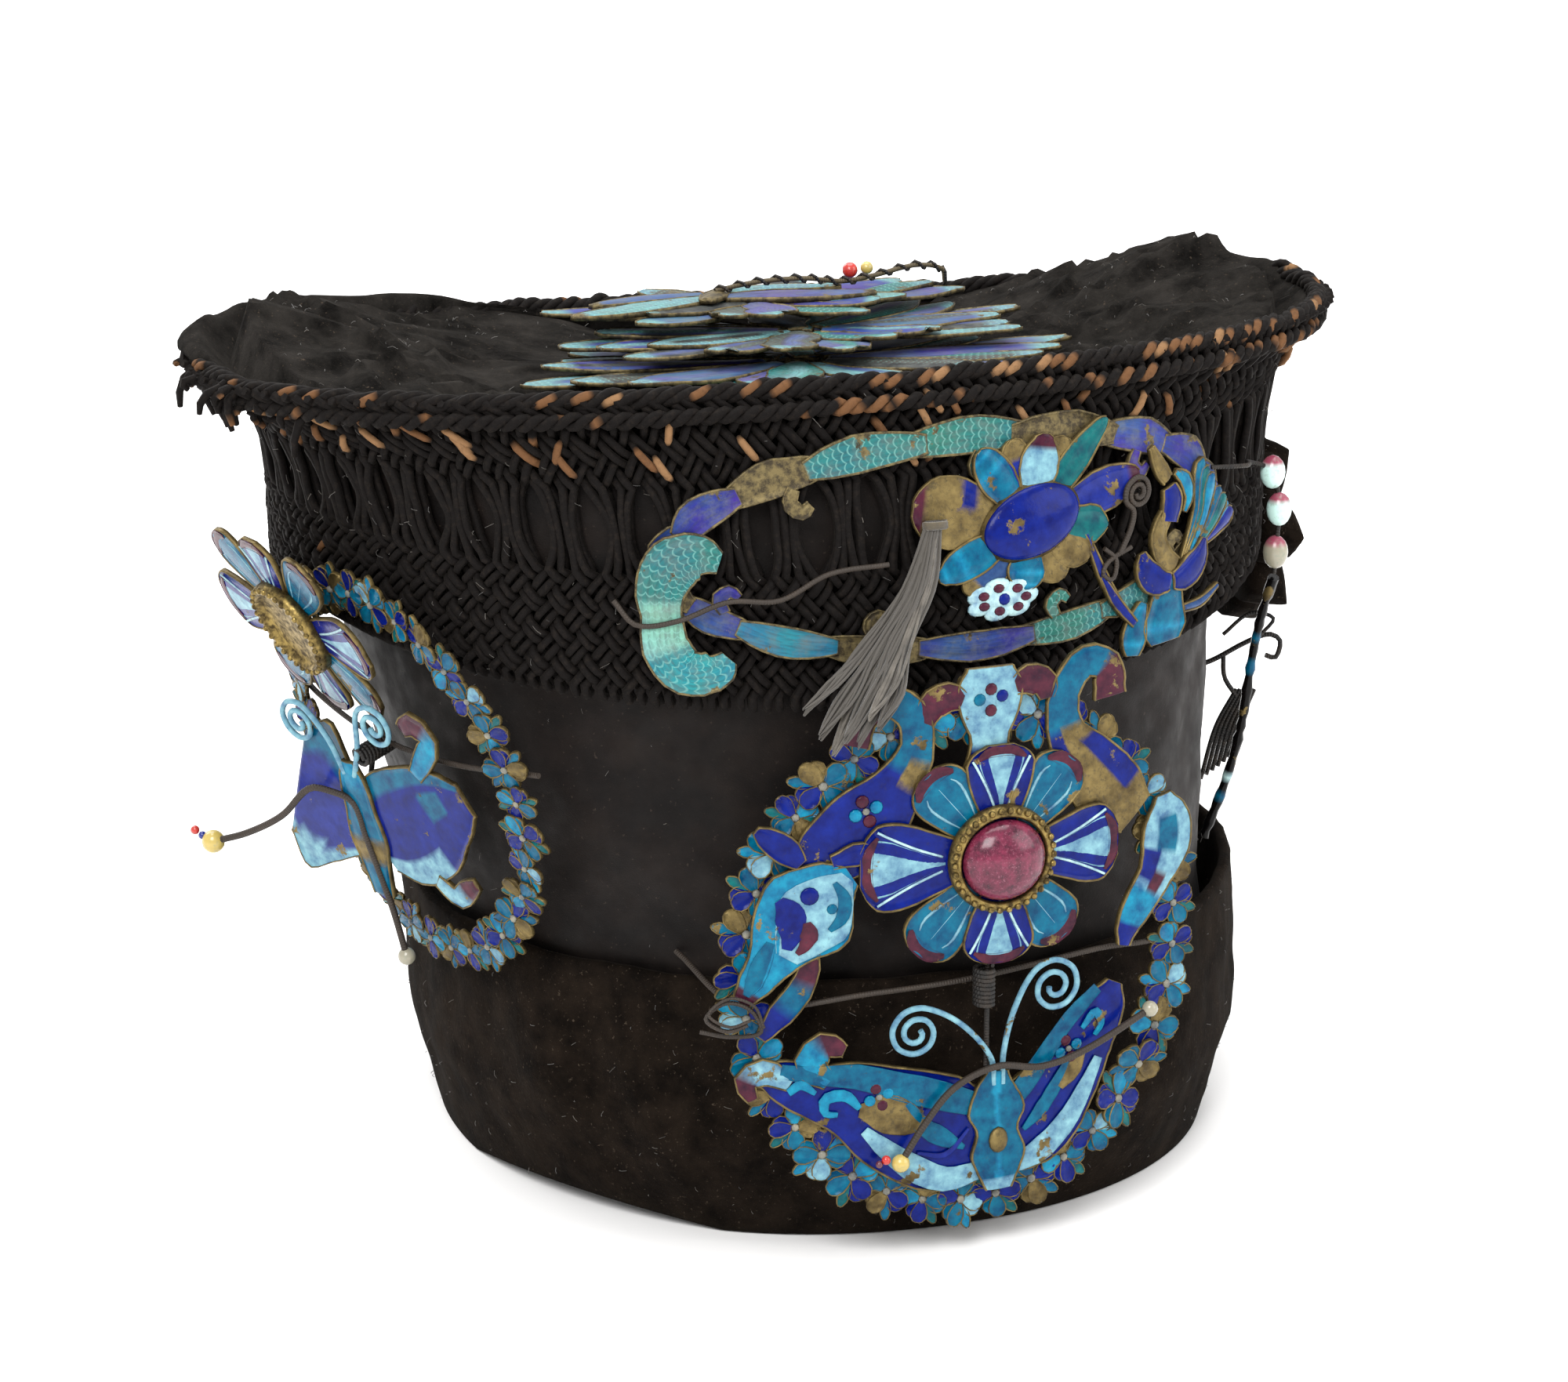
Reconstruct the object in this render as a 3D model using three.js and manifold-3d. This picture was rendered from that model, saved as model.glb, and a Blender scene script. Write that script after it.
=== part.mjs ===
// A court lady's hat: satin drum, velvet cuff, flared basket of plaited silk cord, sunk velvet crown,
// and enamelled, feather-inlaid ornaments that stand off the cloth on wires. Millimetres, +Z up, front
// towards -Y.
import * as THREE from 'three';
import { mergeVertices } from 'three/addons/utils/BufferGeometryUtils.js';
import Module from 'manifold-3d';

const wasm = await Module();
wasm.setup();

// Driving sizes of the cloth body
const HEM_HALF_WIDTH = 84;
const HEM_HALF_DEPTH = 86;
const DRUM_HEIGHT = 125;
const CUFF_HEIGHT = 57;
const BASKET_HEIGHT = 46;
const RIM_HALF_WIDTH = 125;
const RIM_HALF_DEPTH = 78;
const LEAN = -12;
const SQUARENESS = 2.1;
const SATIN = 2;
const VELVET = 2.4;
const BASKET_WALL = 4.5;
const ROPE_RADIUS = 2.6;
const CORNER_RAISE = 9;
const CUFF_STAND_OFF = 5;
const HEM_LIFT = 3;
const FOOT_SCALLOP = 0.8;

// Driving sizes of the ornaments
const GAP = 0.3;
const PLATE = 1;
const LAYER = PLATE + GAP;
const WIRE = 0.6;
const COIL_RADIUS = 2.4;
const COIL_LENGTH = 8;
const FRONT_RING = { width: 52, height: 57, band: 10, florets: 28, centre: [0, 0] };
const LEFT_RING = { width: 41, height: 46, band: 8, florets: 24, centre: [-8, -5] };
const BROW_RING = { width: 66, height: 22, band: 6.5, florets: 18, centre: [-5, -3] };
const LOTUS = 28;
const STONE = 9.2;
const SETTING_HEIGHT = 2.6;
const BEAD = 2.2;
const BUD = 3.1;
const BROW_STAND_OFF = 0.6;
const ROSETTE_THICKNESS = 10;
const TOP_STEP = 4.2;
const STRIP_RADIUS = 1.3;
const STEM_RADIUS = 1.5;

// Facets
const WALL_STEPS = 40;
const EYES = 30;
const ROPE_STEPS = 48;

// Drum rings, as shares: rise of DRUM_HEIGHT, lean of LEAN, join of the way from the hem's half width
// and half depth to the basket foot's, width, front and back of the sizes found there
const DRUM_RINGS = [
  { rise: 0.016, width: 0.968, front: 0.957, back: 0.99, lean: 0, join: 0 },
  { rise: 0.18, width: 1.027, front: 1.04, back: 1.05, lean: 0, join: 0 },
  { rise: 0.44, width: 1.004, front: 1.003, back: 1.02, lean: 0.25, join: 0 },
  { rise: 0.72, width: 1.017, front: 0.98, back: 0.98, lean: 0.62, join: 0.2 },
  { rise: 0.86, width: 0.946, front: 0.954, back: 0.957, lean: 0.82, join: 0.6 },
  { rise: 1, width: 0.889, front: 0.93, back: 0.934, lean: 1, join: 1 },
];

// Basket rings, as shares: rise of BASKET_HEIGHT, width of RIM_HALF_WIDTH, front and back of
// RIM_HALF_DEPTH, and how far tips, front, back and right side lift, of BASKET_HEIGHT
const BASKET_RINGS = [
  { rise: 0, width: 0.864, front: 1.167, back: 1.128, tips: 0.11, fore: -0.13, aft: 0, side: 0 },
  { rise: 0.44, width: 0.872, front: 1.12, back: 1.03, tips: 0.1, fore: -0.04, aft: -0.09, side: 0.01 },
  { rise: 0.6, width: 0.88, front: 1.1, back: 0.99, tips: 0.09, fore: 0, aft: -0.14, side: 0.01 },
  { rise: 0.77, width: 0.9, front: 1.07, back: 0.95, tips: 0.08, fore: 0.06, aft: -0.18, side: 0.02 },
  { rise: 0.9, width: 0.94, front: 1.045, back: 0.91, tips: 0.075, fore: 0.12, aft: -0.21, side: 0.02 },
  { rise: 1, width: 1, front: 1.026, back: 0.88, tips: 0.067, fore: 0.16, aft: -0.23, side: 0.02 },
];
const EYE_FOOT = 0.44;
const EYE_MIDDLE = 0.6;
const EYE_HEAD = 0.77;
const DRUM_TOP = 0.68;
const CROWN_SEAT = 0.87;

// Drag folds of the satin: angle and spread in degrees, rise of DRUM_HEIGHT, depth of SATIN, slant in
// degrees for each share of rise
const SATIN_FOLDS = [
  { angle: -128, spread: 11, rise: 0.66, reach: 0.16, depth: 1.1, slant: -60 },
  { angle: -112, spread: 9, rise: 0.7, reach: 0.16, depth: 0.8, slant: -60 },
  { angle: -40, spread: 10, rise: 0.74, reach: 0.2, depth: -0.8, slant: 0 },
  { angle: 70, spread: 12, rise: 0.7, reach: 0.2, depth: 0.9, slant: 30 },
];

// Creases and bulges of the velvet cuff: angle and spread in degrees, rise of CUFF_HEIGHT, depth of VELVET
const CUFF_FOLDS = [
  { angle: -150, spread: 10, rise: 0.6, reach: 0.35, depth: 1.2 },
  { angle: -132, spread: 8, rise: 0.5, reach: 0.35, depth: 0.9 },
  { angle: -60, spread: 14, rise: 0.4, reach: 0.3, depth: 0.8 },
  { angle: 40, spread: 14, rise: 0.5, reach: 0.3, depth: 1 },
];

// Folds of the crown: place as shares of the rim's half width and half depth, reach of the half depth,
// height of CORNER_RAISE
const CROWN_FOLDS = [
  { x: -0.76, y: 0.15, reach: 0.28, height: 0.5 },
  { x: -0.72, y: -0.3, reach: 0.2, height: 0.25 },
  { x: 0.76, y: 0.2, reach: 0.28, height: 0.6 },
  { x: 0.74, y: -0.25, reach: 0.2, height: 0.35 },
  { x: 0.1, y: 0.7, reach: 0.2, height: 0.2 },
];

const LOOKS = {
  satin: { color: 0x1d1815, roughness: 0.62, metalness: 0 },
  velvet: { color: 0x15110f, roughness: 0.95, metalness: 0 },
  cord: { color: 0x1c1817, roughness: 0.8, metalness: 0 },
  enamel: { color: 0x2a6fb5, roughness: 0.25, metalness: 0.1 },
  feather: { color: 0x3f7fa0, roughness: 0.5, metalness: 0.1 },
  gilt: { color: 0x8a7440, roughness: 0.45, metalness: 0.9 },
  wire: { color: 0x4a3b2e, roughness: 0.6, metalness: 0.7 },
  stone: { color: 0x8c3f55, roughness: 0.12, metalness: 0 },
  bud: { color: 0xbcd6cb, roughness: 0.3, metalness: 0 },
  silk: { color: 0x6a655c, roughness: 0.85, metalness: 0 },
};

const rad = THREE.MathUtils.degToRad;
const lerp = THREE.MathUtils.lerp;
const hat = new THREE.Group();

// Outward triangles from a list of corners and index triples
function closedBody(corners, triples) {
  const geometry = new THREE.BufferGeometry();
  geometry.setAttribute('position', new THREE.Float32BufferAttribute(corners.flat(), 3));
  geometry.setIndex(triples.flat());
  let volume = 0;
  for (const [a, b, c] of triples) {
    const [p, q, r] = [corners[a], corners[b], corners[c]];
    volume += p[0] * (q[1] * r[2] - q[2] * r[1]) - p[1] * (q[0] * r[2] - q[2] * r[0])
      + p[2] * (q[0] * r[1] - q[1] * r[0]);
  }
  if (volume < 0) geometry.setIndex(triples.map(([a, b, c]) => [a, c, b]).flat());
  return geometry;
}

function addPart(name, look, geometry) {
  const mesh = new THREE.Mesh(geometry, new THREE.MeshStandardMaterial(LOOKS[look]));
  mesh.name = name;
  hat.add(mesh);
}

// Joins overlapping closed bodies into one
function fuse(geometries) {
  const solids = geometries.map((geometry) => {
    const bare = geometry.clone();
    bare.deleteAttribute('normal');
    bare.deleteAttribute('uv');
    const merged = mergeVertices(bare, 1e-4);
    return new wasm.Manifold(new wasm.Mesh({
      numProp: 3,
      vertProperties: merged.attributes.position.array,
      triVerts: Uint32Array.from(merged.index.array),
    }));
  });
  const mesh = solids.reduce((whole, next) => whole.add(next)).getMesh();
  const geometry = new THREE.BufferGeometry();
  geometry.setAttribute('position', new THREE.BufferAttribute(mesh.vertProperties, 3));
  geometry.setIndex(new THREE.BufferAttribute(mesh.triVerts, 1));
  return geometry;
}

// Rings of the body, as real sizes

function basketRing(rise) {
  const last = BASKET_RINGS.length - 1;
  let index = BASKET_RINGS.findIndex((row) => row.rise >= rise - 1e-9);
  index = Math.min(Math.max(index, 1), last);
  const [low, high] = [BASKET_RINGS[index - 1], BASKET_RINGS[index]];
  const share = (rise - low.rise) / (high.rise - low.rise);
  const at = (column) => lerp(low[column], high[column], share);
  return {
    z: DRUM_HEIGHT + rise * BASKET_HEIGHT,
    x: LEAN,
    half: at('width') * RIM_HALF_WIDTH,
    front: at('front') * RIM_HALF_DEPTH,
    back: at('back') * RIM_HALF_DEPTH,
    tips: at('tips') * BASKET_HEIGHT,
    fore: at('fore') * BASKET_HEIGHT,
    aft: at('aft') * BASKET_HEIGHT,
    side: at('side') * BASKET_HEIGHT,
  };
}

function drumRing(row) {
  const foot = basketRing(0);
  return {
    z: row.rise * DRUM_HEIGHT,
    x: row.lean * LEAN,
    half: row.width * lerp(HEM_HALF_WIDTH, foot.half, row.join),
    front: row.front * lerp(HEM_HALF_DEPTH, foot.front, row.join),
    back: row.back * lerp(HEM_HALF_DEPTH, foot.back, row.join),
    tips: row.join * foot.tips,
    fore: row.join * foot.fore,
    aft: row.join * foot.aft,
    side: row.join * foot.side,
  };
}

function grown(ring, by) {
  return { ...ring, half: ring.half + by, front: ring.front + by, back: ring.back + by };
}

function ringPoint(ring, angle) {
  const [c, s] = [Math.cos(angle), Math.sin(angle)];
  const power = 2 / SQUARENESS;
  const [across, along] = [Math.abs(c) ** power, Math.abs(s) ** power];
  return [
    ring.x + ring.half * Math.sign(c) * across,
    (s < 0 ? -ring.front : ring.back) * along,
    ring.z + ring.tips * Math.abs(c) ** 3 + ring.side * c
      + (s < 0 ? ring.fore : ring.aft) * Math.abs(s) ** 1.5,
  ];
}

// Height of a ridge at an angle and rise, from a table of folds
function foldAt(folds, angle, rise) {
  return folds.reduce((sum, fold) => {
    const centre = fold.angle + (fold.slant ?? 0) * (rise - fold.rise);
    const away = Math.atan2(Math.sin(angle - rad(centre)), Math.cos(angle - rad(centre)));
    const across = Math.exp(-((away / rad(fold.spread)) ** 2));
    const along = Math.max(0, 1 - ((rise - fold.rise) / fold.reach) ** 2);
    return sum + fold.depth * across * along;
  }, 0);
}

// A wall between an outer and an inner stack of rings, open above and below
function hollowWall(outer, inner, steps, outerShift = () => 0, innerShift = outerShift) {
  const corners = [];
  const stack = [
    ...outer.map((ring, level) => ({ ring, level, shift: outerShift })),
    ...inner.map((ring, level) => ({ ring, level, shift: innerShift })).reverse(),
  ];
  for (const { ring, level, shift } of stack) {
    for (let step = 0; step < steps; step += 1) {
      const angle = (2 * Math.PI * step) / steps;
      corners.push(ringPoint(grown(ring, shift(angle, level)), angle));
    }
  }
  const triples = [];
  for (let row = 0; row < stack.length; row += 1) {
    const next = (row + 1) % stack.length;
    for (let step = 0; step < steps; step += 1) {
      const [a, b] = [row * steps + step, row * steps + ((step + 1) % steps)];
      const [c, d] = [next * steps + step, next * steps + ((step + 1) % steps)];
      triples.push([a, b, d], [a, d, c]);
    }
  }
  return closedBody(corners, triples);
}

// Cloth body

function satinDrum() {
  const outer = DRUM_RINGS.map(drumRing);
  for (const rise of [EYE_FOOT, EYE_MIDDLE, DRUM_TOP]) {
    outer.push(grown(basketRing(rise), -BASKET_WALL - GAP));
  }
  const inner = outer.map((ring) => grown(ring, -SATIN));
  const shift = (angle, level) => {
    if (level >= DRUM_RINGS.length - 1) return 0;
    const rise = DRUM_RINGS[level].rise;
    return rise * DRUM_HEIGHT <= CUFF_HEIGHT ? 0 : SATIN * foldAt(SATIN_FOLDS, angle, rise);
  };
  return hollowWall(outer, inner, WALL_STEPS, shift);
}

function velvetCuff() {
  const [hem, bulge, top] = DRUM_RINGS.map(drumRing);
  const rings = [
    { ...hem, z: 0 },
    bulge,
    { ...grown(bulge, 0.3 * (top.half - bulge.half)), z: 0.68 * CUFF_HEIGHT, x: 0.5 * top.x },
    { ...top, z: CUFF_HEIGHT },
  ];
  const inner = rings.map((ring) => grown(ring, GAP));
  const outer = inner.map((ring) => grown(ring, VELVET));
  const flare = [0, 0, 0.35, 1];
  const shift = (angle, level) => {
    const rise = rings[level].z / CUFF_HEIGHT;
    const gape = 0.06 + Math.max(0, Math.cos(angle - rad(-5))) ** 4;
    const crease = VELVET * foldAt(CUFF_FOLDS, angle, rise);
    return 0.3 * level + flare[level] * gape * CUFF_STAND_OFF + crease;
  };
  const cloth = hollowWall(outer, inner, WALL_STEPS, shift);
  const place = cloth.attributes.position;
  const spot = new THREE.Vector3();
  for (let index = 0; index < place.count; index += 1) {
    spot.fromBufferAttribute(place, index);
    if (spot.z > 0) continue;
    const away = Math.atan2(spot.y, spot.x) - rad(-148);
    place.setZ(index, HEM_LIFT * Math.max(0, 1 - (away / rad(24)) ** 2));
  }
  return cloth;
}

// Closed body between an outer skin and an inner one with the same triangles; open borders are walled up
function thickSheet(outer, inner, triples) {
  const shift = outer.length;
  const borders = new Map();
  for (const [a, b, c] of triples) {
    for (const [p, q] of [[a, b], [b, c], [c, a]]) {
      if (!borders.delete(`${q},${p}`)) borders.set(`${p},${q}`, [p, q]);
    }
  }
  const all = triples.flatMap(([a, b, c]) => [[a, b, c], [a + shift, c + shift, b + shift]]);
  for (const [p, q] of borders.values()) all.push([q, p, p + shift], [q, p + shift, q + shift]);
  return closedBody([...outer, ...inner], all);
}

// Plaited wall with a row of diamond eyes cut through it; three columns to an eye
function cordBasket() {
  const rises = [0, EYE_FOOT, EYE_MIDDLE, EYE_HEAD, 0.9, 1];
  const columns = 3 * EYES;
  const skin = (inset) => rises.flatMap((rise, level) => Array.from({ length: columns }, (_, column) => {
    const ring = grown(basketRing(rise), -inset);
    const scallop = column % 3 ? FOOT_SCALLOP : -FOOT_SCALLOP;
    if (level === 0) ring.z += scallop;
    return ringPoint(ring, (2 * Math.PI * column) / columns);
  }));
  const triples = [];
  for (let level = 0; level < rises.length - 1; level += 1) {
    for (let column = 0; column < columns; column += 1) {
      const next = (column + 1) % columns;
      const [low, lowNext] = [level * columns + column, level * columns + next];
      const [high, highNext] = [low + columns, lowNext + columns];
      const eye = level === 1 || level === 2;
      const [lower, left, right] = [level === 1, column % 3 === 2, column % 3 === 0];
      if (!eye || !(left || right)) triples.push([low, lowNext, highNext], [low, highNext, high]);
      else if (lower) triples.push(right ? [low, lowNext, highNext] : [low, lowNext, high]);
      else triples.push(right ? [lowNext, highNext, high] : [low, highNext, high]);
    }
  }
  return thickSheet(skin(0), skin(BASKET_WALL), triples);
}

function rimCord() {
  const lip = grown(basketRing(1), -BASKET_WALL / 2);
  const sides = 5;
  const corners = [];
  const triples = [];
  for (let step = 0; step < ROPE_STEPS; step += 1) {
    const angle = (2 * Math.PI * step) / ROPE_STEPS;
    for (let side = 0; side < sides; side += 1) {
      const turn = (2 * Math.PI * side) / sides;
      const point = ringPoint(grown(lip, ROPE_RADIUS * Math.cos(turn)), angle);
      point[2] += ROPE_RADIUS * (1 + Math.sin(turn)) + GAP;
      corners.push(point);
      const [near, far] = [step * sides, ((step + 1) % ROPE_STEPS) * sides];
      const beside = (side + 1) % sides;
      triples.push([near + side, far + side, far + beside], [near + side, far + beside, near + beside]);
    }
  }
  return closedBody(corners, triples);
}

// Sunk cloth plate, rolled up at both corners
const crownSeat = grown(basketRing(CROWN_SEAT), -BASKET_WALL - GAP);

function crownHeight(x, y) {
  const depth = y < 0 ? crownSeat.front : crownSeat.back;
  const [across, along] = [Math.abs(x - crownSeat.x) / crownSeat.half, Math.abs(y) / depth];
  const share = Math.max(1e-6, (across ** SQUARENESS + along ** SQUARENESS) ** (1 / SQUARENESS));
  const angle = Math.atan2(Math.sign(y) * (along / share) ** (SQUARENESS / 2),
    Math.sign(x - crownSeat.x) * (across / share) ** (SQUARENESS / 2));
  const roll = (Math.max(0, across - 0.55) / 0.45) ** 1.5;
  const folds = CROWN_FOLDS.reduce((sum, fold) => {
    const away = Math.hypot((x - crownSeat.x) / RIM_HALF_DEPTH - fold.x * RIM_HALF_WIDTH / RIM_HALF_DEPTH,
      y / RIM_HALF_DEPTH - fold.y) / fold.reach;
    return sum + fold.height * Math.exp(-(away ** 2));
  }, 0);
  return lerp(crownSeat.z, ringPoint(crownSeat, angle)[2], share)
    + CORNER_RAISE * (roll + folds * Math.max(0, 1 - share ** 4));
}

function crownVelvet() {
  const shares = [1, 0.84, 0.6, 0.3];
  const settled = ([x, y]) => [x, y, crownHeight(x, y)];
  const top = shares.flatMap((share) => Array.from({ length: WALL_STEPS }, (_, step) => {
    const [x, y] = ringPoint(crownSeat, (2 * Math.PI * step) / WALL_STEPS);
    return settled([lerp(crownSeat.x, x, share), y * share]);
  }));
  top.push(settled([crownSeat.x, 0]));
  const below = top.map(([x, y, z]) => [x, y, z - VELVET]);
  const triples = [];
  for (let step = 0; step < WALL_STEPS; step += 1) {
    const next = (step + 1) % WALL_STEPS;
    for (let row = 0; row < shares.length - 1; row += 1) {
      const [a, b] = [row * WALL_STEPS + step, row * WALL_STEPS + next];
      triples.push([a, b, b + WALL_STEPS], [a, b + WALL_STEPS, a + WALL_STEPS]);
    }
    const last = (shares.length - 1) * WALL_STEPS;
    triples.push([last + step, last + next, top.length - 1]);
  }
  return thickSheet(top, below, triples);
}

// Panels: each maps (across, up, out) of a flat ornament to its place on the hat

function bentPanel({ at, facing, tilt = 0, bend = 1e6, roll = 0 }) {
  const [turn, lean, spin] = [rad(facing), rad(tilt), rad(roll)];
  const ahead = new THREE.Vector3(Math.cos(turn), Math.sin(turn), 0);
  const across = new THREE.Vector3(-Math.sin(turn), Math.cos(turn), 0);
  const up = new THREE.Vector3(0, 0, Math.cos(lean)).addScaledVector(ahead, -Math.sin(lean));
  const out = new THREE.Vector3(0, 0, Math.sin(lean)).addScaledVector(ahead, Math.cos(lean));
  return (u, v, w = 0) => {
    const side = u * Math.cos(spin) - v * Math.sin(spin);
    const rise = u * Math.sin(spin) + v * Math.cos(spin);
    return new THREE.Vector3(...at)
      .addScaledVector(across, Math.sin(side / bend) * (bend + w))
      .addScaledVector(out, Math.cos(side / bend) * (bend + w) - bend)
      .addScaledVector(up, rise);
  };
}

// Wraps round the basket wall; across is the arc length along the wall at the given rise
function basketPanel({ angle, rise, off }) {
  const fine = 720;
  const track = [{ turn: -Math.PI, length: 0 }];
  const spotAt = (turn, level = rise) => new THREE.Vector3(...ringPoint(basketRing(level), turn));
  for (let step = 1; step <= fine; step += 1) {
    const turn = -Math.PI + (2 * Math.PI * step) / fine;
    const stride = spotAt(turn).distanceTo(spotAt(track[step - 1].turn));
    track.push({ turn, length: track[step - 1].length + stride });
  }
  const start = track.find((row) => row.turn >= rad(angle)).length;
  const span = track[fine].length;
  const turnAt = (u) => {
    const goal = (((start + u) % span) + span) % span;
    const index = Math.max(1, track.findIndex((row) => row.length >= goal));
    const [near, far] = [track[index - 1], track[index]];
    return lerp(near.turn, far.turn, (goal - near.length) / (far.length - near.length));
  };
  return (u, v, w = 0) => {
    const turn = turnAt(u);
    const along = spotAt(turn + 0.02).sub(spotAt(turn - 0.02));
    const upward = spotAt(turn, 0.9).sub(spotAt(turn, 0));
    const level = rise + v / upward.length() * 0.9;
    return spotAt(turn, level).addScaledVector(along.cross(upward).normalize(), off + w);
  };
}

// Point on the satin at a share of its height and an angle in degrees, some way off the cloth
function satinPoint(rise, angle, off) {
  const index = Math.max(1, DRUM_RINGS.findIndex((row) => row.rise >= rise));
  const [low, high] = [drumRing(DRUM_RINGS[index - 1]), drumRing(DRUM_RINGS[index])];
  const share = (rise * DRUM_HEIGHT - low.z) / (high.z - low.z);
  const ring = Object.fromEntries(Object.keys(low).map((key) => [key, lerp(low[key], high[key], share)]));
  return new THREE.Vector3(...ringPoint(grown(ring, off), rad(angle)));
}

// Spot some way off the basket's foot, at an angle in degrees
function offFoot(angle, [x, y, z]) {
  const seat = ringPoint(basketRing(0), rad(angle));
  return [seat[0] + x, seat[1] + y, seat[2] + z];
}

// Flat pieces laid on a panel, from spots of [across, up, lift]

function slab(spots, triples, panel, out, thick = PLATE) {
  const skin = (w) => spots.map(([u, v, lift = 0]) => panel(u, v, w + lift).toArray());
  return thickSheet(skin(out + thick), skin(out), triples);
}

// Round outline whose radius follows a function of the index
function ringOutline(count, radius, centre = [0, 0], stretch = 1) {
  return Array.from({ length: count }, (_, index) => {
    const angle = (2 * Math.PI * index) / count;
    return [centre[0] + radius(index) * Math.cos(angle), centre[1] + stretch * radius(index) * Math.sin(angle)];
  });
}

function disc(outline, centre, panel, out, thick) {
  const triples = outline.map((_, index) => [0, index + 1, 1 + ((index + 1) % outline.length)]);
  return slab([centre, ...outline], triples, panel, out, thick);
}

// Leaf or wing along a centre line of [across, up, width, lift] rows
function strip(rows, panel, out, thick) {
  const spots = rows.flatMap(([u, v, width, lift = 0], index) => {
    const before = rows[Math.max(index - 1, 0)];
    const after = rows[Math.min(index + 1, rows.length - 1)];
    const [du, dv] = [after[0] - before[0], after[1] - before[1]];
    const half = width / 2 / Math.hypot(du, dv);
    return [[u - dv * half, v + du * half, lift], [u + dv * half, v - du * half, lift]];
  });
  const triples = rows.slice(1).flatMap((_, index) => {
    const near = 2 * index;
    return [[near, near + 1, near + 3], [near, near + 3, near + 2]];
  });
  return slab(spots, triples, panel, out, thick);
}

// Petals of { angle, reach, width } round a heart, angle and width in degrees
function petals(rows, heart, centre, panel, out, thick, squash = 1) {
  const spots = [centre];
  const triples = [];
  const add = (degrees, reach) => spots.push(
    [centre[0] + reach * Math.cos(rad(degrees)), centre[1] + squash * reach * Math.sin(rad(degrees))]);
  rows.forEach((petal, index) => {
    const gap = (rows[(index + 1) % rows.length].angle - petal.angle + 360) % 360;
    const before = index ? 6 * index : 6 * rows.length;
    const first = 6 * index + 1;
    for (const [side, share] of [[-1, 0.7], [-0.55, 0.95], [0, 1], [0.55, 0.95], [1, 0.7]]) {
      add(petal.angle + side * petal.width / 2, petal.reach * share);
    }
    add(petal.angle + gap / 2, heart);
    triples.push([0, before, first + 5]);
    for (let step = 0; step < 5; step += 1) triples.push([before, first + step, first + step + 1]);
  });
  return slab(spots, triples, panel, out, thick);
}

// Oval band of florets: three spots on the outer edge to one on the inner
function wreath(ring, panel, out = 0) {
  const spot = (turn, inset) => [
    ring.centre[0] + (ring.width - inset) * Math.cos(2 * Math.PI * turn / ring.florets),
    ring.centre[1] + (ring.height - inset) * Math.sin(2 * Math.PI * turn / ring.florets)];
  const spots = [];
  const triples = [];
  for (let index = 0; index < ring.florets; index += 1) {
    const near = 4 * index;
    const next = 4 * ((index + 1) % ring.florets);
    spots.push(spot(index, 0.8), spot(index + 1 / 3, -0.9), spot(index + 2 / 3, -0.9), spot(index, ring.band));
    triples.push([near + 3, near, near + 1], [near + 3, near + 1, near + 2], [near + 3, near + 2, next + 3],
      [near + 2, next, next + 3]);
  }
  return slab(spots, triples, panel, out);
}

// Solids made from wires and turned profiles

const vectors = (outline) => outline.map(([u, v]) => new THREE.Vector2(u, v));

function wire(points, { radius = WIRE, steps = points.length * 2, sides = 5 } = {}) {
  const section = ringOutline(sides, () => radius);
  return new THREE.ExtrudeGeometry(new THREE.Shape(vectors(section)), {
    steps, bevelEnabled: false, extrudePath: new THREE.CatmullRomCurve3(points, false, 'centripetal'),
  });
}

// Flat spiral that unrolls into a stem; hand is 1 or -1, from in degrees
function spiral(panel, { centre, radius, turns, from, hand, out }, stem) {
  const count = Math.round(turns * 7);
  const coil = Array.from({ length: count + 1 }, (_, index) => {
    const share = index / count;
    const angle = rad(from) + hand * 2 * Math.PI * turns * (share - 1);
    const reach = radius * lerp(0.2, 1, share);
    return [centre[0] + reach * Math.cos(angle), centre[1] + reach * Math.sin(angle), out];
  });
  const points = [...coil, ...stem].map((point) => panel(...point));
  return wire(points, { steps: count + stem.length, sides: 4 });
}

// Turned body on a panel: profile rows of [radius, out], oval stretches it upward
function turned(panel, [u, v, w], profile, { oval = 1, sides = 12 } = {}) {
  const lathe = new THREE.LatheGeometry(vectors(profile), sides).rotateX(Math.PI / 2).scale(1, oval, 1);
  lathe.deleteAttribute('normal');
  lathe.deleteAttribute('uv');
  const merged = mergeVertices(lathe.translate(u, v, w), 1e-4);
  const place = merged.attributes.position;
  const corners = Array.from({ length: place.count }, (_, index) => (
    panel(place.getX(index), place.getY(index), place.getZ(index)).toArray()));
  const triples = [];
  for (let index = 0; index < merged.index.count; index += 3) {
    const triple = [0, 1, 2].map((step) => merged.index.getX(index + step));
    if (new Set(triple).size === 3) triples.push(triple);
  }
  return closedBody(corners, triples);
}

const ball = (radius) => [[0, -radius], [radius * 0.8, -radius * 0.6], [radius, 0],
  [radius * 0.8, radius * 0.6], [0, radius]];

const dome = (radius, height) => [[0, 0], [radius, 0], [radius * 0.9, height * 0.55],
  [radius * 0.55, height * 0.9], [0, height]];

// Raised rim round a flat floor
const setting = (radius, height) => [[0, 0], [radius, 0], [radius, height], [radius * 0.84, height],
  [radius * 0.84, PLATE], [0, PLATE]];

const lotusPetals = (reach) => [0, 45, 90, 135, 180, 225, 270, 315].map((angle) => {
  const share = angle % 90 ? 0.9 : 0.76;
  return { angle, reach: reach * (angle % 180 ? share : 1), width: angle % 180 ? 38 : 32 };
});

// A rod between two points, without curvature
const rod = (from, to, radius = WIRE) => wire([from, to], { radius, steps: 1, sides: 6 });

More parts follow.
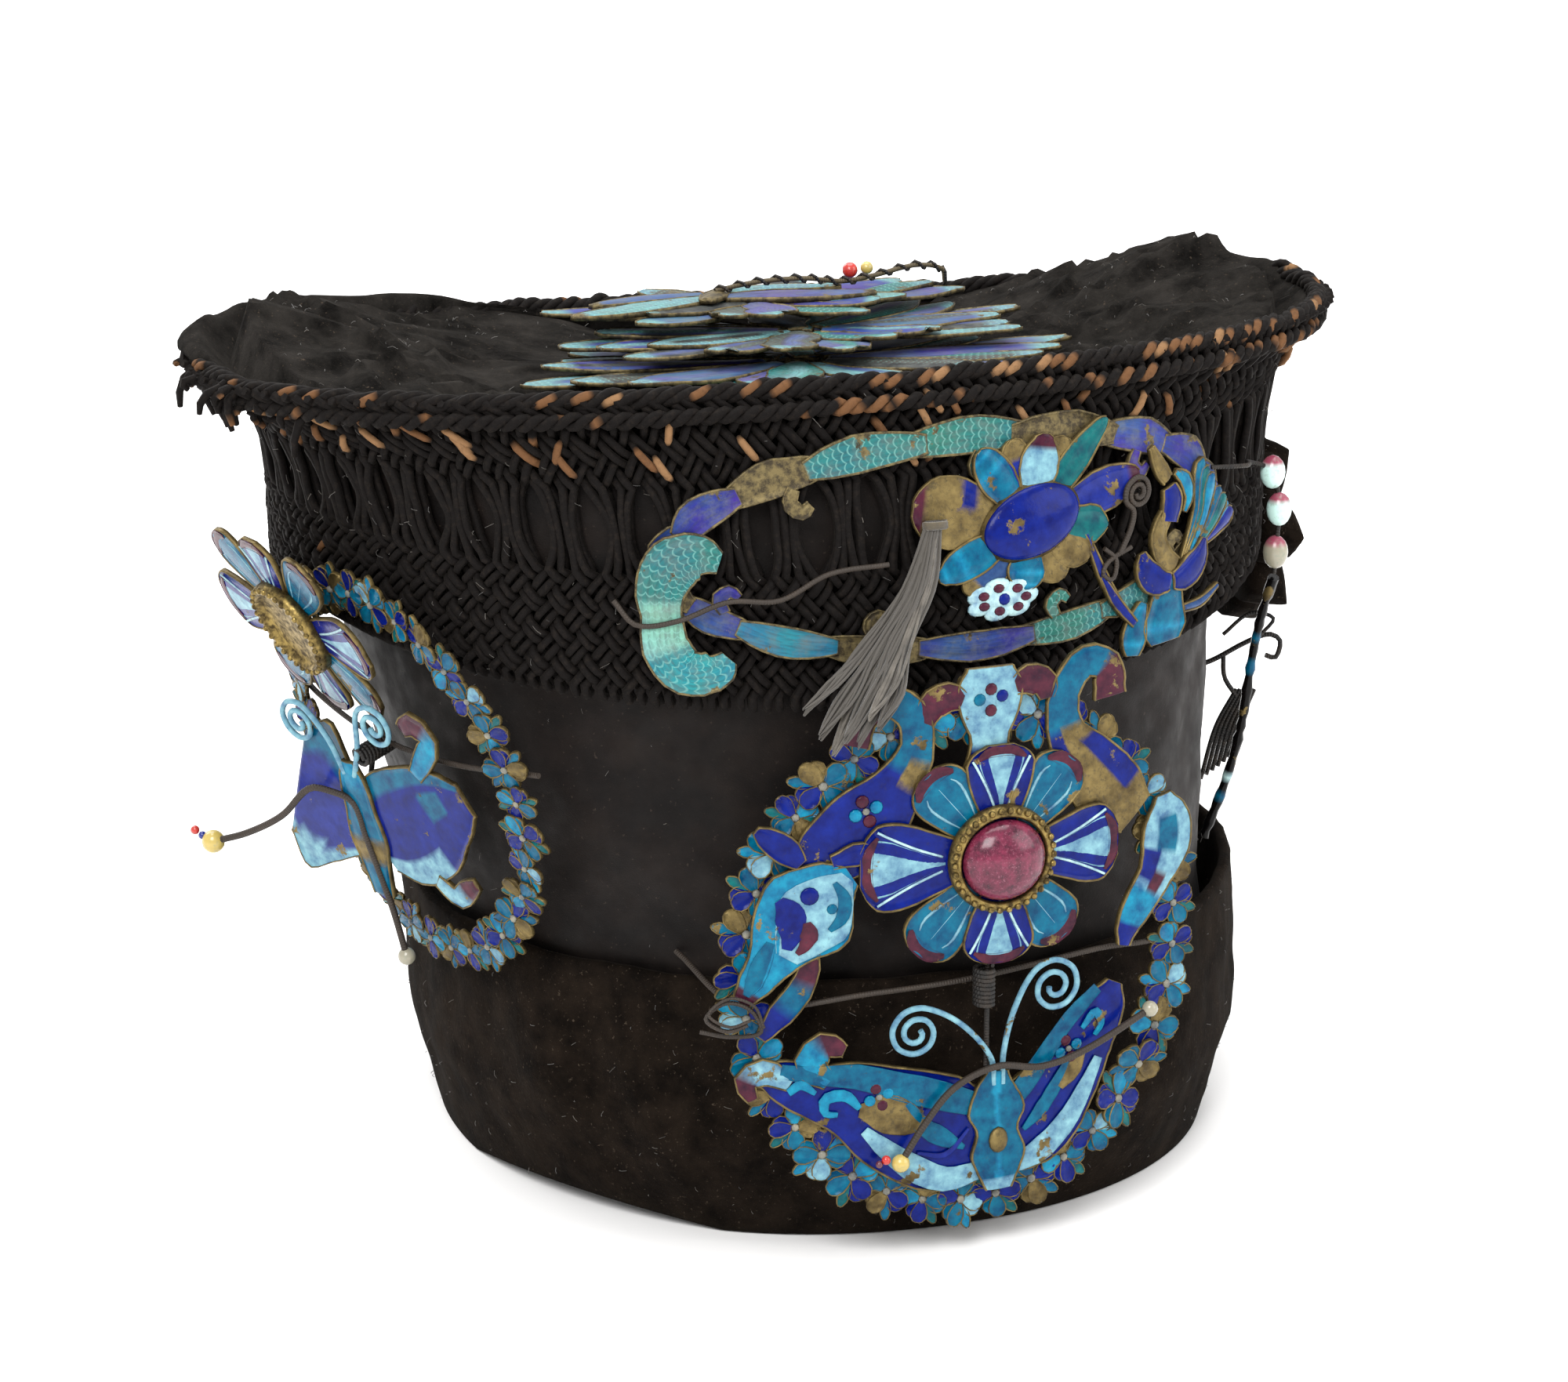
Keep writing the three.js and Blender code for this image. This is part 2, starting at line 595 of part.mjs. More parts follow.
// Cloth body and crown
addPart('satin_drum', 'satin', satinDrum());
addPart('velvet_cuff', 'velvet', velvetCuff());
addPart('cord_basket', 'cord', cordBasket());
addPart('rim_cord', 'cord', rimCord());
addPart('crown_velvet', 'velvet', crownVelvet());

// Velvet rosette on the right of the basket
const side = basketPanel({ angle: -1, rise: -0.13, off: GAP + 0.5 });
const lobes = [20, 95, 165, 235, 305].map((angle) => ({ angle, reach: 23, width: 52 }));
addPart('velvet_rosette', 'velvet', petals(lobes, 13, [0, 0], side, 0, ROSETTE_THICKNESS));

// Front medallion: a lotus, scrolls, peaches and a butterfly inside a wreath of florets
const front = bentPanel({ at: offFoot(-90, [8, -7, -55]), facing: -90, bend: 200 });
const frontHeart = [4.6, 22];
const behindRing = -WIRE - 2 * GAP;

addPart('front_wreath', 'enamel', wreath(FRONT_RING, front));
addPart('front_cross_wire', 'wire', wire([
  satinPoint(0.5, -127, WIRE + GAP),
  front(-47, -7, behindRing), front(-20, -6, behindRing), front(2, -5, behindRing),
  front(30, -3, behindRing), front(47, -3, behindRing),
  satinPoint(0.52, -53, WIRE + GAP),
], { steps: 12 }));

addPart('front_vase', 'enamel', fuse([
  strip([[2.7, 40, 10], [2.7, 46, 8], [2.7, 52, 12], [2.7, 57, 14], [2.7, 61, 10]], front, LAYER),
  strip([[-3, 55, 4], [-7, 55, 7], [-10, 53, 4]], front, LAYER),
  strip([[8, 57, 4], [12, 57, 7], [14.5, 55, 4]], front, LAYER),
]));
addPart('front_scroll_left', 'enamel', strip([
  [-36, 20, 9], [-29, 26, 14], [-20, 34, 12], [-14, 42, 8], [-12, 50, 7], [-17, 56, 7], [-23, 53, 7], [-26, 47, 8],
], front, LAYER));
addPart('front_scroll_right', 'enamel', strip([
  [33, 28, 7], [28, 34, 12], [23, 41, 10], [18.5, 49, 7], [20, 57, 7], [25.5, 60, 7], [29, 55, 7], [28, 50, 8],
], front, LAYER));
addPart('front_lotus', 'enamel', petals(lotusPetals(LOTUS), 0.46 * LOTUS, frontHeart, front, 2 * LAYER));
addPart('front_bezel', 'gilt', turned(front, [...frontHeart, 3 * LAYER], setting(STONE / 0.82, SETTING_HEIGHT)));
addPart('front_cabochon', 'stone', turned(front, [...frontHeart, 3 * LAYER + PLATE + GAP],
  dome(STONE - GAP, 0.6 * STONE)));
addPart('front_peach_left', 'enamel', strip([
  [-27, 21, 3], [-32, 18, 12], [-36, 14, 20], [-40, 9, 15], [-44, 3, 9], [-48, -3, 6],
], front, 2 * LAYER));
addPart('front_peach_right', 'enamel', strip([
  [43, 27, 4], [43.5, 22, 11], [43, 17, 13], [41.5, 11, 10], [38.5, 5, 8], [36, 0, 5],
], front, LAYER));
addPart('front_butterfly', 'enamel', fuse([
  strip([[5, -24, 4], [4.5, -29, 9], [5, -36, 13], [5.5, -42, 8], [5.5, -49, 8]], front, LAYER),
  strip([[2, -38, 17], [-8, -35, 24], [-18, -31, 22], [-28, -26, 15], [-36, -24, 10], [-43, -22, 6]],
    front, LAYER),
  strip([[8, -38, 18], [15, -35, 20], [21, -28, 14], [26, -20, 12], [31, -13, 7]], front, LAYER),
]));
const frontWireOut = 2 * LAYER + WIRE;
addPart('front_antenna_left', 'enamel', spiral(front,
  { centre: [-12.6, -13.9], radius: 5.5, turns: 1.6, from: 70, hand: -1, out: frontWireOut },
  [[-3, -13, frontWireOut], [3.4, -21, frontWireOut], [4, -27, frontWireOut]]));
addPart('front_antenna_right', 'enamel', spiral(front,
  { centre: [17.3, -7.7], radius: 6, turns: 1.6, from: 140, hand: 1, out: frontWireOut },
  [[8.5, -11, frontWireOut], [6.2, -20, frontWireOut], [6, -27, frontWireOut]]));
const coil = [[0, 0], [COIL_RADIUS, 0], [COIL_RADIUS, COIL_LENGTH], [0, COIL_LENGTH]];
const postOut = 2 * LAYER - GAP - WIRE;
addPart('front_spring_post', 'wire', fuse([
  turned(bentPanel({ at: front(2, -5.5, COIL_RADIUS).toArray(), facing: -90, tilt: 90 }),
    [0, 0, -COIL_LENGTH / 2], coil, { sides: 8 }),
  rod(front(3, 12, postOut), front(3, -23.2, postOut)),
]));
const feelerOut = frontWireOut + 2 * WIRE + GAP;
addPart('front_feeler', 'wire', fuse([
  wire([[-16, -41], [-11, -33], [-5, -26], [4, -22.5], [14, -24], [24, -22], [39, -16]].map(
    ([u, v]) => front(u, v, feelerOut)), { steps: 12, sides: 4 }),
  turned(front, [-16, -41, feelerOut], ball(BEAD), { sides: 8 }),
  turned(front, [39, -16, feelerOut], ball(BEAD), { sides: 8 }),
]));
const phoenixOut = LAYER + WIRE;
addPart('front_wire_phoenix', 'wire', wire([
  [-56, -11], [-50, -12], [-44, -11], [-46, -6], [-51, -4], [-55, -7], [-51, -9.5], [-47, -8],
].map(([u, v], index) => front(u, v, phoenixOut + index * 0.7)), { steps: 16, sides: 4 }));
addPart('front_leaf', 'enamel', strip(
  [[-44, -13, 3], [-40, -8, 5], [-36, -3, 5], [-34, 2, 4], [-33, 5, 2]], front, LAYER));

// Left medallion: leans off the drum, its stone lost from an open cup
const left = bentPanel({
  at: offFoot(-158, [10, -4.9, -28.7]), facing: -158, tilt: -16, bend: 190, roll: -4,
});
const leftLotus = bentPanel({ at: offFoot(-158, [-8.8, 15, -2.4]), facing: -154, tilt: -34 });
const leftWings = bentPanel({ at: offFoot(-158, [3.5, 11.7, -43.7]), facing: -152, tilt: -17 });

addPart('left_wreath', 'enamel', wreath(LEFT_RING, left));
addPart('left_cross_wire', 'wire', wire([
  satinPoint(0.78, 176, WIRE + GAP),
  left(-46, 1, 1.6 * behindRing), left(-30, 0, behindRing), left(-12, 0, behindRing), left(10, 2, behindRing),
  left(35, 6, behindRing),
], { steps: 10 }));
const leftCoil = left(-12, 0, COIL_RADIUS);
const leftCoilPanel = bentPanel({ at: leftCoil.toArray(), facing: -158, tilt: 74 });
addPart('left_spring', 'wire', fuse([
  turned(leftCoilPanel, [0, 0, -COIL_LENGTH / 2], coil, { sides: 8 }),
  wire([leftCoil, leftCoilPanel(0, 0, 6), leftLotus(12, -28, 2), leftLotus(9, -27, -1.6),
    leftLotus(4, -16, -2), leftLotus(0, -8, -GAP - WIRE - 0.1)], { steps: 8, sides: 6 }),
  rod(leftCoil, leftWings(0, 2, -GAP - WIRE)),
]));
addPart('left_lotus', 'enamel', petals(lotusPetals(LOTUS), 0.46 * LOTUS, [0, 0], leftLotus, 0));
addPart('left_cup', 'gilt', turned(leftLotus, [0, 0, LAYER], setting(STONE / 0.82, SETTING_HEIGHT)));
addPart('left_butterfly', 'enamel', fuse([
  strip([[0, 13, 4], [0, 6, 8], [0, -4, 11], [0, -12, 7], [0, -20, 7]], leftWings, 0),
  strip([[2, -5, 16], [9, -2, 24], [18, 3, 23], [26, 8, 18], [33, 11, 10]], leftWings, 0),
  strip([[-2, -5, 16], [-8, -3, 30], [-14, 0, 44], [-19, 3, 34]], leftWings, 0),
]));
const leftWireOut = LAYER + WIRE;
const leftFeelerOut = leftWireOut + GAP;
addPart('left_antenna_left', 'enamel', spiral(leftWings,
  { centre: [-12, 20], radius: 5, turns: 1.6, from: 60, hand: -1, out: leftWireOut },
  [[-4, 18, leftWireOut], [-1.5, 10, leftWireOut]]));
addPart('left_antenna_right', 'enamel', spiral(leftWings,
  { centre: [12, 24], radius: 5, turns: 1.6, from: 150, hand: 1, out: leftWireOut },
  [[5, 18, leftWireOut], [1.5, 10, leftWireOut]]));
addPart('left_feeler', 'wire', fuse([
  wire([
    [3, -34, BEAD + 2 * GAP], [2, -22, leftFeelerOut], [0, -5, leftFeelerOut], [-1, 3, leftFeelerOut],
    [-6, 5, 3], [-10.5, 5.9, 5], [-18.3, -1, 8], [-27.9, -6, 11], [-36.3, -8.5, 14],
  ].map((point) => leftWings(...point)), { steps: 16, sides: 4 }),
  turned(leftWings, [3, -34, BEAD + 2 * GAP], ball(BEAD), { sides: 8 }),
  turned(leftWings, [-36.3, -8.5, 14], ball(BEAD), { sides: 8 }),
]));

// Brow ornament on the basket: cloud frame, many-petalled flower, phoenix, tassel and hanging buds
const brow = basketPanel({ angle: -82, rise: 0.52, off: BROW_STAND_OFF });
const browHeart = [7.2, 2.1];
const browPetals = [
  { angle: 12, reach: 27, width: 22 }, { angle: 46, reach: 17, width: 30 }, { angle: 78, reach: 15, width: 30 },
  { angle: 128, reach: 18, width: 32 }, { angle: 168, reach: 26, width: 30 }, { angle: 204, reach: 21, width: 26 },
  { angle: 240, reach: 16, width: 26 }, { angle: 272, reach: 13, width: 26 }, { angle: 306, reach: 15, width: 26 },
  { angle: 344, reach: 20, width: 28 },
];
addPart('brow_frame', 'feather', wreath(BROW_RING, brow));
addPart('brow_cloud', 'feather', strip([
  [-58, -1, 7], [-64, 0, 9], [-68, -5, 9], [-69, -11, 8], [-69, -19, 10], [-64, -24, 9], [-58, -22, 7],
], brow, LAYER));
addPart('brow_flower', 'feather', petals(browPetals, 9, browHeart, brow, LAYER));
addPart('brow_plaque', 'feather', turned(brow, [...browHeart, 2 * LAYER], dome(11, 2), { oval: 0.6 }));
addPart('brow_dotted_plaque', 'enamel', disc(
  ringOutline(14, (index) => (index % 2 ? 8 : 6.8), [0, -13], 0.5), [0, -13], brow, 2 * LAYER));
addPart('brow_phoenix', 'feather', fuse([
  strip([[37, 7, 2], [40, 4, 5], [42, 0, 4.5], [42, -6, 5], [44, -13, 11], [42, -20, 10], [40, -27, 14]],
    brow, LAYER),
  strip([[43, -13, 10], [50, -12, 12], [56, -8, 12], [63, -6, 10], [68, -3, 5]], brow, LAYER),
]));
const browWireOut = 2 * LAYER + WIRE;
addPart('brow_spiral', 'wire', spiral(brow,
  { centre: [33, 4], radius: 3.6, turns: 1.6, from: 250, hand: 1, out: browWireOut },
  [[31, -3, browWireOut], [28, -8, browWireOut]]));
addPart('brow_wire', 'wire', wire([
  [-78, -9], [-74, -14], [-66, -13], [-56, -9], [-46, -9], [-36, -4], [-24, -3],
].map(([u, v]) => brow(u, v, browWireOut)), { steps: 12, sides: 4 }));

// Silk tassel: locks fused to a head
const locks = [
  { swing: -2, foot: -36, lift: 0 }, { swing: -1, foot: -40, lift: 0.6 },
  { swing: 0, foot: -38, lift: 0 }, { swing: 1, foot: -35, lift: 0.6 },
];
addPart('brow_tassel', 'silk', fuse(locks.map(({ swing, foot, lift }) => strip([
  [-14 + 0.6 * swing, 5, 3.4], [-18 + swing, -8, 3.8, lift + 1], [-25 + 2.4 * swing, -20, 4.4, lift + 4.5],
  [-36 + 3.2 * swing, foot, 2, lift + 11],
], brow, 2 * LAYER, 1.4))));

// Buds and strip hanging past the right edge, and a spray of wires and a dark leaf behind them
const edge = bentPanel({ at: offFoot(-20, [-12, 2.1, -26.7]), facing: -110 });
const budPlaces = [[11.7, 45.5, 20], [13.3, 37.4, 20], [12.8, 28, 20]];
const budFoot = [12.7, 23, 19];
addPart('brow_buds', 'bud', fuse([
  wire([brow(57, 4, LAYER + WIRE), brow(64, 3, 6), edge(6, 49, 25), ...budPlaces.map((place) => edge(...place)),
    edge(...budFoot)], { steps: 12, sides: 4 }),
  ...budPlaces.map((place) => turned(edge, place, ball(BUD), { oval: 1.25, sides: 8 })),
]));
addPart('brow_strip', 'enamel', wire([
  edge(budFoot[0], budFoot[1] - 3 * GAP, budFoot[2]), edge(10.8, 12, 14), edge(9.4, 0.6, 10),
  edge(7.8, -14.4, 8), edge(5.1, -28.4, 4), satinPoint(0.48, -22, STRIP_RADIUS + GAP),
], { radius: STRIP_RADIUS, steps: 9, sides: 6 }));
addPart('side_spray', 'wire', fuse([
  wire([satinPoint(0.72, -6, GAP + WIRE), edge(3.9, -8.2, -21), edge(11, -4.2, -21), edge(16.2, -2.2, -21),
    edge(18.8, -3.6, -21), edge(17.9, -7.6, -21), edge(15.6, -7, -21)], { steps: 12, sides: 4 }),
  wire([edge(6.3, -6.8, -21), edge(6.7, -12.2, -21), edge(9.4, -16.5, -21)], { steps: 3, sides: 4 }),
  strip([[4.5, -34, 3], [6.5, -27, 7], [9.5, -20, 10], [12.5, -15, 7], [14, -13, 3]], edge, -21.5),
]));

// Crown ornament: feather-inlaid leaves stacked on short stems, a butterfly and its wires on top
const top = bentPanel({ at: [-6, 2, crownHeight(-6, 2) + 3 * GAP], facing: -90, tilt: 93 });
const leaves = [
  { name: 'top_leaf_low', centre: [-2, -22], petals: 7, reach: 56, squash: 0.5, heart: 0.62, turn: 0 },
  { name: 'top_leaf_middle', centre: [5, -11], petals: 6, reach: 46, squash: 0.45, heart: 0.55, turn: 12 },
  { name: 'top_leaf_high', centre: [-1, 4], petals: 5, reach: 38, squash: 0.45, heart: 0.5, turn: -10 },
];
leaves.forEach((leaf, index) => {
  const turn = 360 / leaf.petals;
  const rows = Array.from({ length: leaf.petals }, (_, count) => (
    { angle: leaf.turn + count * turn, reach: leaf.reach, width: 0.8 * turn }));
  const deck = (index + 1) * TOP_STEP - PLATE;
  const stems = [-10, 12].map((side) => {
    const [u, v] = [leaf.centre[0] + side, leaf.centre[1]];
    const { x, y, z } = top(u, v);
    const foot = index ? deck - TOP_STEP + PLATE + GAP : crownHeight(x, y) + 2 * GAP - z;
    return turned(top, [u, v, foot], [[0, 0], [STEM_RADIUS, 0], [STEM_RADIUS, deck - foot + PLATE / 2],
      [0, deck - foot + PLATE / 2]], { sides: 6 });
  });
  addPart(leaf.name, 'feather', fuse([
    petals(rows, leaf.heart * leaf.reach, leaf.centre, top, deck, PLATE, leaf.squash), ...stems]));
});
const topDeck = leaves.length * TOP_STEP + GAP;
addPart('top_butterfly', 'feather', fuse([
  strip([[-19, 0, 4], [-15, 6, 6], [-11, 12, 4]], top, topDeck),
  strip([[-17, 6, 8], [-29, 2, 12], [-41, -2, 9], [-49, -4, 3]], top, topDeck),
  strip([[-13, 6, 8], [-2, 4, 11], [9, 0, 9], [19, -2, 3]], top, topDeck),
]));
addPart('top_coil', 'wire', wire([
  [-14, 8, 1.9], [-6, 5, 3.6], [4, 3, 4], [14, 5, 2.4], [20, 3, 3.4], [30, 3, 5], [37, 5, 3.4], [38, 6, 0.6],
].map(([u, v, w]) => top(u, v, topDeck + w)), { steps: 16 }));

// The origin is the middle of the footprint
const box = new THREE.Box3().setFromObject(hat);
const middle = box.getCenter(new THREE.Vector3());
hat.position.set(-middle.x, -middle.y, -box.min.z);

export default hat;
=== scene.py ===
"""A court lady's hat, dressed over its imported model.

The hat is a satin drum with a turned-up velvet cuff, a flared basket of plaited silk cord with
a roped rim, a sunk velvet crown, and trembling ornaments of enamel and feather laid on gilt
plates. Lengths in the classes are millimetres in the maker's frame; place() turns them into
metres in the model's frame.
"""
from __future__ import annotations

import logging
import math
import random
from dataclasses import dataclass, field, replace
from enum import Enum
from typing import Callable, Sequence

import bmesh
import bpy
import numpy as np
from mathutils import Euler, Matrix, Vector, noise

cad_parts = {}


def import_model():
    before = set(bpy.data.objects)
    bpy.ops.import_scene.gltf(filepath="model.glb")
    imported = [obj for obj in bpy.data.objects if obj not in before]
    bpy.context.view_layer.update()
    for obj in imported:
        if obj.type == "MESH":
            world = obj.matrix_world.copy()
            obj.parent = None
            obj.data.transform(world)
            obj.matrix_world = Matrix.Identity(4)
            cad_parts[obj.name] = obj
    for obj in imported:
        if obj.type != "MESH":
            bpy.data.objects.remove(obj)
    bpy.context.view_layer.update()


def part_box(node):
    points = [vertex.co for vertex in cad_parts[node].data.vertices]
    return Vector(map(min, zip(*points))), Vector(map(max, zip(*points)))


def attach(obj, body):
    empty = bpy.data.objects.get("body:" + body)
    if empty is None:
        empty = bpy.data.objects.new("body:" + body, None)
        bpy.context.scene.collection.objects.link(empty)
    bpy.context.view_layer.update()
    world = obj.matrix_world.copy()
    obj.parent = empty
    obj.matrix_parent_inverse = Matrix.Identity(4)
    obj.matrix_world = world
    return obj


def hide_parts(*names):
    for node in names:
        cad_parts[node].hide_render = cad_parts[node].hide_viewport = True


LOG = logging.getLogger("court_hat")
MM = 0.001
ROOT = "root"
# steps of a table of arc lengths round a ring
TABLE_STEPS = 720
Panel = Callable[..., Vector]
Row = Sequence[float]


def srgb(code: str) -> tuple[float, float, float, float]:
    """Linear colour of an sRGB hex code such as "#1d1815"."""
    parts = [int(code[i:i + 2], 16) / 255 for i in (1, 3, 5)]
    return tuple(c / 12.92 if c <= 0.04045 else ((c + 0.055) / 1.055) ** 2.4 for c in parts) + (1.0,
                                                                                                )


class Tint(Enum):
    """Colours of the ornaments' enamel, feather, glass and cord."""

    COBALT = "#071d74"
    VIOLET = "#1a2a80"
    TURQUOISE = "#04647e"
    SKY = "#1484a0"
    PALE = "#83b2b9"
    TEAL = "#0d6663"
    SEA = "#077a80"
    FOAM = "#6fa79a"
    AUBERGINE = "#52202f"
    GILT = "#6e5e39"
    WORN = "#51462f"
    PEARL = "#8f8a78"
    AMBER = "#b59f55"
    CORAL = "#b02a22"
    ROSE = "#8d3f52"
    MINT = "#bfe0d8"
    CORD = "#0e0b0a"
    RATTAN = "#60422a"
    RATTAN_PALE = "#7c5d40"
    LINT = "#5a544b"
    BROWN = "#2c241d"
    DARK = "#0f0c0a"
    FLOSS = "#39342d"
    PLUME = "#33527c"
    ICE = "#5b8a90"
    LILAC = "#454a80"

    @property
    def rgba(self) -> tuple[float, float, float, float]:
        """Linear colour."""
        return srgb(self.value)

    @property
    def gilded(self) -> float:
        """1 where the plate's metal shows, 0 where it is covered."""
        return 1.0 if self in (Tint.GILT, Tint.WORN) else 0.0


# Form of the cloth body, in millimetres


@dataclass(frozen=True)
class Ring:
    """Level outline of the body: a squared oval whose ends, front and back may lift."""

    z: float
    x: float
    half: float
    front: float
    back: float
    tips: float = 0.0
    fore: float = 0.0
    aft: float = 0.0
    side: float = 0.0
    perk: float = 0.0
    squareness: float = 2.1

    def grown(self, by: float) -> "Ring":
        """The same ring, larger all round by a length."""
        return replace(self, half=self.half + by, front=self.front + by, back=self.back + by)

    def mixed(self, other: "Ring", share: float) -> "Ring":
        """A ring between this one and another."""
        names = ("z", "x", "half", "front", "back", "tips", "fore", "aft", "side", "perk")
        return replace(self, **{n: getattr(self, n) * (1 - share) + getattr(other, n) * share
                                for n in names})

    def point(self, angle: float) -> Vector:
        """Spot on the ring at an angle in radians."""
        c, s = math.cos(angle), math.sin(angle)
        power = 2 / self.squareness
        across, along = abs(c) ** power, abs(s) ** power
        rise = self.tips * abs(c) ** 3 + self.side * c + (self.fore if s < 0
                                                          else self.aft) * abs(s) ** 1.5
        rise += self.perk * max(0.0, s) ** 0.6 * max(0.0,
                                                     math.cos(angle - math.radians(128))) ** 1.5
        return Vector((self.x + self.half * math.copysign(across, c),
                       (-self.front if s < 0 else self.back) * along, self.z + rise))


@dataclass(frozen=True)
class HatForm:
    """Driving sizes of the body, as the maker's model has them."""

    hem_half_width: float = 84
    hem_half_depth: float = 86
    drum_height: float = 125
    cuff_height: float = 57
    basket_height: float = 46
    rim_half_width: float = 125
    rim_half_depth: float = 78
    lean: float = -12
    satin: float = 2
    velvet: float = 2.4
    basket_wall: float = 4.5
    rope_radius: float = 2.6
    corner_raise: float = 9
    cuff_stand_off: float = 5
    back_perk: float = 6.0
    gap: float = 0.3
    plate: float = 1.0
    wire: float = 0.6
    # rise, width, front, back, lean, join
    drum_rows: tuple = (
        (0.016, 0.968, 0.957, 0.99, 0, 0), (0.18, 1.027, 1.04, 1.05, 0, 0),
        (0.44, 1.004, 1.003, 1.02, 0.25, 0), (0.72, 1.017, 0.98, 0.98, 0.62, 0.2),
        (0.86, 0.946, 0.954, 0.957, 0.82, 0.6), (1, 0.889, 0.93, 0.934, 1, 1))
    # rise, width, front, back, tips, fore, aft, side
    basket_rows: tuple = (
        (0, 0.864, 1.167, 1.128, 0.11, -0.13, 0, 0),
        (0.44, 0.872, 1.12, 1.03, 0.1, -0.04, -0.09, 0.01),
        (0.6, 0.88, 1.1, 0.99, 0.09, 0, -0.14, 0.01),
        (0.77, 0.9, 1.07, 0.95, 0.08, 0.06, -0.18, 0.02),
        (0.9, 0.94, 1.045, 0.91, 0.075, 0.12, -0.21, 0.02),
        (1, 1, 1.026, 0.88, 0.067, 0.16, -0.23, 0.02))
    crown_seat: float = 0.87
    # x and y as shares of the rim, reach of the half depth, height of the corner raise
    crown_folds: tuple = ((-0.76, 0.15, 0.28, 0.5), (-0.72, -0.3, 0.2, 0.25),
                          (0.76, 0.2, 0.28, 0.6), (0.74, -0.25, 0.2, 0.35), (0.1, 0.7, 0.2, 0.2))

    def basket_ring(self, rise: float) -> Ring:
        """Outer ring of the basket at a share of its height; past the ends it goes on straight."""
        rows = self.basket_rows
        index = next((i for i, row in enumerate(rows) if row[0] >= rise), len(rows) - 1)
        low, high = rows[max(index, 1) - 1], rows[max(index, 1)]
        share = (rise - low[0]) / (high[0] - low[0])
        w, f, b, tips, fore, aft, side = (p + (q - p) * share for p, q in zip(low[1:], high[1:]))
        tall = self.basket_height
        return Ring(self.drum_height + rise * tall, self.lean, w * self.rim_half_width,
                    f * self.rim_half_depth, b * self.rim_half_depth, tips * tall, fore * tall,
                    aft * tall, side * tall, self.back_perk * max(0.0, rise - 0.4) / 0.6)

    def drum_ring(self, rise: float) -> Ring:
        """Outer ring of the satin at a share of the drum's height."""
        rows = self.drum_rows
        names = np.array(rows).T
        _, w, f, b, lean, join = (float(np.interp(rise, names[0], column)) for column in names)
        foot = self.basket_ring(0)
        wide = self.hem_half_width + join * (foot.half - self.hem_half_width)
        fore = self.hem_half_depth + join * (foot.front - self.hem_half_depth)
        back = self.hem_half_depth + join * (foot.back - self.hem_half_depth)
        return Ring(rise * self.drum_height, lean * self.lean, w * wide, f * fore, b * back,
                    join * foot.tips, join * foot.fore, join * foot.aft, join * foot.side)

    def satin_point(self, rise: float, degrees: float, off: float) -> Vector:
        """Spot some way off the satin."""
        return self.drum_ring(rise).grown(off).point(math.radians(degrees))

    def off_foot(self, degrees: float, way: Row) -> Vector:
        """Spot some way off the basket's foot."""
        return self.basket_ring(0).point(math.radians(degrees)) + Vector(way)

    def crown_height(self, x: float, y: float) -> float:
        """Height of the sunk crown's cloth."""
        seat = self.basket_ring(self.crown_seat).grown(-self.basket_wall - self.gap)
        deep = seat.front if y < 0 else seat.back
        across, along = abs(x - seat.x) / seat.half, abs(y) / deep
        q = seat.squareness
        share = max(1e-6, (across ** q + along ** q) ** (1 / q))
        angle = math.atan2(math.copysign((along / share) ** (q / 2), y),
                           math.copysign((across / share) ** (q / 2), x - seat.x))
        roll = (max(0.0, across - 0.55) / 0.45) ** 1.5
        folds = 0.0
        for fx, fy, reach, height in self.crown_folds:
            away = math.hypot((x - seat.x - fx * self.rim_half_width) / self.rim_half_depth,
                              y / self.rim_half_depth - fy) / reach
            folds += height * math.exp(-away ** 2)
        edge = seat.point(angle).z
        return seat.z + (edge - seat.z) * share + self.corner_raise * (roll
                                                                       + folds * max(0, 1
                                                                                     - share ** 4))


FORM = HatForm()
SHIFT = Vector((0, 0, 0))


def find_shift() -> Vector:
    """Way from the maker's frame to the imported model's, read off the rim, in millimetres."""
    low, high = (Vector(corner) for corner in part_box("rim_cord"))
    rim = FORM.basket_ring(1)
    middle = (low + high) / 2 / MM
    return Vector((middle.x - rim.x, middle.y - (rim.back - rim.front) / 2, 0))


def place(point: Vector) -> Vector:
    """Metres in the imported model's frame."""
    return (point + SHIFT) * MM


# Panels: each maps (across, up, out) of a flat ornament to its place on the hat


@dataclass(frozen=True)
class BentPanel:
    """Flat or gently bent sheet in space that faces a bearing."""

    at: Vector
    facing: float
    tilt: float = 0.0
    bend: float = 1e6
    roll: float = 0.0

    def __call__(self, u: float, v: float, w: float = 0.0) -> Vector:
        """Spot on the panel."""
        turn, lean, spin = (math.radians(a) for a in (self.facing, self.tilt, self.roll))
        ahead = Vector((math.cos(turn), math.sin(turn), 0))
        across = Vector((-math.sin(turn), math.cos(turn), 0))
        up = Vector((0, 0, math.cos(lean))) - ahead * math.sin(lean)
        out = Vector((0, 0, math.sin(lean))) + ahead * math.cos(lean)
        side = u * math.cos(spin) - v * math.sin(spin)
        rise = u * math.sin(spin) + v * math.cos(spin)
        return (Vector(self.at) + across * math.sin(side / self.bend) * (self.bend + w)
                + out * (math.cos(side / self.bend) * (self.bend + w) - self.bend) + up * rise)


def arc_table(ring: Ring) -> tuple[np.ndarray, np.ndarray]:
    """Angles round a ring from the left, and the arc length up to each."""
    turns = np.linspace(-math.pi, math.pi, TABLE_STEPS + 1)
    spots = [ring.point(turn) for turn in turns]
    return turns, np.cumsum([0.0] + [(b - a).length for a, b in zip(spots, spots[1:])])


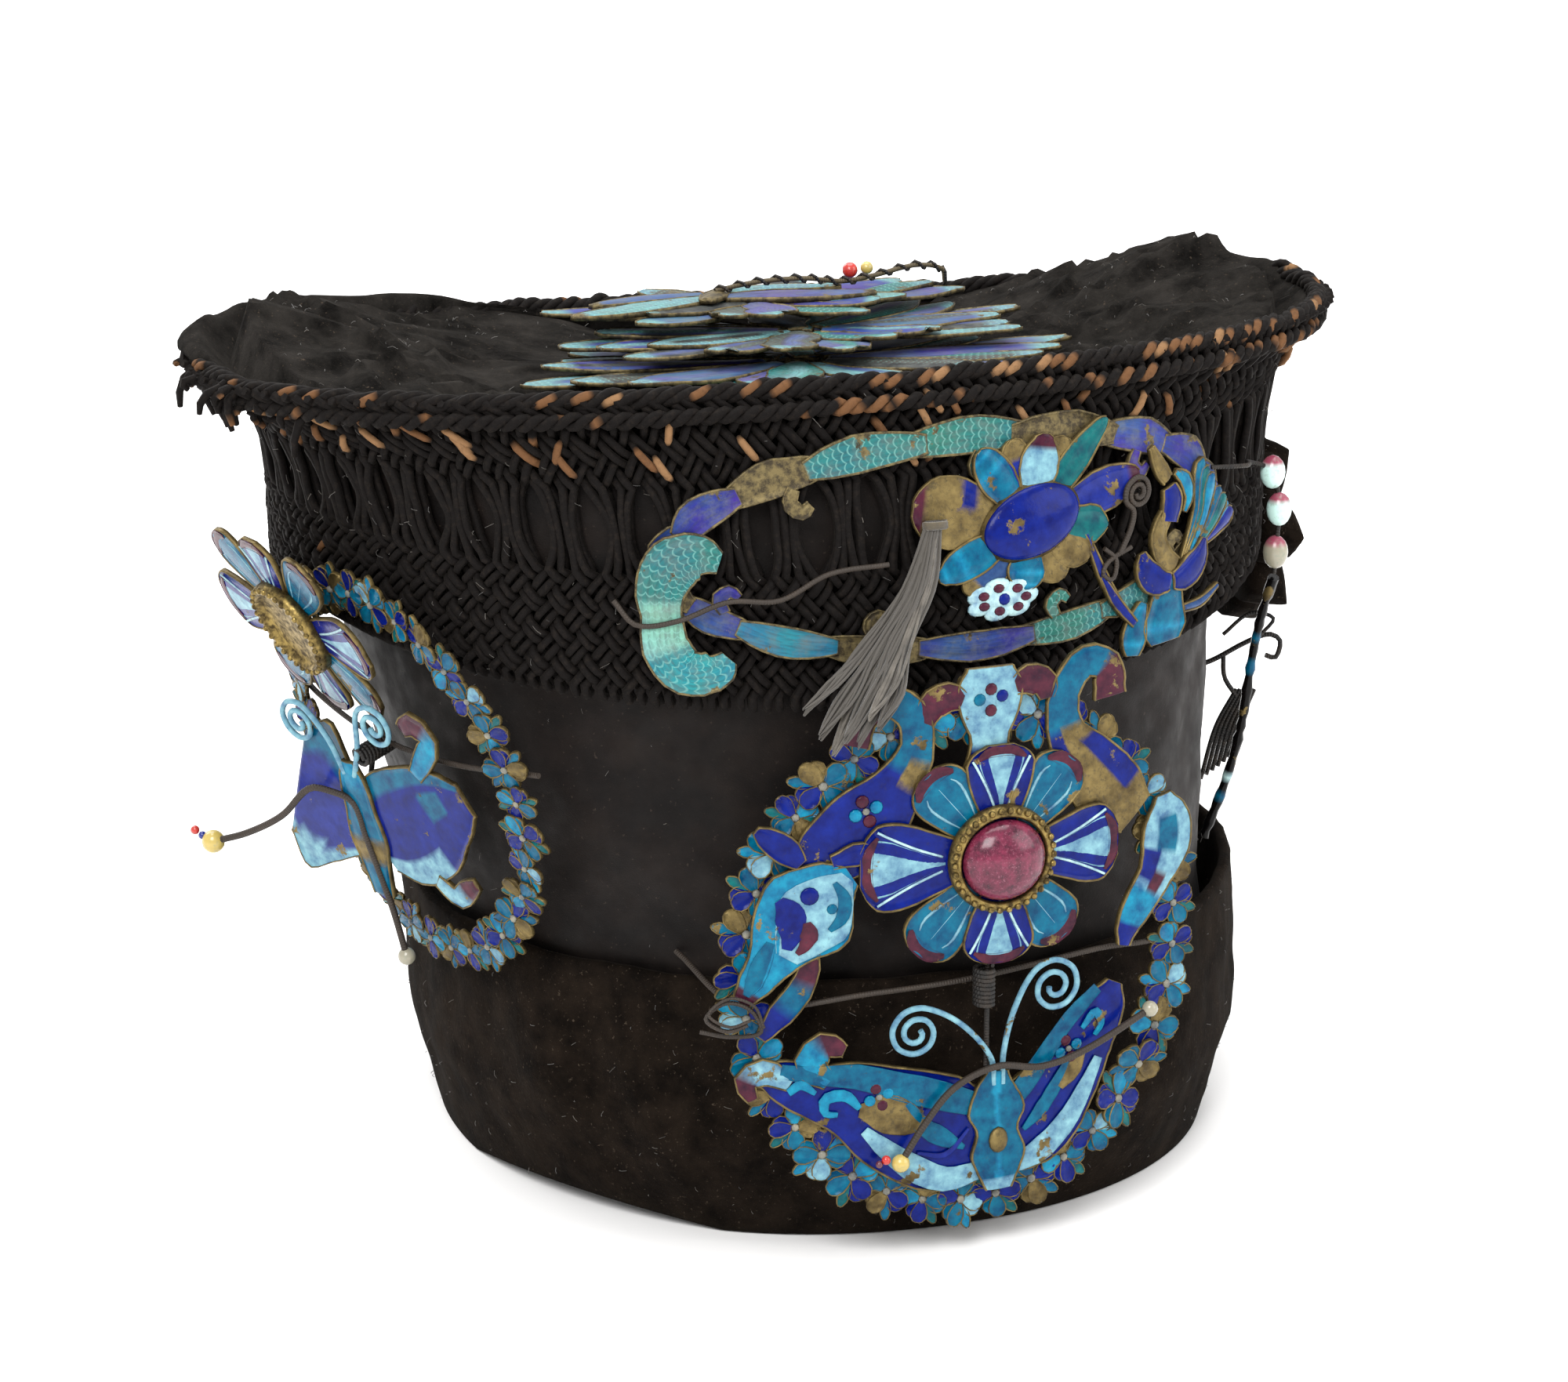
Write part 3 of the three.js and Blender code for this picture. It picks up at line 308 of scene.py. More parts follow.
class BasketPanel:
    """Sheet wrapped round the basket wall; across is the arc length at the given rise."""

    def __init__(self, angle: float, rise: float, off: float) -> None:
        """Args: angle: degrees; rise: share of the basket's height; off: way off the wall."""
        self.rise, self.off = rise, off
        self.turns, self.track = arc_table(FORM.basket_ring(rise))
        self.start = float(np.interp(math.radians(angle), self.turns, self.track))

    def __call__(self, u: float, v: float, w: float = 0.0) -> Vector:
        """Spot on the panel."""
        turn = float(np.interp((self.start + u) % self.track[-1], self.track, self.turns))
        ring = FORM.basket_ring(self.rise)
        along = ring.point(turn + 0.02) - ring.point(turn - 0.02)
        upward = FORM.basket_ring(0.9).point(turn) - FORM.basket_ring(0).point(turn)
        level = self.rise + v / upward.length * 0.9
        spot = FORM.basket_ring(level).point(turn)
        return spot + along.cross(upward).normalized() * (self.off + w)


# Meshes


def catmull(rows: Sequence[Row], count: int, ends_close: bool = False) -> np.ndarray:
    """Smooth curve through rows of numbers, resampled.

    Args:
        rows: places, with any further columns; the first two or three set the spacing.
        count: how many samples.
        ends_close: crowds the samples towards both ends.

    Returns:
        An array of count rows.
    """
    data = np.array(rows, dtype=float)
    gaps = np.linalg.norm(np.diff(data[:, :2], axis=0), axis=1)
    if data.shape[1] == 3:
        gaps = np.linalg.norm(np.diff(data, axis=0), axis=1)
    knots = np.concatenate([[0], np.cumsum(np.maximum(gaps, 1e-6))])
    share = np.linspace(0, 1, count)
    if ends_close:
        share = 0.5 - 0.5 * np.cos(math.pi * share)
    goal = share * knots[-1]
    slopes = np.empty_like(data)
    slopes[0] = (data[1] - data[0]) / (knots[1] - knots[0])
    slopes[-1] = (data[-1] - data[-2]) / (knots[-1] - knots[-2])
    for i in range(1, len(data) - 1):
        slopes[i] = (data[i + 1] - data[i - 1]) / (knots[i + 1] - knots[i - 1])
    result = []
    for g in goal:
        i = min(max(int(np.searchsorted(knots, g)) - 1, 0), len(data) - 2)
        h = knots[i + 1] - knots[i]
        t = (g - knots[i]) / h
        result.append((2 * t ** 3 - 3 * t ** 2 + 1) * data[i]
                      + (t ** 3 - 2 * t ** 2 + t) * h * slopes[i]
                      + (-2 * t ** 3 + 3 * t ** 2) * data[i + 1]
                      + (t ** 3 - t ** 2) * h * slopes[i + 1])
    return np.array(result)


@dataclass
class Draft:
    """Mesh being made: points in the maker's frame, each with its colour, gilding and grain."""

    points: list = field(default_factory=list)
    faces: list = field(default_factory=list)
    tints: list = field(default_factory=list)
    gilts: list = field(default_factory=list)
    grain: list = field(default_factory=list)

    def add(self, point: Vector, tint: Tint = Tint.DARK,
            grain: tuple[float, float] = (0, 0)) -> int:
        """Adds a point and returns its index."""
        self.points.append(point)
        self.tints.append(tint.rgba)
        self.gilts.append(tint.gilded)
        self.grain.append(grain)
        return len(self.points) - 1

    def loft(self, rings: list[list[int]], looped: bool = False) -> None:
        """Closed skin of quads over rings of point indices.

        Args:
            rings: lists of equal length.
            looped: joins the last ring to the first, where the two would else be capped.
        """
        pairs = list(zip(rings, rings[1:])) + ([(rings[-1], rings[0])] if looped else [])
        for near, far in pairs:
            for i in range(len(near)):
                j = (i + 1) % len(near)
                self.faces.append((near[i], near[j], far[j], far[i]))
        if not looped:
            self.faces += [tuple(reversed(rings[0])), tuple(rings[-1])]

    def build(self, name: str, material: bpy.types.Material) -> bpy.types.Object:
        """Smooth mesh object in metres with its faces pointing out."""
        mesh = bpy.data.meshes.new(name)
        mesh.from_pydata([place(Vector(p)) for p in self.points], [], self.faces)
        mesh.update()
        tint = mesh.attributes.new("tint", "FLOAT_COLOR", "POINT")
        tint.data.foreach_set("color", np.array(self.tints, dtype=np.float32).ravel())
        gilt = mesh.attributes.new("gilt", "FLOAT", "POINT")
        gilt.data.foreach_set("value", np.array(self.gilts, dtype=np.float32))
        layer = mesh.uv_layers.new(name="grain")
        loops = np.empty(len(mesh.loops), dtype=np.int32)
        mesh.loops.foreach_get("vertex_index", loops)
        layer.data.foreach_set("uv", np.array(self.grain, dtype=np.float32)[loops].ravel())
        fix_normals(mesh)
        mesh.polygons.foreach_set("use_smooth", [True] * len(mesh.polygons))
        mesh.materials.append(material)
        piece = bpy.data.objects.new(name, mesh)
        bpy.context.scene.collection.objects.link(piece)
        return piece


def fix_normals(mesh: bpy.types.Mesh) -> None:
    """Turns every face outwards."""
    work = bmesh.new()
    work.from_mesh(mesh)
    bmesh.ops.recalc_face_normals(work, faces=work.faces)
    work.to_mesh(mesh)
    work.free()


@dataclass(frozen=True)
class Zone:
    """Patch of one colour on a blade, as shares along it and across it."""

    tint: Tint
    along: tuple[float, float] = (0, 1)
    across: tuple[float, float] = (-1, 1)

    def holds(self, t: float, s: float) -> bool:
        """Whether a spot lies in the patch."""
        return self.along[0] <= t <= self.along[1] and self.across[0] <= s <= self.across[1]


@dataclass(frozen=True)
class Glaze:
    """Patches of colour laid over each other; the last that holds a spot wins."""

    zones: tuple[Zone, ...]

    def at(self, t: float, s: float) -> Tint:
        """Colour of a spot."""
        return next((z.tint for z in reversed(self.zones) if z.holds(t, s)), self.zones[0].tint)


def plain(tint: Tint, tip: Tint | None = None, from_: float = 0.84) -> Glaze:
    """One colour, with another at the tip."""
    zones = (Zone(tint),) + ((Zone(tip, (from_, 1)),) if tip else ())
    return Glaze(zones)


RIBBED = Glaze(tuple([Zone(Tint.TURQUOISE)]
                     + [Zone(Tint.SKY, (k / 8, k / 8 + 0.05)) for k in range(1, 8)]))


@dataclass(frozen=True)
class Plate:
    """How a plate is made: metal thickness, swell of its filling and width of its bare rim."""

    thick: float = 1.0
    dome: float = 0.35
    rim: float = 0.42
    stations: int = 19
    inner: int = 9


def blade(draft: Draft, panel: Panel, rows: Sequence[Row], out: float, glaze: Glaze,
          plate: Plate = Plate()) -> None:
    """Leaf-shaped plate along a centre line, with a bare metal rim round a swollen filling.

    Args:
        draft: mesh to add to.
        panel: sheet that it lies on.
        rows: across, up, width and, where wanted, lift.
        out: way of its back off the panel.
        glaze: colours along and across it.
        plate: its make.
    """
    full = [tuple(row) + (0.0,) * (4 - len(row)) for row in rows]
    spine = catmull(full, plate.stations, ends_close=True)
    reach = float(np.sum(np.linalg.norm(np.diff(spine[:, :2], axis=0), axis=1)))
    rings = []
    last = len(spine) - 1
    for i, (u, v, width, lift) in enumerate(spine):
        before, after = spine[max(i - 1, 0)], spine[min(i + 1, last)]
        du, dv = after[0] - before[0], after[1] - before[1]
        length = math.hypot(du, dv) or 1.0
        nu, nv = -dv / length, du / length
        ragged = noise.noise(Vector((u * 0.7, v * 0.7, width))) * 0.22 if width > 3 else 0.0
        half = max(width, 0.3) / 2 + ragged
        rim = min(0.5, plate.rim / half) if plate.rim else 0.0
        end = i in (0, last) and plate.rim > 0
        cuts = [(-1, 0.0, True), (-1, plate.thick, True)]
        if rim:
            cuts += [(-1 + rim * 0.5, plate.thick + 0.14, True), (-1 + rim, plate.thick, True)]
        reach_in = 1 - rim * 1.15 if rim else 0.92
        for k in range(plate.inner):
            s = -reach_in + 2 * reach_in * k / (plate.inner - 1)
            swell = plate.dome * (1 - (s / reach_in) ** 2) ** 0.6 if abs(s) < reach_in else 0.0
            cuts.append((s, plate.thick - 0.12 + (0 if end else swell), False))
        if rim:
            cuts += [(1 - rim, plate.thick, True), (1 - rim * 0.5, plate.thick + 0.14, True)]
        cuts += [(1, plate.thick, True), (1, 0.0, True)]
        t = 0.5 - 0.5 * math.cos(math.pi * i / last)
        ring = []
        for s, height, bare in cuts:
            spot = panel(u + nu * s * half, v + nv * s * half, out + lift + height)
            colour = Tint.GILT if (bare or end) and plate.rim else glaze.at(t, s)
            ring.append(draft.add(spot, colour, grain=(s * half, t * reach)))
        rings.append(ring)
    draft.loft(rings)


def inlay(draft: Draft, panel: Panel, rows: Sequence[Row], out: float, tint: Tint,
          stations: int = 16) -> None:
    """Patch of one colour laid on a plate, with crisp edges.

    Args:
        draft: mesh to add to.
        panel: sheet that it lies on.
        rows: across, up, width.
        out: way of the plate's top off the panel.
        tint: its colour.
        stations: samples along it.
    """
    blade(draft, panel, rows, out, plain(tint),
          Plate(thick=0.2, dome=0.14, rim=0.0, stations=stations, inner=5))


def petal_spot(centre: Row, angle: float, along: float, aside: float) -> tuple[float, float]:
    """Spot at a way along and aside of a petal's middle line."""
    c, s = math.cos(math.radians(angle)), math.sin(math.radians(angle))
    return centre[0] + along * c - aside * s, centre[1] + along * s + aside * c


def fan_rows(centre: Row, angle: float, reach: float, width: float) -> list[Row]:
    """Rows of a broad lotus petal with a blunt tip.

    Args:
        centre: heart.
        angle: bearing in degrees.
        reach: length from the heart to the tip.
        width: greatest width.
    """
    c, s = math.cos(math.radians(angle)), math.sin(math.radians(angle))
    shape = ((0.25, 0.42), (0.45, 0.7), (0.68, 0.95), (0.84, 1.0), (0.94, 0.78), (1, 0.4))
    return [(centre[0] + reach * share * c, centre[1] + reach * share * s, width * wide) for share,
            wide in shape]


def petal_rows(centre: Row, angle: float, reach: float, width: float, foot: float = 0.2,
               squash: float = 1.0, belly: float = 0.7, lift: float = 0.0) -> list[Row]:
    """Rows of a round-tipped petal that grows out of a heart.

    Args:
        centre: heart.
        angle: bearing in degrees.
        reach: length from the heart to the tip.
        width: greatest width.
        foot: share of the reach where it starts.
        squash: share that upward lengths keep.
        belly: share of the reach where it is widest.
        lift: how far the tip stands up.
    """
    c, s = math.cos(math.radians(angle)), math.sin(math.radians(angle)) * squash
    shape = ((foot, 0.4, 0), (0.5 * (foot + belly), 0.8, 0.1), (belly, 1, 0.3),
             (0.5 * (1 + belly), 0.9, 0.6), (0.96, 0.5, 0.9), (1, 0.22, 1))
    return [(centre[0] + reach * share * c, centre[1] + reach * share * s, width * wide, lift * up)
            for share, wide, up in shape]


def knob(draft: Draft, panel: Panel, centre: Row, radius: float, height: float, tint: Tint,
         oval: tuple[float, float] = (1, 1), sides: int = 12, levels: int = 5,
         turn: float = 0.0) -> None:
    """Low dome on a panel.

    Args:
        draft: mesh to add to.
        panel: sheet that it lies on.
        centre: across, up, out of its foot.
        radius: of its foot.
        height: of its top.
        tint: its colour.
        oval: stretches along and across its long axis.
        sides: points round it.
        levels: rings up it.
        turn: bearing of its long axis in degrees.
    """
    ct, st = math.cos(math.radians(turn)), math.sin(math.radians(turn))
    rings = []
    for level in range(levels):
        lean = math.pi / 2 * level / (levels - 0.35)
        r, w = radius * math.cos(lean), height * math.sin(lean)
        ring = []
        for i in range(sides):
            a = math.tau * i / sides
            x, y = r * math.cos(a) * oval[0], r * math.sin(a) * oval[1]
            ring.append(draft.add(panel(centre[0] + x * ct - y * st, centre[1] + x * st + y * ct,
                                        centre[2] + w), tint, grain=(x, y)))
        rings.append(ring)
    draft.loft(rings)


def bead(draft: Draft, centre: Vector, radius: float, tint: Tint, tall: float = 1.0,
         tip: Tint | None = None, sides: int = 12) -> None:
    """Closed round bead in the open, with an upright axis.

    Args:
        draft: mesh to add to.
        centre: its middle.
        radius: its half width.
        tint: its colour.
        tall: height as a share of the width.
        tip: colour of its upper end.
        sides: points round it.
    """
    rings = []
    levels = 9
    for level in range(levels):
        lean = -math.pi / 2 + math.pi * (level + 0.35) / (levels - 0.3)
        r, z = radius * math.cos(lean), radius * tall * math.sin(lean)
        colour = tip if tip and level >= levels - 3 else tint
        rings.append([draft.add(centre + Vector((r * math.cos(a), r * math.sin(a), z)), colour)
                      for a in (math.tau * i / sides for i in range(sides))])
    draft.loft(rings)


# Node trees


def add_node(tree: bpy.types.NodeTree, kind: str, inputs: dict | None = None,
             **settings: object) -> bpy.types.Node:
    """Adds a node with its settings, values and links.

    Args:
        tree: tree that it goes into.
        kind: its type name.
        inputs: values or output sockets by socket name or index.
        settings: its own properties.
    """
    node = tree.nodes.new(kind)
    for name, value in settings.items():
        setattr(node, name, value)
    for key, value in (inputs or {}).items():
        socket = node.inputs[key]
        if isinstance(value, bpy.types.NodeSocket):
            tree.links.new(value, socket)
        else:
            socket.default_value = value
    return node


class SweepTree:
    """Geometry Nodes tree that turns edges into round cords of a stored thickness."""

    def __init__(self) -> None:
        """Builds the tree."""
        tree = bpy.data.node_groups.new("cord_sweep", "GeometryNodeTree")
        face = tree.interface
        face.new_socket("Geometry", in_out="INPUT", socket_type="NodeSocketGeometry")
        self.sides = face.new_socket("Cord Sides", in_out="INPUT",
                                     socket_type="NodeSocketInt").identifier
        self.finish = face.new_socket("Cord Finish", in_out="INPUT",
                                      socket_type="NodeSocketMaterial").identifier
        face.new_socket("Geometry", in_out="OUTPUT", socket_type="NodeSocketGeometry")
        given = add_node(tree, "NodeGroupInput")
        thick = add_node(tree, "GeometryNodeInputNamedAttribute", {"Name": "thickness"},
                         data_type="FLOAT")
        curve = add_node(tree, "GeometryNodeMeshToCurve", {"Mesh": given.outputs["Geometry"]})
        spline = add_node(tree, "GeometryNodeSplineParameter")
        along = add_node(tree, "GeometryNodeStoreNamedAttribute", {
            "Geometry": curve.outputs["Curve"], "Name": "along", "Value": spline.outputs["Length"]},
            data_type="FLOAT", domain="POINT")
        ring = add_node(tree, "GeometryNodeCurvePrimitiveCircle", {
            "Resolution": given.outputs["Cord Sides"], "Radius": 1.0})
        round_ = add_node(tree, "GeometryNodeSplineParameter")
        rim = add_node(tree, "GeometryNodeStoreNamedAttribute", {
            "Geometry": ring.outputs["Curve"], "Name": "round", "Value": round_.outputs["Factor"]},
            data_type="FLOAT", domain="POINT")
        tube = add_node(tree, "GeometryNodeCurveToMesh", {
            "Curve": along.outputs["Geometry"], "Profile Curve": rim.outputs["Geometry"],
            "Scale": thick.outputs["Attribute"], "Fill Caps": True})
        soft = add_node(tree, "GeometryNodeSetShadeSmooth", {"Geometry": tube.outputs["Mesh"]})
        real = add_node(tree, "GeometryNodeRealizeInstances",
                        {"Geometry": soft.outputs["Geometry"]})
        done = add_node(tree, "GeometryNodeSetMaterial", {
            "Geometry": real.outputs["Geometry"], "Material": given.outputs["Cord Finish"]})
        add_node(tree, "NodeGroupOutput", {"Geometry": done.outputs["Geometry"]})
        self.tree = tree


class ScatterTree:
    """Geometry Nodes tree that copies a small piece to points that hold their turn and size."""

    def __init__(self) -> None:
        """Builds the tree."""
        tree = bpy.data.node_groups.new("copies_on_points", "GeometryNodeTree")
        face = tree.interface
        face.new_socket("Geometry", in_out="INPUT", socket_type="NodeSocketGeometry")
        self.copy = face.new_socket("Copied Piece", in_out="INPUT",
                                    socket_type="NodeSocketObject").identifier
        self.spread = face.new_socket("Size Spread", in_out="INPUT",
                                      socket_type="NodeSocketFloat").identifier
        self.seed = face.new_socket("Seed", in_out="INPUT", socket_type="NodeSocketInt").identifier
        self.finish = face.new_socket("Finish", in_out="INPUT",
                                      socket_type="NodeSocketMaterial").identifier
        face.new_socket("Geometry", in_out="OUTPUT", socket_type="NodeSocketGeometry")
        given = add_node(tree, "NodeGroupInput")
        turn = add_node(tree, "GeometryNodeInputNamedAttribute", {"Name": "turn"},
                        data_type="FLOAT_VECTOR")
        facing = add_node(tree, "FunctionNodeEulerToRotation", {"Euler": turn.outputs["Attribute"]})
        size = add_node(tree, "GeometryNodeInputNamedAttribute", {"Name": "size"},
                        data_type="FLOAT_VECTOR")
        low = add_node(tree, "ShaderNodeMath", {0: 1.0, 1: given.outputs["Size Spread"]},
                       operation="SUBTRACT")
        high = add_node(tree, "ShaderNodeMath", {0: 1.0, 1: given.outputs["Size Spread"]},
                        operation="ADD")
        pick = add_node(tree, "FunctionNodeRandomValue", {
            2: low.outputs[0], 3: high.outputs[0], "Seed": given.outputs["Seed"]},
            data_type="FLOAT")
        grown = add_node(tree, "ShaderNodeVectorMath", {
            0: size.outputs["Attribute"], "Scale": pick.outputs[1]}, operation="SCALE")
        piece = add_node(tree, "GeometryNodeObjectInfo", {"Object": given.outputs["Copied Piece"]},
                         transform_space="ORIGINAL")
        put = add_node(tree, "GeometryNodeInstanceOnPoints", {
            "Points": given.outputs["Geometry"], "Instance": piece.outputs["Geometry"],
            "Rotation": facing.outputs["Rotation"], "Scale": grown.outputs["Vector"]})
        real = add_node(tree, "GeometryNodeRealizeInstances",
                        {"Geometry": put.outputs["Instances"]})
        done = add_node(tree, "GeometryNodeSetMaterial", {
            "Geometry": real.outputs["Geometry"], "Material": given.outputs["Finish"]})
        add_node(tree, "NodeGroupOutput", {"Geometry": done.outputs["Geometry"]})
        self.tree = tree


@dataclass
class Strand:
    """One cord or wire: its route, thickness and colours."""

    route: list[Vector]
    radius: float | Sequence[float]
    tint: Tint | Sequence[Tint] = Tint.CORD


@dataclass
class Spot:
    """Where one copy goes: place, turn and size in millimetres."""

    at: Vector
    turn: Euler
    size: Row = (1, 1, 1)


class Workshop:
    """Makes finished mesh objects out of strands, drafts and copies."""

    def __init__(self) -> None:
        """Builds the two trees."""
        self.sweeps = SweepTree()
        self.copies = ScatterTree()

    @staticmethod
    def settle(source: bpy.types.Object, name: str) -> bpy.types.Object:
        """Plain mesh object of what a piece's modifiers make; the source goes."""
        graph = bpy.context.evaluated_depsgraph_get()
        mesh = bpy.data.meshes.new_from_object(source.evaluated_get(graph))
        bpy.data.objects.remove(source)
        mesh.name = name
        piece = bpy.data.objects.new(name, mesh)
        bpy.context.scene.collection.objects.link(piece)
        return piece

    def cords(self, name: str, strands: Sequence[Strand], material: bpy.types.Material,
              sides: int = 6) -> bpy.types.Object:
        """Round cords along strands, as one mesh."""
        points, edges, thick, tints = [], [], [], []
        for strand in strands:
            first = len(points)
            count = len(strand.route)
            points += [place(p) for p in strand.route]
            edges += [(first + i, first + i + 1) for i in range(count - 1)]
            radii = strand.radius if isinstance(strand.radius,
                                                (list, tuple)) else [strand.radius] * count
            thick += [r * MM for r in radii]
            colours = [strand.tint] * count if isinstance(strand.tint, Tint) else strand.tint
            tints += [c.rgba for c in colours]
        mesh = bpy.data.meshes.new(name + "_routes")
        mesh.from_pydata(points, edges, [])
        mesh.attributes.new("thickness", "FLOAT", "POINT").data.foreach_set("value", thick)
        mesh.attributes.new("tint", "FLOAT_COLOR", "POINT").data.foreach_set(
            "color", np.array(tints, dtype=np.float32).ravel())
        source = bpy.data.objects.new(name + "_routes", mesh)
        bpy.context.scene.collection.objects.link(source)
        live = source.modifiers.new("sweep", "NODES")
        live.node_group = self.sweeps.tree
        live[self.sweeps.sides] = sides
        live[self.sweeps.finish] = material
        return self.settle(source, name)

    def scattered(self, name: str, spots: Sequence[Spot], model: Draft,
                  material: bpy.types.Material, spread: float = 0.0,
                  seed: int = 1) -> bpy.types.Object:
        """Copies of a small piece drawn round the origin, as one mesh."""
        global SHIFT
        kept, SHIFT = SHIFT, Vector((0, 0, 0))
        copy = model.build(name + "_copy", material)
        SHIFT = kept
        mesh = bpy.data.meshes.new(name + "_spots")
        mesh.from_pydata([place(s.at) for s in spots], [], [])
        mesh.attributes.new("turn", "FLOAT_VECTOR", "POINT").data.foreach_set(
            "vector", [a for s in spots for a in s.turn])
        mesh.attributes.new("size", "FLOAT_VECTOR", "POINT").data.foreach_set(
            "vector", [a for s in spots for a in s.size])
        source = bpy.data.objects.new(name + "_spots", mesh)
        bpy.context.scene.collection.objects.link(source)
        live = source.modifiers.new("copies", "NODES")
        live.node_group = self.copies.tree
        live[self.copies.copy] = copy
        live[self.copies.spread] = spread
        live[self.copies.seed] = seed
        live[self.copies.finish] = material
        piece = self.settle(source, name)
        bpy.data.objects.remove(copy)
        return piece


def deliver(piece: bpy.types.Object, slot: str, *nodes: str) -> None:
    """Hands a finished piece to the model.

    Args:
        piece: finished object.
        slot: not used.
        nodes: solids that it stands for.
    """
    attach(piece, ROOT)
    if nodes:
        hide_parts(*nodes)
    piece.data.calc_loop_triangles()
    LOG.info("%s: %d triangles, for %s", piece.name, len(piece.data.loop_triangles),
             ", ".join(nodes) or "itself")


# Finishes


def start_material(name: str, values: dict[str, object]
                   ) -> tuple[bpy.types.Material, bpy.types.NodeTree, bpy.types.Node]:
    """Starts a material with one surface shader.

    Args:
        name: its stuff.
        values: plain values of the shader, by socket.

    Returns:
        The material, its tree and its shader.
    """
    material = bpy.data.materials.new(name)
    material.use_nodes = True
    tree = material.node_tree
    tree.nodes.clear()
    shader = add_node(tree, "ShaderNodeBsdfPrincipled", values)
    add_node(tree, "ShaderNodeOutputMaterial", {"Surface": shader.outputs[0]})
    return material, tree, shader


def noise_at(tree: bpy.types.NodeTree, size_mm: float, detail: float = 3.0,
             roughness: float = 0.5, stretch: tuple = (1, 1, 1)) -> bpy.types.NodeSocket:
    """Noise whose patches are about a size across, in object space."""
    where = add_node(tree, "ShaderNodeTexCoord")
    turn = add_node(tree, "ShaderNodeMapping",
                    {"Vector": where.outputs["Object"], "Scale": stretch})
    grain = add_node(tree, "ShaderNodeTexNoise", {
        "Vector": turn.outputs["Vector"], "Scale": 1 / (size_mm * MM), "Detail": detail,
        "Roughness": roughness})
    return grain.outputs["Fac"]


def stored(tree: bpy.types.NodeTree, name: str) -> bpy.types.NodeSocket:
    """Value that the mesh holds under a name: a colour for the tint, else a number."""
    output = "Color" if name == "tint" else "Fac"
    return add_node(tree, "ShaderNodeAttribute", attribute_name=name).outputs[output]


def ramp(tree: bpy.types.NodeTree, value: bpy.types.NodeSocket, low: float, high: float,
         out_low: float = 0.0, out_high: float = 1.0) -> bpy.types.NodeSocket:
    """Value moved from one range to another and held there."""
    return add_node(tree, "ShaderNodeMapRange", {
        "Value": value, "From Min": low, "From Max": high, "To Min": out_low,
        "To Max": out_high}).outputs[0]


def blend(tree: bpy.types.NodeTree, share: bpy.types.NodeSocket | float, first: object,
          second: object, mode: str = "MIX") -> bpy.types.NodeSocket:
    """Two colours mixed."""
    mix = add_node(tree, "ShaderNodeMix", {0: share, 6: first, 7: second}, data_type="RGBA",
                   blend_type=mode)
    return mix.outputs[2]


def bump(tree: bpy.types.NodeTree, shader: bpy.types.Node, height: bpy.types.NodeSocket,
         deep_mm: float, strength: float = 1.0) -> None:
    """Relief of a real depth."""
    relief = add_node(tree, "ShaderNodeBump", {
        "Height": height, "Distance": deep_mm * MM, "Strength": strength})
    tree.links.new(relief.outputs["Normal"], shader.inputs["Normal"])


@dataclass(frozen=True)
class SilkSatin:
    """Satin of reeled silk, gone brown with age: dark, with a soft shine and lighter brown mottling
    that is partly wear and partly a painted sheen highlight.
    """

    base: str = "#0b0807"
    # lighter brown of the mottling: worn silk, and also a painted sheen highlight
    worn: str = "#1a1411"
    thread_mm: float = 0.5

    def make(self) -> bpy.types.Material:
        """Material of the drum."""
        material, tree, shader = start_material("silk_satin", {
            "Sheen Weight": 0.02, "Sheen Roughness": 0.4, "Specular IOR Level": 0.12})
        # random lighter brown patches, partly wear and partly painted sheen highlight; the small
        # pale specks are lint
        patch = ramp(tree, noise_at(tree, 14, 5, 0.6), 0.35, 0.7)
        specks = ramp(tree, noise_at(tree, 0.9, 2), 0.68, 0.75, 0, 0.5)
        worn_and_highlight_tone = blend(tree, patch, srgb(self.base), srgb(self.worn))
        tree.links.new(blend(tree, specks, worn_and_highlight_tone, srgb("#3a322b")), shader.inputs["Base Color"])
        tree.links.new(ramp(tree, noise_at(tree, 6, 4), 0.3, 0.7, 0.5, 0.72),
                       shader.inputs["Roughness"])
        bump(tree, shader, noise_at(tree, self.thread_mm, 3, 0.6, (1, 1, 2.2)), 0.12, 0.7)
        return material


@dataclass(frozen=True)
class SilkVelvet:
    """Cut silk velvet: swallows light, with a grey bloom of lint at grazing angles."""

    base: str = "#0b0806"
    lint: str = "#29211a"
    dust: float = 0.6

    def make(self, name: str = "silk_velvet") -> bpy.types.Material:
        """Material of the cuff, crown and rosette."""
        material, tree, shader = start_material(name, {
            "Roughness": 0.92, "Sheen Weight": 0.05, "Sheen Roughness": 0.35,
            "Sheen Tint": srgb("#8d857c"), "Specular IOR Level": 0.03})
        lay = ramp(tree, noise_at(tree, 9, 5, 0.65), 0.35, 0.75, 0, self.dust)
        lint = ramp(tree, noise_at(tree, 0.8, 3, 0.7), 0.63, 0.72, 0, 0.8)
        pile = blend(tree, lay, srgb(self.base), srgb(self.lint))
        tree.links.new(blend(tree, lint, pile, srgb("#453c33")), shader.inputs["Base Color"])
        bump(tree, shader, noise_at(tree, 1.1, 5, 0.75), 0.5, 0.8)
        return material


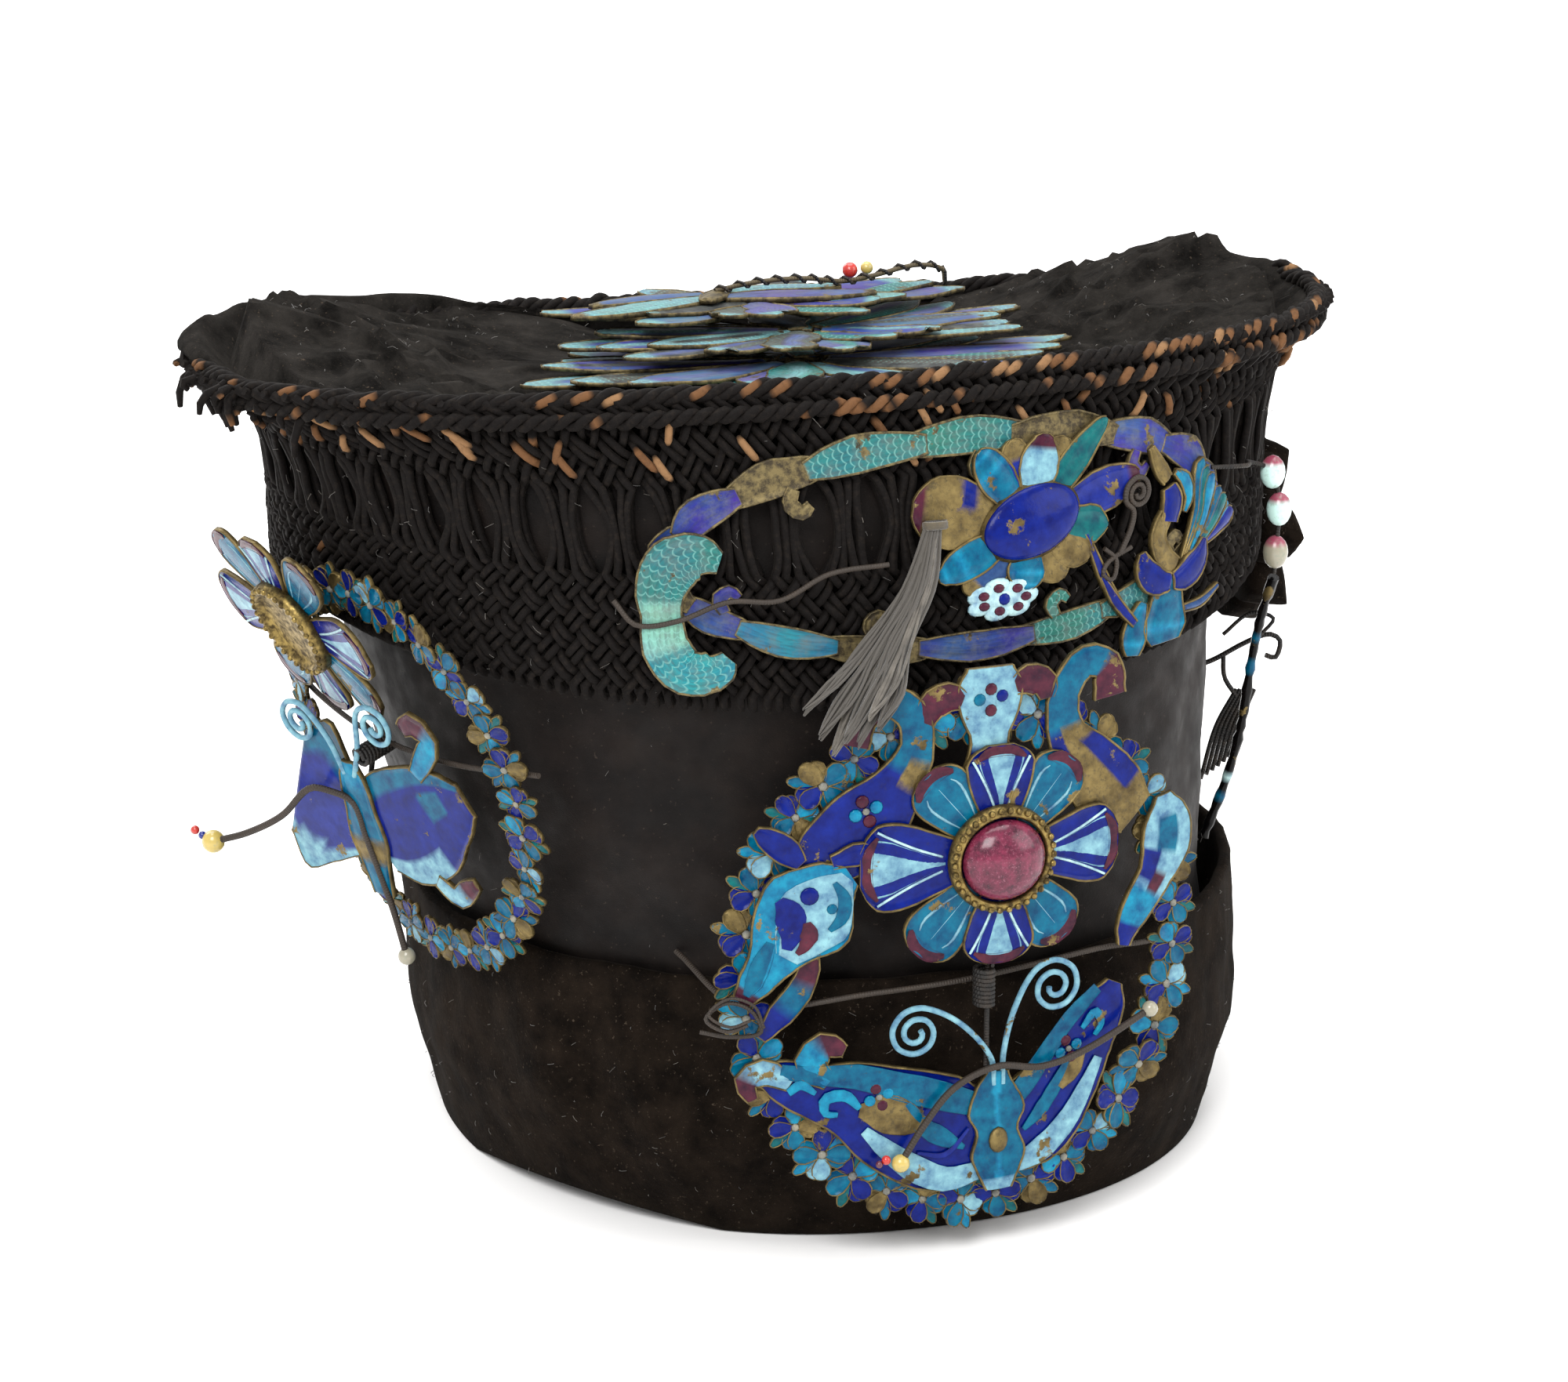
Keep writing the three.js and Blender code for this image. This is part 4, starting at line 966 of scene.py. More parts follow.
@dataclass(frozen=True)
class SilkCord:
    """Braided silk cord: matt black ribs that turn round it, and rattan where the silk is gone."""

    braid_mm: float = 0.9

    def make(self) -> bpy.types.Material:
        """Material of the basket and rope."""
        material, tree, shader = start_material("braided_silk_cord", {
            "Roughness": 0.78, "Sheen Weight": 0.03, "Sheen Tint": srgb("#a0968a"),
            "Specular IOR Level": 0.1})
        tint = stored(tree, "tint")
        along = stored(tree, "along")
        around = stored(tree, "round")
        turns = add_node(tree, "ShaderNodeMath", {0: along, 1: 1 / (self.braid_mm * MM), 2: around},
                         operation="MULTIPLY_ADD")
        wave = add_node(tree, "ShaderNodeMath", {0: turns.outputs[0], 1: 1.0}, operation="PINGPONG")
        fuzz = ramp(tree, noise_at(tree, 1.4, 4, 0.7), 0.5, 0.8, 0, 0.5)
        tree.links.new(blend(tree, fuzz, tint, srgb("#2a231d")), shader.inputs["Base Color"])
        relief = add_node(tree, "ShaderNodeMath", {0: wave.outputs[0], 1: noise_at(tree, 0.5, 3)},
                          operation="ADD")
        bump(tree, shader, relief.outputs[0], 0.12, 0.8)
        return material


@dataclass(frozen=True)
class PaintedEnamel:
    """Glass enamel fired on gilt plates: glossy, mottled, lost in patches down to the gilding."""

    gild: str = "#7d6c44"
    tarnish: str = "#453a27"
    lost: float = 0.625

    def make(self) -> bpy.types.Material:
        """Material of the enamelled plates."""
        material, tree, shader = start_material("enamel_on_gilt",
                                                {"IOR": 1.5, "Specular IOR Level": 0.14})
        tint = stored(tree, "tint")
        gilt = stored(tree, "gilt")
        ragged = ramp(tree, noise_at(tree, 0.9, 3, 0.6), 0.3, 0.6, 0.35, 1.4)
        bare = add_node(tree, "ShaderNodeMath", {0: gilt, 1: ragged}, operation="MULTIPLY",
                        use_clamp=True)
        lost = ramp(tree, noise_at(tree, 7, 6, 0.62), self.lost, self.lost + 0.025)
        metal = add_node(tree, "ShaderNodeMath", {0: bare.outputs[0], 1: lost},
                         operation="MAXIMUM").outputs[0]
        shade = ramp(tree, noise_at(tree, 3.2, 4, 0.6), 0.3, 0.75)
        deep = blend(tree, 1.0, tint, srgb("#7f8fb4"), "MULTIPLY")
        glass = blend(tree, shade, deep, tint)
        grime = ramp(tree, noise_at(tree, 1.2, 4, 0.7), 0.6, 0.75, 0, 0.45)
        gilding = blend(tree, ramp(tree, noise_at(tree, 4, 6, 0.6), 0.35, 0.68), srgb(self.gild),
                        srgb(self.tarnish))
        body = blend(tree, grime, glass, srgb("#2c2a33"))
        tree.links.new(blend(tree, metal, body, gilding), shader.inputs["Base Color"])
        tree.links.new(ramp(tree, metal, 0, 1, 0, 0.75), shader.inputs["Metallic"])
        tree.links.new(ramp(tree, metal, 0, 1, 0.2, 0.48), shader.inputs["Roughness"])
        bump(tree, shader, blend(tree, 0.5, noise_at(tree, 2.2, 4, 0.6), metal), 0.18, 0.8)
        return material


@dataclass(frozen=True)
class LaidFeather:
    """Kingfisher feather on gilt plates: barbs along each plate, blue to violet, dusty."""

    barb_mm: float = 0.55
    scale_mm: float = 1.5
    dust: str = "#5c605c"
    lost: float = 0.63

    def make(self) -> bpy.types.Material:
        """Material of the feathered plates."""
        material, tree, shader = start_material("laid_feather",
                                                {"Roughness": 0.5, "Specular IOR Level": 0.25})
        tint = stored(tree, "tint")
        gilt = stored(tree, "gilt")
        grain = add_node(tree, "ShaderNodeUVMap", uv_map="grain").outputs["UV"]
        barbs = add_node(tree, "ShaderNodeMapping", {"Vector": grain, "Scale": (1.0, 0.12, 1.0)})
        fine = add_node(tree, "ShaderNodeTexNoise", {
            "Vector": barbs.outputs["Vector"], "Scale": 1 / self.barb_mm,
            "Detail": 3.0}).outputs["Fac"]
        hue = ramp(tree, noise_at(tree, 13, 3, 0.5), 0.35, 0.65)
        shifted = add_node(tree, "ShaderNodeHueSaturation", {
            "Hue": ramp(tree, hue, 0, 1, 0.47, 0.53), "Color": tint}).outputs["Color"]
        barbed = blend(tree, ramp(tree, fine, 0.42, 0.62, 0, 0.4), shifted, srgb("#141c28"))
        lines = blend(tree, self.scales(tree, grain, tint), barbed, srgb("#7fb8ae"))
        lost = ramp(tree, noise_at(tree, 6, 6, 0.65), self.lost, self.lost + 0.03)
        bare = add_node(tree, "ShaderNodeMath", {0: gilt, 1: lost}, operation="MAXIMUM").outputs[0]
        metal = blend(tree, ramp(tree, noise_at(tree, 1.8, 5, 0.7), 0.4, 0.6), srgb("#6f6242"),
                      srgb("#3a3327"))
        dusty = blend(tree, ramp(tree, noise_at(tree, 4, 5, 0.7), 0.45, 0.7, 0.08, 0.6), lines,
                      srgb(self.dust))
        tree.links.new(blend(tree, bare, dusty, metal), shader.inputs["Base Color"])
        tree.links.new(ramp(tree, bare, 0, 1, 0.05, 0.6), shader.inputs["Metallic"])
        bump(tree, shader, fine, 0.1, 0.9)
        return material

    def scales(self, tree: bpy.types.NodeTree, grain: bpy.types.NodeSocket,
               tint: bpy.types.NodeSocket) -> bpy.types.NodeSocket:
        """Rows of small crescents, engraved through the green plates alone.

        Args:
            tree: tree of the material.
            grain: place on the plate in millimetres.
            tint: colour of the plate.

        Returns:
            Share of the crescents' colour.
        """
        def sums(kind: str, *values: object) -> bpy.types.NodeSocket:
            """One arithmetic step."""
            return add_node(tree, "ShaderNodeMath", dict(enumerate(values)),
                            operation=kind).outputs[0]

        spot = add_node(tree, "ShaderNodeSeparateXYZ", {0: grain}).outputs
        rows = sums("DIVIDE", spot["Y"], self.scale_mm)
        odd = sums("MULTIPLY", sums("FLOORED_MODULO", sums("FLOOR", rows), 2.0), 0.5)
        column = sums("SUBTRACT",
                      sums("FRACT", sums("ADD", sums("DIVIDE", spot["X"], 1.2 * self.scale_mm),
                                         odd)), 0.5)
        bow = sums("MULTIPLY", sums("MULTIPLY", column, column), 1.7)
        away = sums("ABSOLUTE", sums("SUBTRACT", sums("ADD", sums("FRACT", rows), bow), 0.55))
        line = ramp(tree, away, 0.05, 0.16, 0.38, 0)
        parts = add_node(tree, "ShaderNodeSeparateColor", {0: tint}).outputs
        green = ramp(tree, sums("SUBTRACT", parts["Green"], sums("MULTIPLY", parts["Blue"], 0.75)),
                     0, 0.02)
        return sums("MULTIPLY", line, green)


@dataclass(frozen=True)
class WornGilt:
    """Fire gilding worn to brown in the hollows."""

    def make(self) -> bpy.types.Material:
        """Material of the settings."""
        material, tree, shader = start_material("worn_gilding", {"Metallic": 0.9})
        rub = ramp(tree, noise_at(tree, 1.6, 5, 0.65), 0.38, 0.62)
        tree.links.new(blend(tree, rub, srgb("#8f7a46"), srgb("#433722")),
                       shader.inputs["Base Color"])
        tree.links.new(ramp(tree, rub, 0, 1, 0.34, 0.6), shader.inputs["Roughness"])
        bump(tree, shader, noise_at(tree, 0.7, 3), 0.08, 0.7)
        return material


@dataclass(frozen=True)
class Tourmaline:
    """Pink tourmaline, polished round: cloudy rose with pale flaws inside and a sharp highlight."""

    def make(self) -> bpy.types.Material:
        """Material of the cabochon."""
        material, tree, shader = start_material("pink_tourmaline", {
            "Roughness": 0.2, "Specular IOR Level": 0.3, "IOR": 1.55, "Coat Weight": 0.12})
        cloud = ramp(tree, noise_at(tree, 2.6, 6, 0.7), 0.35, 0.68)
        flaw = ramp(tree, noise_at(tree, 0.6, 5, 0.85), 0.55, 0.66, 0, 0.75)
        body = blend(tree, cloud, srgb("#30081a"), srgb("#74243f"))
        tree.links.new(blend(tree, flaw, body, srgb("#8f5566")), shader.inputs["Base Color"])
        return material


@dataclass(frozen=True)
class SmallGlass:
    """Beads and buds of glass, pearl and painted paste."""

    def make(self) -> bpy.types.Material:
        """Material of the beads."""
        material, tree, shader = start_material("painted_glass",
                                                {"Roughness": 0.25, "Coat Weight": 0.3})
        tint = stored(tree, "tint")
        stain = ramp(tree, noise_at(tree, 1.3, 4, 0.7), 0.52, 0.72, 0, 0.5)
        tree.links.new(blend(tree, stain, tint, srgb("#6f7d6c")), shader.inputs["Base Color"])
        bump(tree, shader, noise_at(tree, 0.9, 3), 0.06, 0.6)
        return material


@dataclass(frozen=True)
class WrappedWire:
    """Brass wire bound with dark silk thread: fine brown rings along it."""

    wrap_mm: float = 0.6

    def make(self) -> bpy.types.Material:
        """Material of the wires and springs."""
        material, tree, shader = start_material("silk_wrapped_wire",
                                                {"Roughness": 0.6, "Metallic": 0.25})
        tint = stored(tree, "tint")
        along = stored(tree, "along")
        turns = add_node(tree, "ShaderNodeMath", {0: along, 1: math.tau / (self.wrap_mm * MM)},
                         operation="MULTIPLY")
        wave = add_node(tree, "ShaderNodeMath", {0: turns.outputs[0]}, operation="SINE")
        rub = ramp(tree, noise_at(tree, 3, 5, 0.7), 0.45, 0.7, 0, 0.6)
        tree.links.new(blend(tree, rub, tint, srgb("#3a2f25")), shader.inputs["Base Color"])
        bump(tree, shader, wave.outputs[0], 0.06, 0.8)
        return material


@dataclass(frozen=True)
class FlossSilk:
    """Untwisted silk floss, faded to grey: soft along the strands."""

    def make(self) -> bpy.types.Material:
        """Material of the tassel."""
        material, tree, shader = start_material("floss_silk",
                                                {"Roughness": 0.62, "Sheen Weight": 0.3})
        tint = stored(tree, "tint")
        fade = ramp(tree, noise_at(tree, 3, 4, 0.6), 0.35, 0.7)
        tree.links.new(blend(tree, fade, tint, srgb("#37322b")), shader.inputs["Base Color"])
        bump(tree, shader, noise_at(tree, 0.5, 3, 0.6, (3, 3, 0.5)), 0.08, 0.7)
        return material


@dataclass(frozen=True)
class StudioPaper:
    """Seamless pale paper with a faint tooth."""

    def make(self) -> bpy.types.Material:
        """Material of the floor."""
        material, tree, shader = start_material("studio_paper", {"Roughness": 0.9})
        tree.links.new(blend(tree, noise_at(tree, 40, 2), srgb("#f4f3f2"), srgb("#f7f6f5")),
                       shader.inputs["Base Color"])
        return material


@dataclass
class Finishes:
    """All materials of the hat."""

    satin: bpy.types.Material
    velvet: bpy.types.Material
    dusty_velvet: bpy.types.Material
    cord: bpy.types.Material
    enamel: bpy.types.Material
    feather: bpy.types.Material
    gilt: bpy.types.Material
    stone: bpy.types.Material
    glass: bpy.types.Material
    wire: bpy.types.Material
    floss: bpy.types.Material

    @classmethod
    def all(cls) -> "Finishes":
        """Makes every material once."""
        return cls(SilkSatin().make(), SilkVelvet().make(),
                   SilkVelvet("#0a0908", "#302d2a", 0.75).make("dusty_silk_velvet"),
                   SilkCord().make(), PaintedEnamel().make(), LaidFeather().make(),
                   WornGilt().make(), Tourmaline().make(), SmallGlass().make(),
                   WrappedWire().make(), FlossSilk().make())


# Cloth body


def fold_at(folds: Sequence[Row], angle: float, rise: float) -> float:
    """Height of the folds at an angle and rise.

    Args:
        folds: angle and spread in degrees, rise, reach, depth, and slant in degrees for each
            share of rise.
        angle: in radians.
        rise: share of the height.
    """
    total = 0.0
    for centre, spread, level, reach, depth, slant in folds:
        middle = math.radians(centre + slant * (rise - level))
        away = math.atan2(math.sin(angle - middle), math.cos(angle - middle))
        bell = math.exp(-(away / math.radians(spread)) ** 2)
        total += depth * bell * max(0, 1 - ((rise - level) / reach) ** 2)
    return total


@dataclass
class SatinDrum:
    """Satin drum with drag folds, up into the basket."""

    steps: int = 260
    levels: int = 64
    inner_levels: int = 10
    # width and length in metres, and the share of that which the wall takes
    cut: tuple = (0.6, 0.16)
    cut_share: float = 0.94
    # shares of the basket's height: the cloth's top, and where it lies on the basket
    top_rise: float = 0.8
    joined: float = 0.44
    # angle, spread, rise, reach, depth, slant
    folds: tuple = ((-128, 6, 0.66, 0.2, 2.6, -70), (-116, 3.5, 0.62, 0.18, 2.0, -80),
                    (-106, 3, 0.6, 0.14, 1.5, -90), (-140, 5, 0.74, 0.2, 1.0, -40),
                    (-40, 6, 0.74, 0.22, -0.9, 20), (-52, 3, 0.66, 0.16, 0.6, 40),
                    (20, 7, 0.7, 0.22, 0.9, -20), (70, 8, 0.7, 0.2, 0.9, 30),
                    (120, 7, 0.72, 0.2, 0.8, -30), (165, 6, 0.7, 0.2, 0.9, 25))

    @property
    def total(self) -> float:
        """Rise of the cloth's top, as a share of the drum's height."""
        return 1 + self.top_rise * FORM.basket_height / FORM.drum_height

    def ring(self, rise: float) -> Ring:
        """Outer ring at a share of the drum's height, and past 1 inside the basket."""
        if rise <= 1:
            return FORM.drum_ring(max(rise, FORM.drum_rows[0][0]))
        up = (rise - 1) * FORM.drum_height / FORM.basket_height
        high = FORM.basket_ring(up).grown(-FORM.basket_wall - FORM.gap)
        return FORM.drum_ring(1).mixed(high, up / self.joined) if up < self.joined else high

    def relief(self, angle: float, rise: float) -> float:
        """Height of the folds and creases, which fade towards the cuff and the basket."""
        shown = max(0, min(1, (rise - 0.44) / 0.1)) * max(0, min(1, (1.0 - rise) / 0.1))
        crease = noise.noise(Vector((angle * 9, rise * 16, 3.1)))
        fine = noise.noise(Vector((angle * 26 + rise * 20, rise * 22, 8.0)))
        return shown * (fold_at(self.folds, angle, rise) + 0.5 * crease + 0.22 * fine)

    def make(self, material: bpy.types.Material) -> None:
        """Builds and delivers the drum."""
        draft = Draft()
        rings = []
        stack = [(k / self.levels, 0.0) for k in range(self.levels + 1)]
        stack += [(k / self.inner_levels, -FORM.satin) for k in range(self.inner_levels, -1, -1)]
        for share, inset in stack:
            rise = share * self.total
            ring = self.ring(rise)
            row = []
            for i in range(self.steps):
                angle = math.tau * i / self.steps
                shift = inset or self.relief(angle, rise)
                row.append(draft.add(ring.grown(shift).point(angle)))
            rings.append(row)
        draft.loft(rings, looped=True)
        wall = draft.build("satin_wall", material)
        deliver(wall, "satin", "satin_drum")


@dataclass
class VelvetCuff:
    """Turned-up velvet cuff that stands off the drum at the right."""

    steps: int = 300
    levels: int = 34
    lip: float = 0.6
    # width and length in metres
    cut: tuple = (0.575, 0.06)
    hem_lift: float = 3.0
    # growth of the ring from one of its levels to the next
    step_out: float = 0.3
    # angle, spread, rise, reach, depth, slant
    folds: tuple = ((-150, 7, 0.6, 0.4, 2.6, 8), (-132, 6, 0.5, 0.4, 1.9, -12),
                    (-141, 3, 0.7, 0.3, -1.4, 0), (-60, 12, 0.4, 0.3, 1.4, 0),
                    (-22, 5, 0.6, 0.4, 1.2, 15), (-8, 3, 0.75, 0.3, -1.2, -10),
                    (12, 6, 0.7, 0.4, 1.4, 10), (40, 12, 0.5, 0.3, 2.0, 0),
                    (96, 9, 0.6, 0.4, 1.6, 12), (150, 9, 0.5, 0.4, 1.6, -12))

    def ring(self, rise: float) -> tuple[Ring, float]:
        """Ring that the cuff starts from at a share of its height, and its flare there."""
        hem, bulge, top = (FORM.drum_ring(row[0]) for row in FORM.drum_rows[:3])
        tall = FORM.cuff_height
        middle = replace(bulge.grown(0.3 * (top.half - bulge.half)), z=0.68 * tall, x=0.5 * top.x)
        rings = [replace(hem, z=0), bulge, middle, replace(top, z=tall)]
        heights = [r.z / tall for r in rings]
        index = max(next((i for i, h in enumerate(heights) if h >= rise), 3), 1)
        share = (rise - heights[index - 1]) / (heights[index] - heights[index - 1])
        return rings[index - 1].mixed(rings[index], share), self.step_out * (index - 1 + share)

    def shift(self, angle: float, rise: float) -> float:
        """How far the cuff stands off its ring."""
        flare = float(np.interp(rise, (0, 0.4, 0.68, 1), (0, 0, 0.35, 1)))
        gape = 0.06 + max(0.0, math.cos(angle - math.radians(-5))) ** 4
        rumple = noise.noise(Vector((angle * 7, rise * 3.5, 1.7))) * 1.0
        rumple += noise.noise(Vector((angle * 20, rise * 9, 5.2))) * 0.4
        return flare * gape * FORM.cuff_stand_off + fold_at(self.folds, angle,
                                                            rise) + rumple * min(1, rise * 5)

    def make(self, material: bpy.types.Material) -> None:
        """Builds and delivers the cuff."""
        draft = Draft()
        thick = FORM.velvet
        outer = [(k / self.levels, FORM.gap + thick) for k in range(self.levels + 1)]
        lip = [(1 + self.lip / FORM.cuff_height, FORM.gap + thick * share) for share in (0.7, 0.3)]
        inner = [(k / 14, FORM.gap) for k in range(14, -1, -1)]
        rings = []
        for rise, off in outer + lip + inner:
            ring, base = self.ring(min(rise, 1))
            row = []
            for i in range(self.steps):
                angle = math.tau * i / self.steps
                spot = ring.grown(off + base + self.shift(angle, min(rise, 1))).point(angle)
                away = (math.atan2(spot.y, spot.x) - math.radians(-148)) / math.radians(24)
                spot.z += (rise - min(rise, 1)) * FORM.cuff_height
                spot.z += self.hem_lift * max(0, 1 - away ** 2) * max(0, 1 - rise * 6)
                if rise > 0.9:
                    spot.z += (rise - 0.9) * 10 * 0.9 * noise.noise(Vector((angle * 8, 0, 9.3)))
                spot.z = max(spot.z, 0.0)
                row.append(draft.add(spot))
            rings.append(row)
        draft.loft(rings, looped=True)
        turned = draft.build("velvet_turn_up", material)
        deliver(turned, "velvet", "velvet_cuff")


@dataclass
class CrownVelvet:
    """Sunk velvet crown with rolled corners and dusty folds."""

    steps: int = 240
    rings: int = 40
    # width and length in metres
    cut: tuple = (0.27, 0.19)
    roll: float = 8.0
    # middle and spread in degrees, height
    rolls: tuple = ((146, 42, 1.0), (24, 24, 0.7))

    def height(self, x: float, y: float, share: float) -> float:
        """Height of the cloth with its small wrinkles."""
        across = (x - FORM.lean) / FORM.rim_half_width
        wrinkle = noise.noise(Vector((x * 0.05, y * 0.09,
                                      2.2))) * 1.4 + noise.noise(Vector((x * 0.2, y * 0.24,
                                                                         7.1))) * 0.6
        warp = noise.noise(Vector((x * 0.03, y * 0.05, 6.1)))
        ridge = 1 - abs(noise.noise(Vector((x * 0.045 + warp, y * 0.11, 9.4)))) * 4
        wrinkle += 4.2 * max(0.0, ridge) ** 1.6 * min(1.0, max(0.0, abs(across) - 0.32) / 0.2)
        corner = max(0.0, abs(across) - 0.5) / 0.5
        turn = math.atan2(y, abs(x - FORM.lean) - 0.62 * FORM.rim_half_width)
        pleat = 1 - abs(math.sin(3.2 * turn + (1.2 if across < 0 else 0.3)
                                 + 2 * wrinkle / 5)) ** 0.7
        lifted = corner * pleat * 8.5 * math.exp(-((share - 0.7) / 0.27) ** 2)
        swell = self.cover(math.atan2(y, x - FORM.lean)) * max(0.0, share - 0.6) / 0.4
        return FORM.crown_height(x, y) + wrinkle * (1 - 0.5 * share) + lifted + self.roll * swell

    def cover(self, angle: float) -> float:
        """How far the cloth has come up over the rope at an angle, 0 to 1."""
        total = 0.0
        for middle, spread, height in self.rolls:
            away = math.atan2(math.sin(angle - math.radians(middle)),
                              math.cos(angle - math.radians(middle)))
            total += height * max(0.0, 1 - (away / math.radians(spread)) ** 4)
        return min(1.0, total)

    def lip(self, angle: float, share: float) -> Vector:
        """Spot on the cloth's edge, which is rolled over the rope at the corners."""
        wall = FORM.basket_ring(FORM.crown_seat + (1.02 - FORM.crown_seat) * min(1.0, 2 * share))
        inside = wall.grown(-FORM.basket_wall - FORM.gap).point(angle)
        over = self.cover(angle)
        ripple = noise.noise(Vector((angle * 9, share * 2, 4.4)))
        arch = math.sin(math.pi * min(1.0, 0.15 + 0.62 * share)) * (7.5 + 1.6 * ripple)
        rim = FORM.basket_ring(1).grown(-FORM.basket_wall - FORM.gap
                                        + 8.0 * share * over).point(angle)
        rolled = Vector((rim.x, rim.y, rim.z + arch * (1 - 0.2 * share)))
        base = inside.lerp(rolled, over * min(1.0, 3 * share))
        return base + Vector((0, 0, 0.5 * ripple * share))

    def make(self, material: bpy.types.Material) -> None:
        """Builds and delivers the crown."""
        draft = Draft()
        seat = FORM.basket_ring(FORM.crown_seat).grown(-FORM.basket_wall - FORM.gap)
        shares = [k / self.rings for k in range(1, self.rings + 1)]

        def ring_of(share: float, drop: float) -> list[int]:
            """Points of one ring of the cloth."""
            row = []
            for i in range(self.steps):
                spot = seat.point(math.tau * i / self.steps)
                x, y = seat.x + (spot.x - seat.x) * share, spot.y * share
                row.append(draft.add(Vector((x, y, self.height(x, y, share) - drop))))
            return row

        def edge_of(share: float, drop: float) -> list[int]:
            """Points of one ring of the cloth's edge."""
            spots = (self.lip(math.tau * i / self.steps, share) for i in range(self.steps))
            return [draft.add(spot - Vector((0, 0, drop))) for spot in spots]

        edges = [k / 8 for k in range(1, 9)]
        rings = [ring_of(share, 0) for share in shares] + [edge_of(share, 0) for share in edges]
        rings += [edge_of(share, 0.8) for share in reversed(edges)]
        rings += [ring_of(share, FORM.velvet) for share in reversed(shares)]
        draft.loft(rings)
        cloth = draft.build("crown_cloth", material)
        deliver(cloth, "velvet", "crown_velvet")


@dataclass
class Rosette:
    """Folded velvet rosette on the right of the basket."""

    def make(self, material: bpy.types.Material) -> None:
        """Builds and delivers the rosette."""
        panel = BasketPanel(-1, -0.13, FORM.gap + 0.5)
        draft = Draft()
        lobe = Plate(thick=5.0, dome=4.6, rim=0.0, stations=18, inner=11)
        for k, angle in enumerate((12, 62, 118, 172, 226, 275, 322)):
            rows = petal_rows((0, 0), angle, 21 + 3 * (k % 2), 16, foot=0.05, belly=0.66)
            blade(draft, panel, rows, 0.4 * (k % 2), plain(Tint.DARK), lobe)
        knob(draft, panel, (0, 0, 4), 7, 5.5, Tint.DARK)
        deliver(draft.build("velvet_lobes", material), "velvet", "velvet_rosette")


# Plaited basket and its rope


@dataclass
class PlaitedBasket:
    """Wall of paired cords plaited slantwise, parted into a row of eyes."""

    pairs: int = 108
    crossings: float = 3.5
    eye_low: float = 0.44
    eye_high: float = 0.74
    eye_half: float = 0.56
    cord_radius: float = 0.92
    weave: float = 1.05
    pair_split: float = 0.22
    # rise and steps up to it
    spans: tuple = ((-0.05, 0), (0.0, 2), (0.44, 28), (0.74, 12), (1.03, 20))
    seed: int = 7

    def __post_init__(self) -> None:
        """Arc table of the wall at middle height."""
        self.turns, lengths = arc_table(FORM.basket_ring(0.6))
        self.shares = lengths / lengths[-1]

    def progress(self, rise: float) -> float:
        """Sideways way of a cord, in pairs, at a share of the height; none beside the eyes."""
        rate = self.crossings / self.eye_low
        low = min(rise, self.eye_low)
        high = max(0.0, rise - self.eye_high)
        return rate * (low + high)

    def parted(self, across: float, rise: float) -> float:
        """Moves a cord aside round the eyes."""
        centre = 2 * round(across / 2)
        middle, half = (self.eye_low + self.eye_high) / 2, (self.eye_high - self.eye_low) / 2
        away = (rise - middle - 0.06 * noise.noise(Vector((centre * 1.7, 8.5, 2.4)))) / half
        if abs(away) >= 1:
            return across
        own = 1 + 0.5 * noise.noise(Vector((centre * 2.7, 1.5, 4.4)))
        open_ = self.eye_half * own * math.cos(math.pi / 2 * away) ** 0.8
        d = across - centre
        return centre + math.copysign(open_ + (1 - open_) * abs(d), d)

    def spot(self, across: float, rise: float, out: float) -> Vector:
        """Place on the wall."""
        turn = float(np.interp((across / self.pairs) % 1.0, self.shares, self.turns))
        ring = FORM.basket_ring(rise)
        return ring.grown(-FORM.basket_wall / 2 + 0.2 + out).point(turn)

    def strand(self, pair: int, side: int, rising: bool, rng: random.Random) -> Strand:
        """One cord of a pair, from the foot to the rim."""
        route, tints = [], []
        rises = [self.spans[0][0]]
        for (low, _), (high, count) in zip(self.spans, self.spans[1:]):
            rises += [low + (high - low) * (k + 1) / count for k in range(count)]
        phase = rng.uniform(0, 50)
        slip = rng.random() < 0.08
        where = rng.uniform(0.8, 0.98) if rng.random() < 0.8 else rng.uniform(0.05, 0.9)
        for rise in rises:
            way = self.progress(max(rise, 0))
            free = max(0.0, 1 - abs(rise - 0.6) / 0.22)
            sway = (0.12 + 0.3 * free) * noise.noise(Vector((phase, rise * 6, 0)))
            across = pair + side * self.pair_split + sway + (way if rising else -way)
            hand = 1 if rising else -1
            met = way + hand * side * self.pair_split / 2
            over = hand * max(-1.0, min(1.0, 1.5 * math.cos(math.tau * met)))
            out = self.weave * over + 0.25 * noise.noise(Vector((phase, rise * 7, 4)))
            if rise < 0:
                out -= 2.2 * (rise / self.spans[0][0]) ** 2
            route.append(self.spot(self.parted(across, rise), rise, out))
            bare = slip and abs(rise - where) < 0.035
            tints.append(Tint.RATTAN if bare else Tint.CORD)
        return Strand(route, self.cord_radius * rng.uniform(0.9, 1.08), tints)

    def make(self, shop: Workshop, material: bpy.types.Material) -> None:
        """Builds and delivers both layers of cords."""
        rng = random.Random(self.seed)
        for rising, name in ((True, "basket_cords_rising"), (False, "basket_cords_falling")):
            strands = [self.strand(pair, side, rising, rng) for pair in range(self.pairs)
                       for side in (-1, 1)]
            piece = shop.cords(name, strands, material, sides=5)
            deliver(piece, "cord", *(("cord_basket",) if rising else ()))


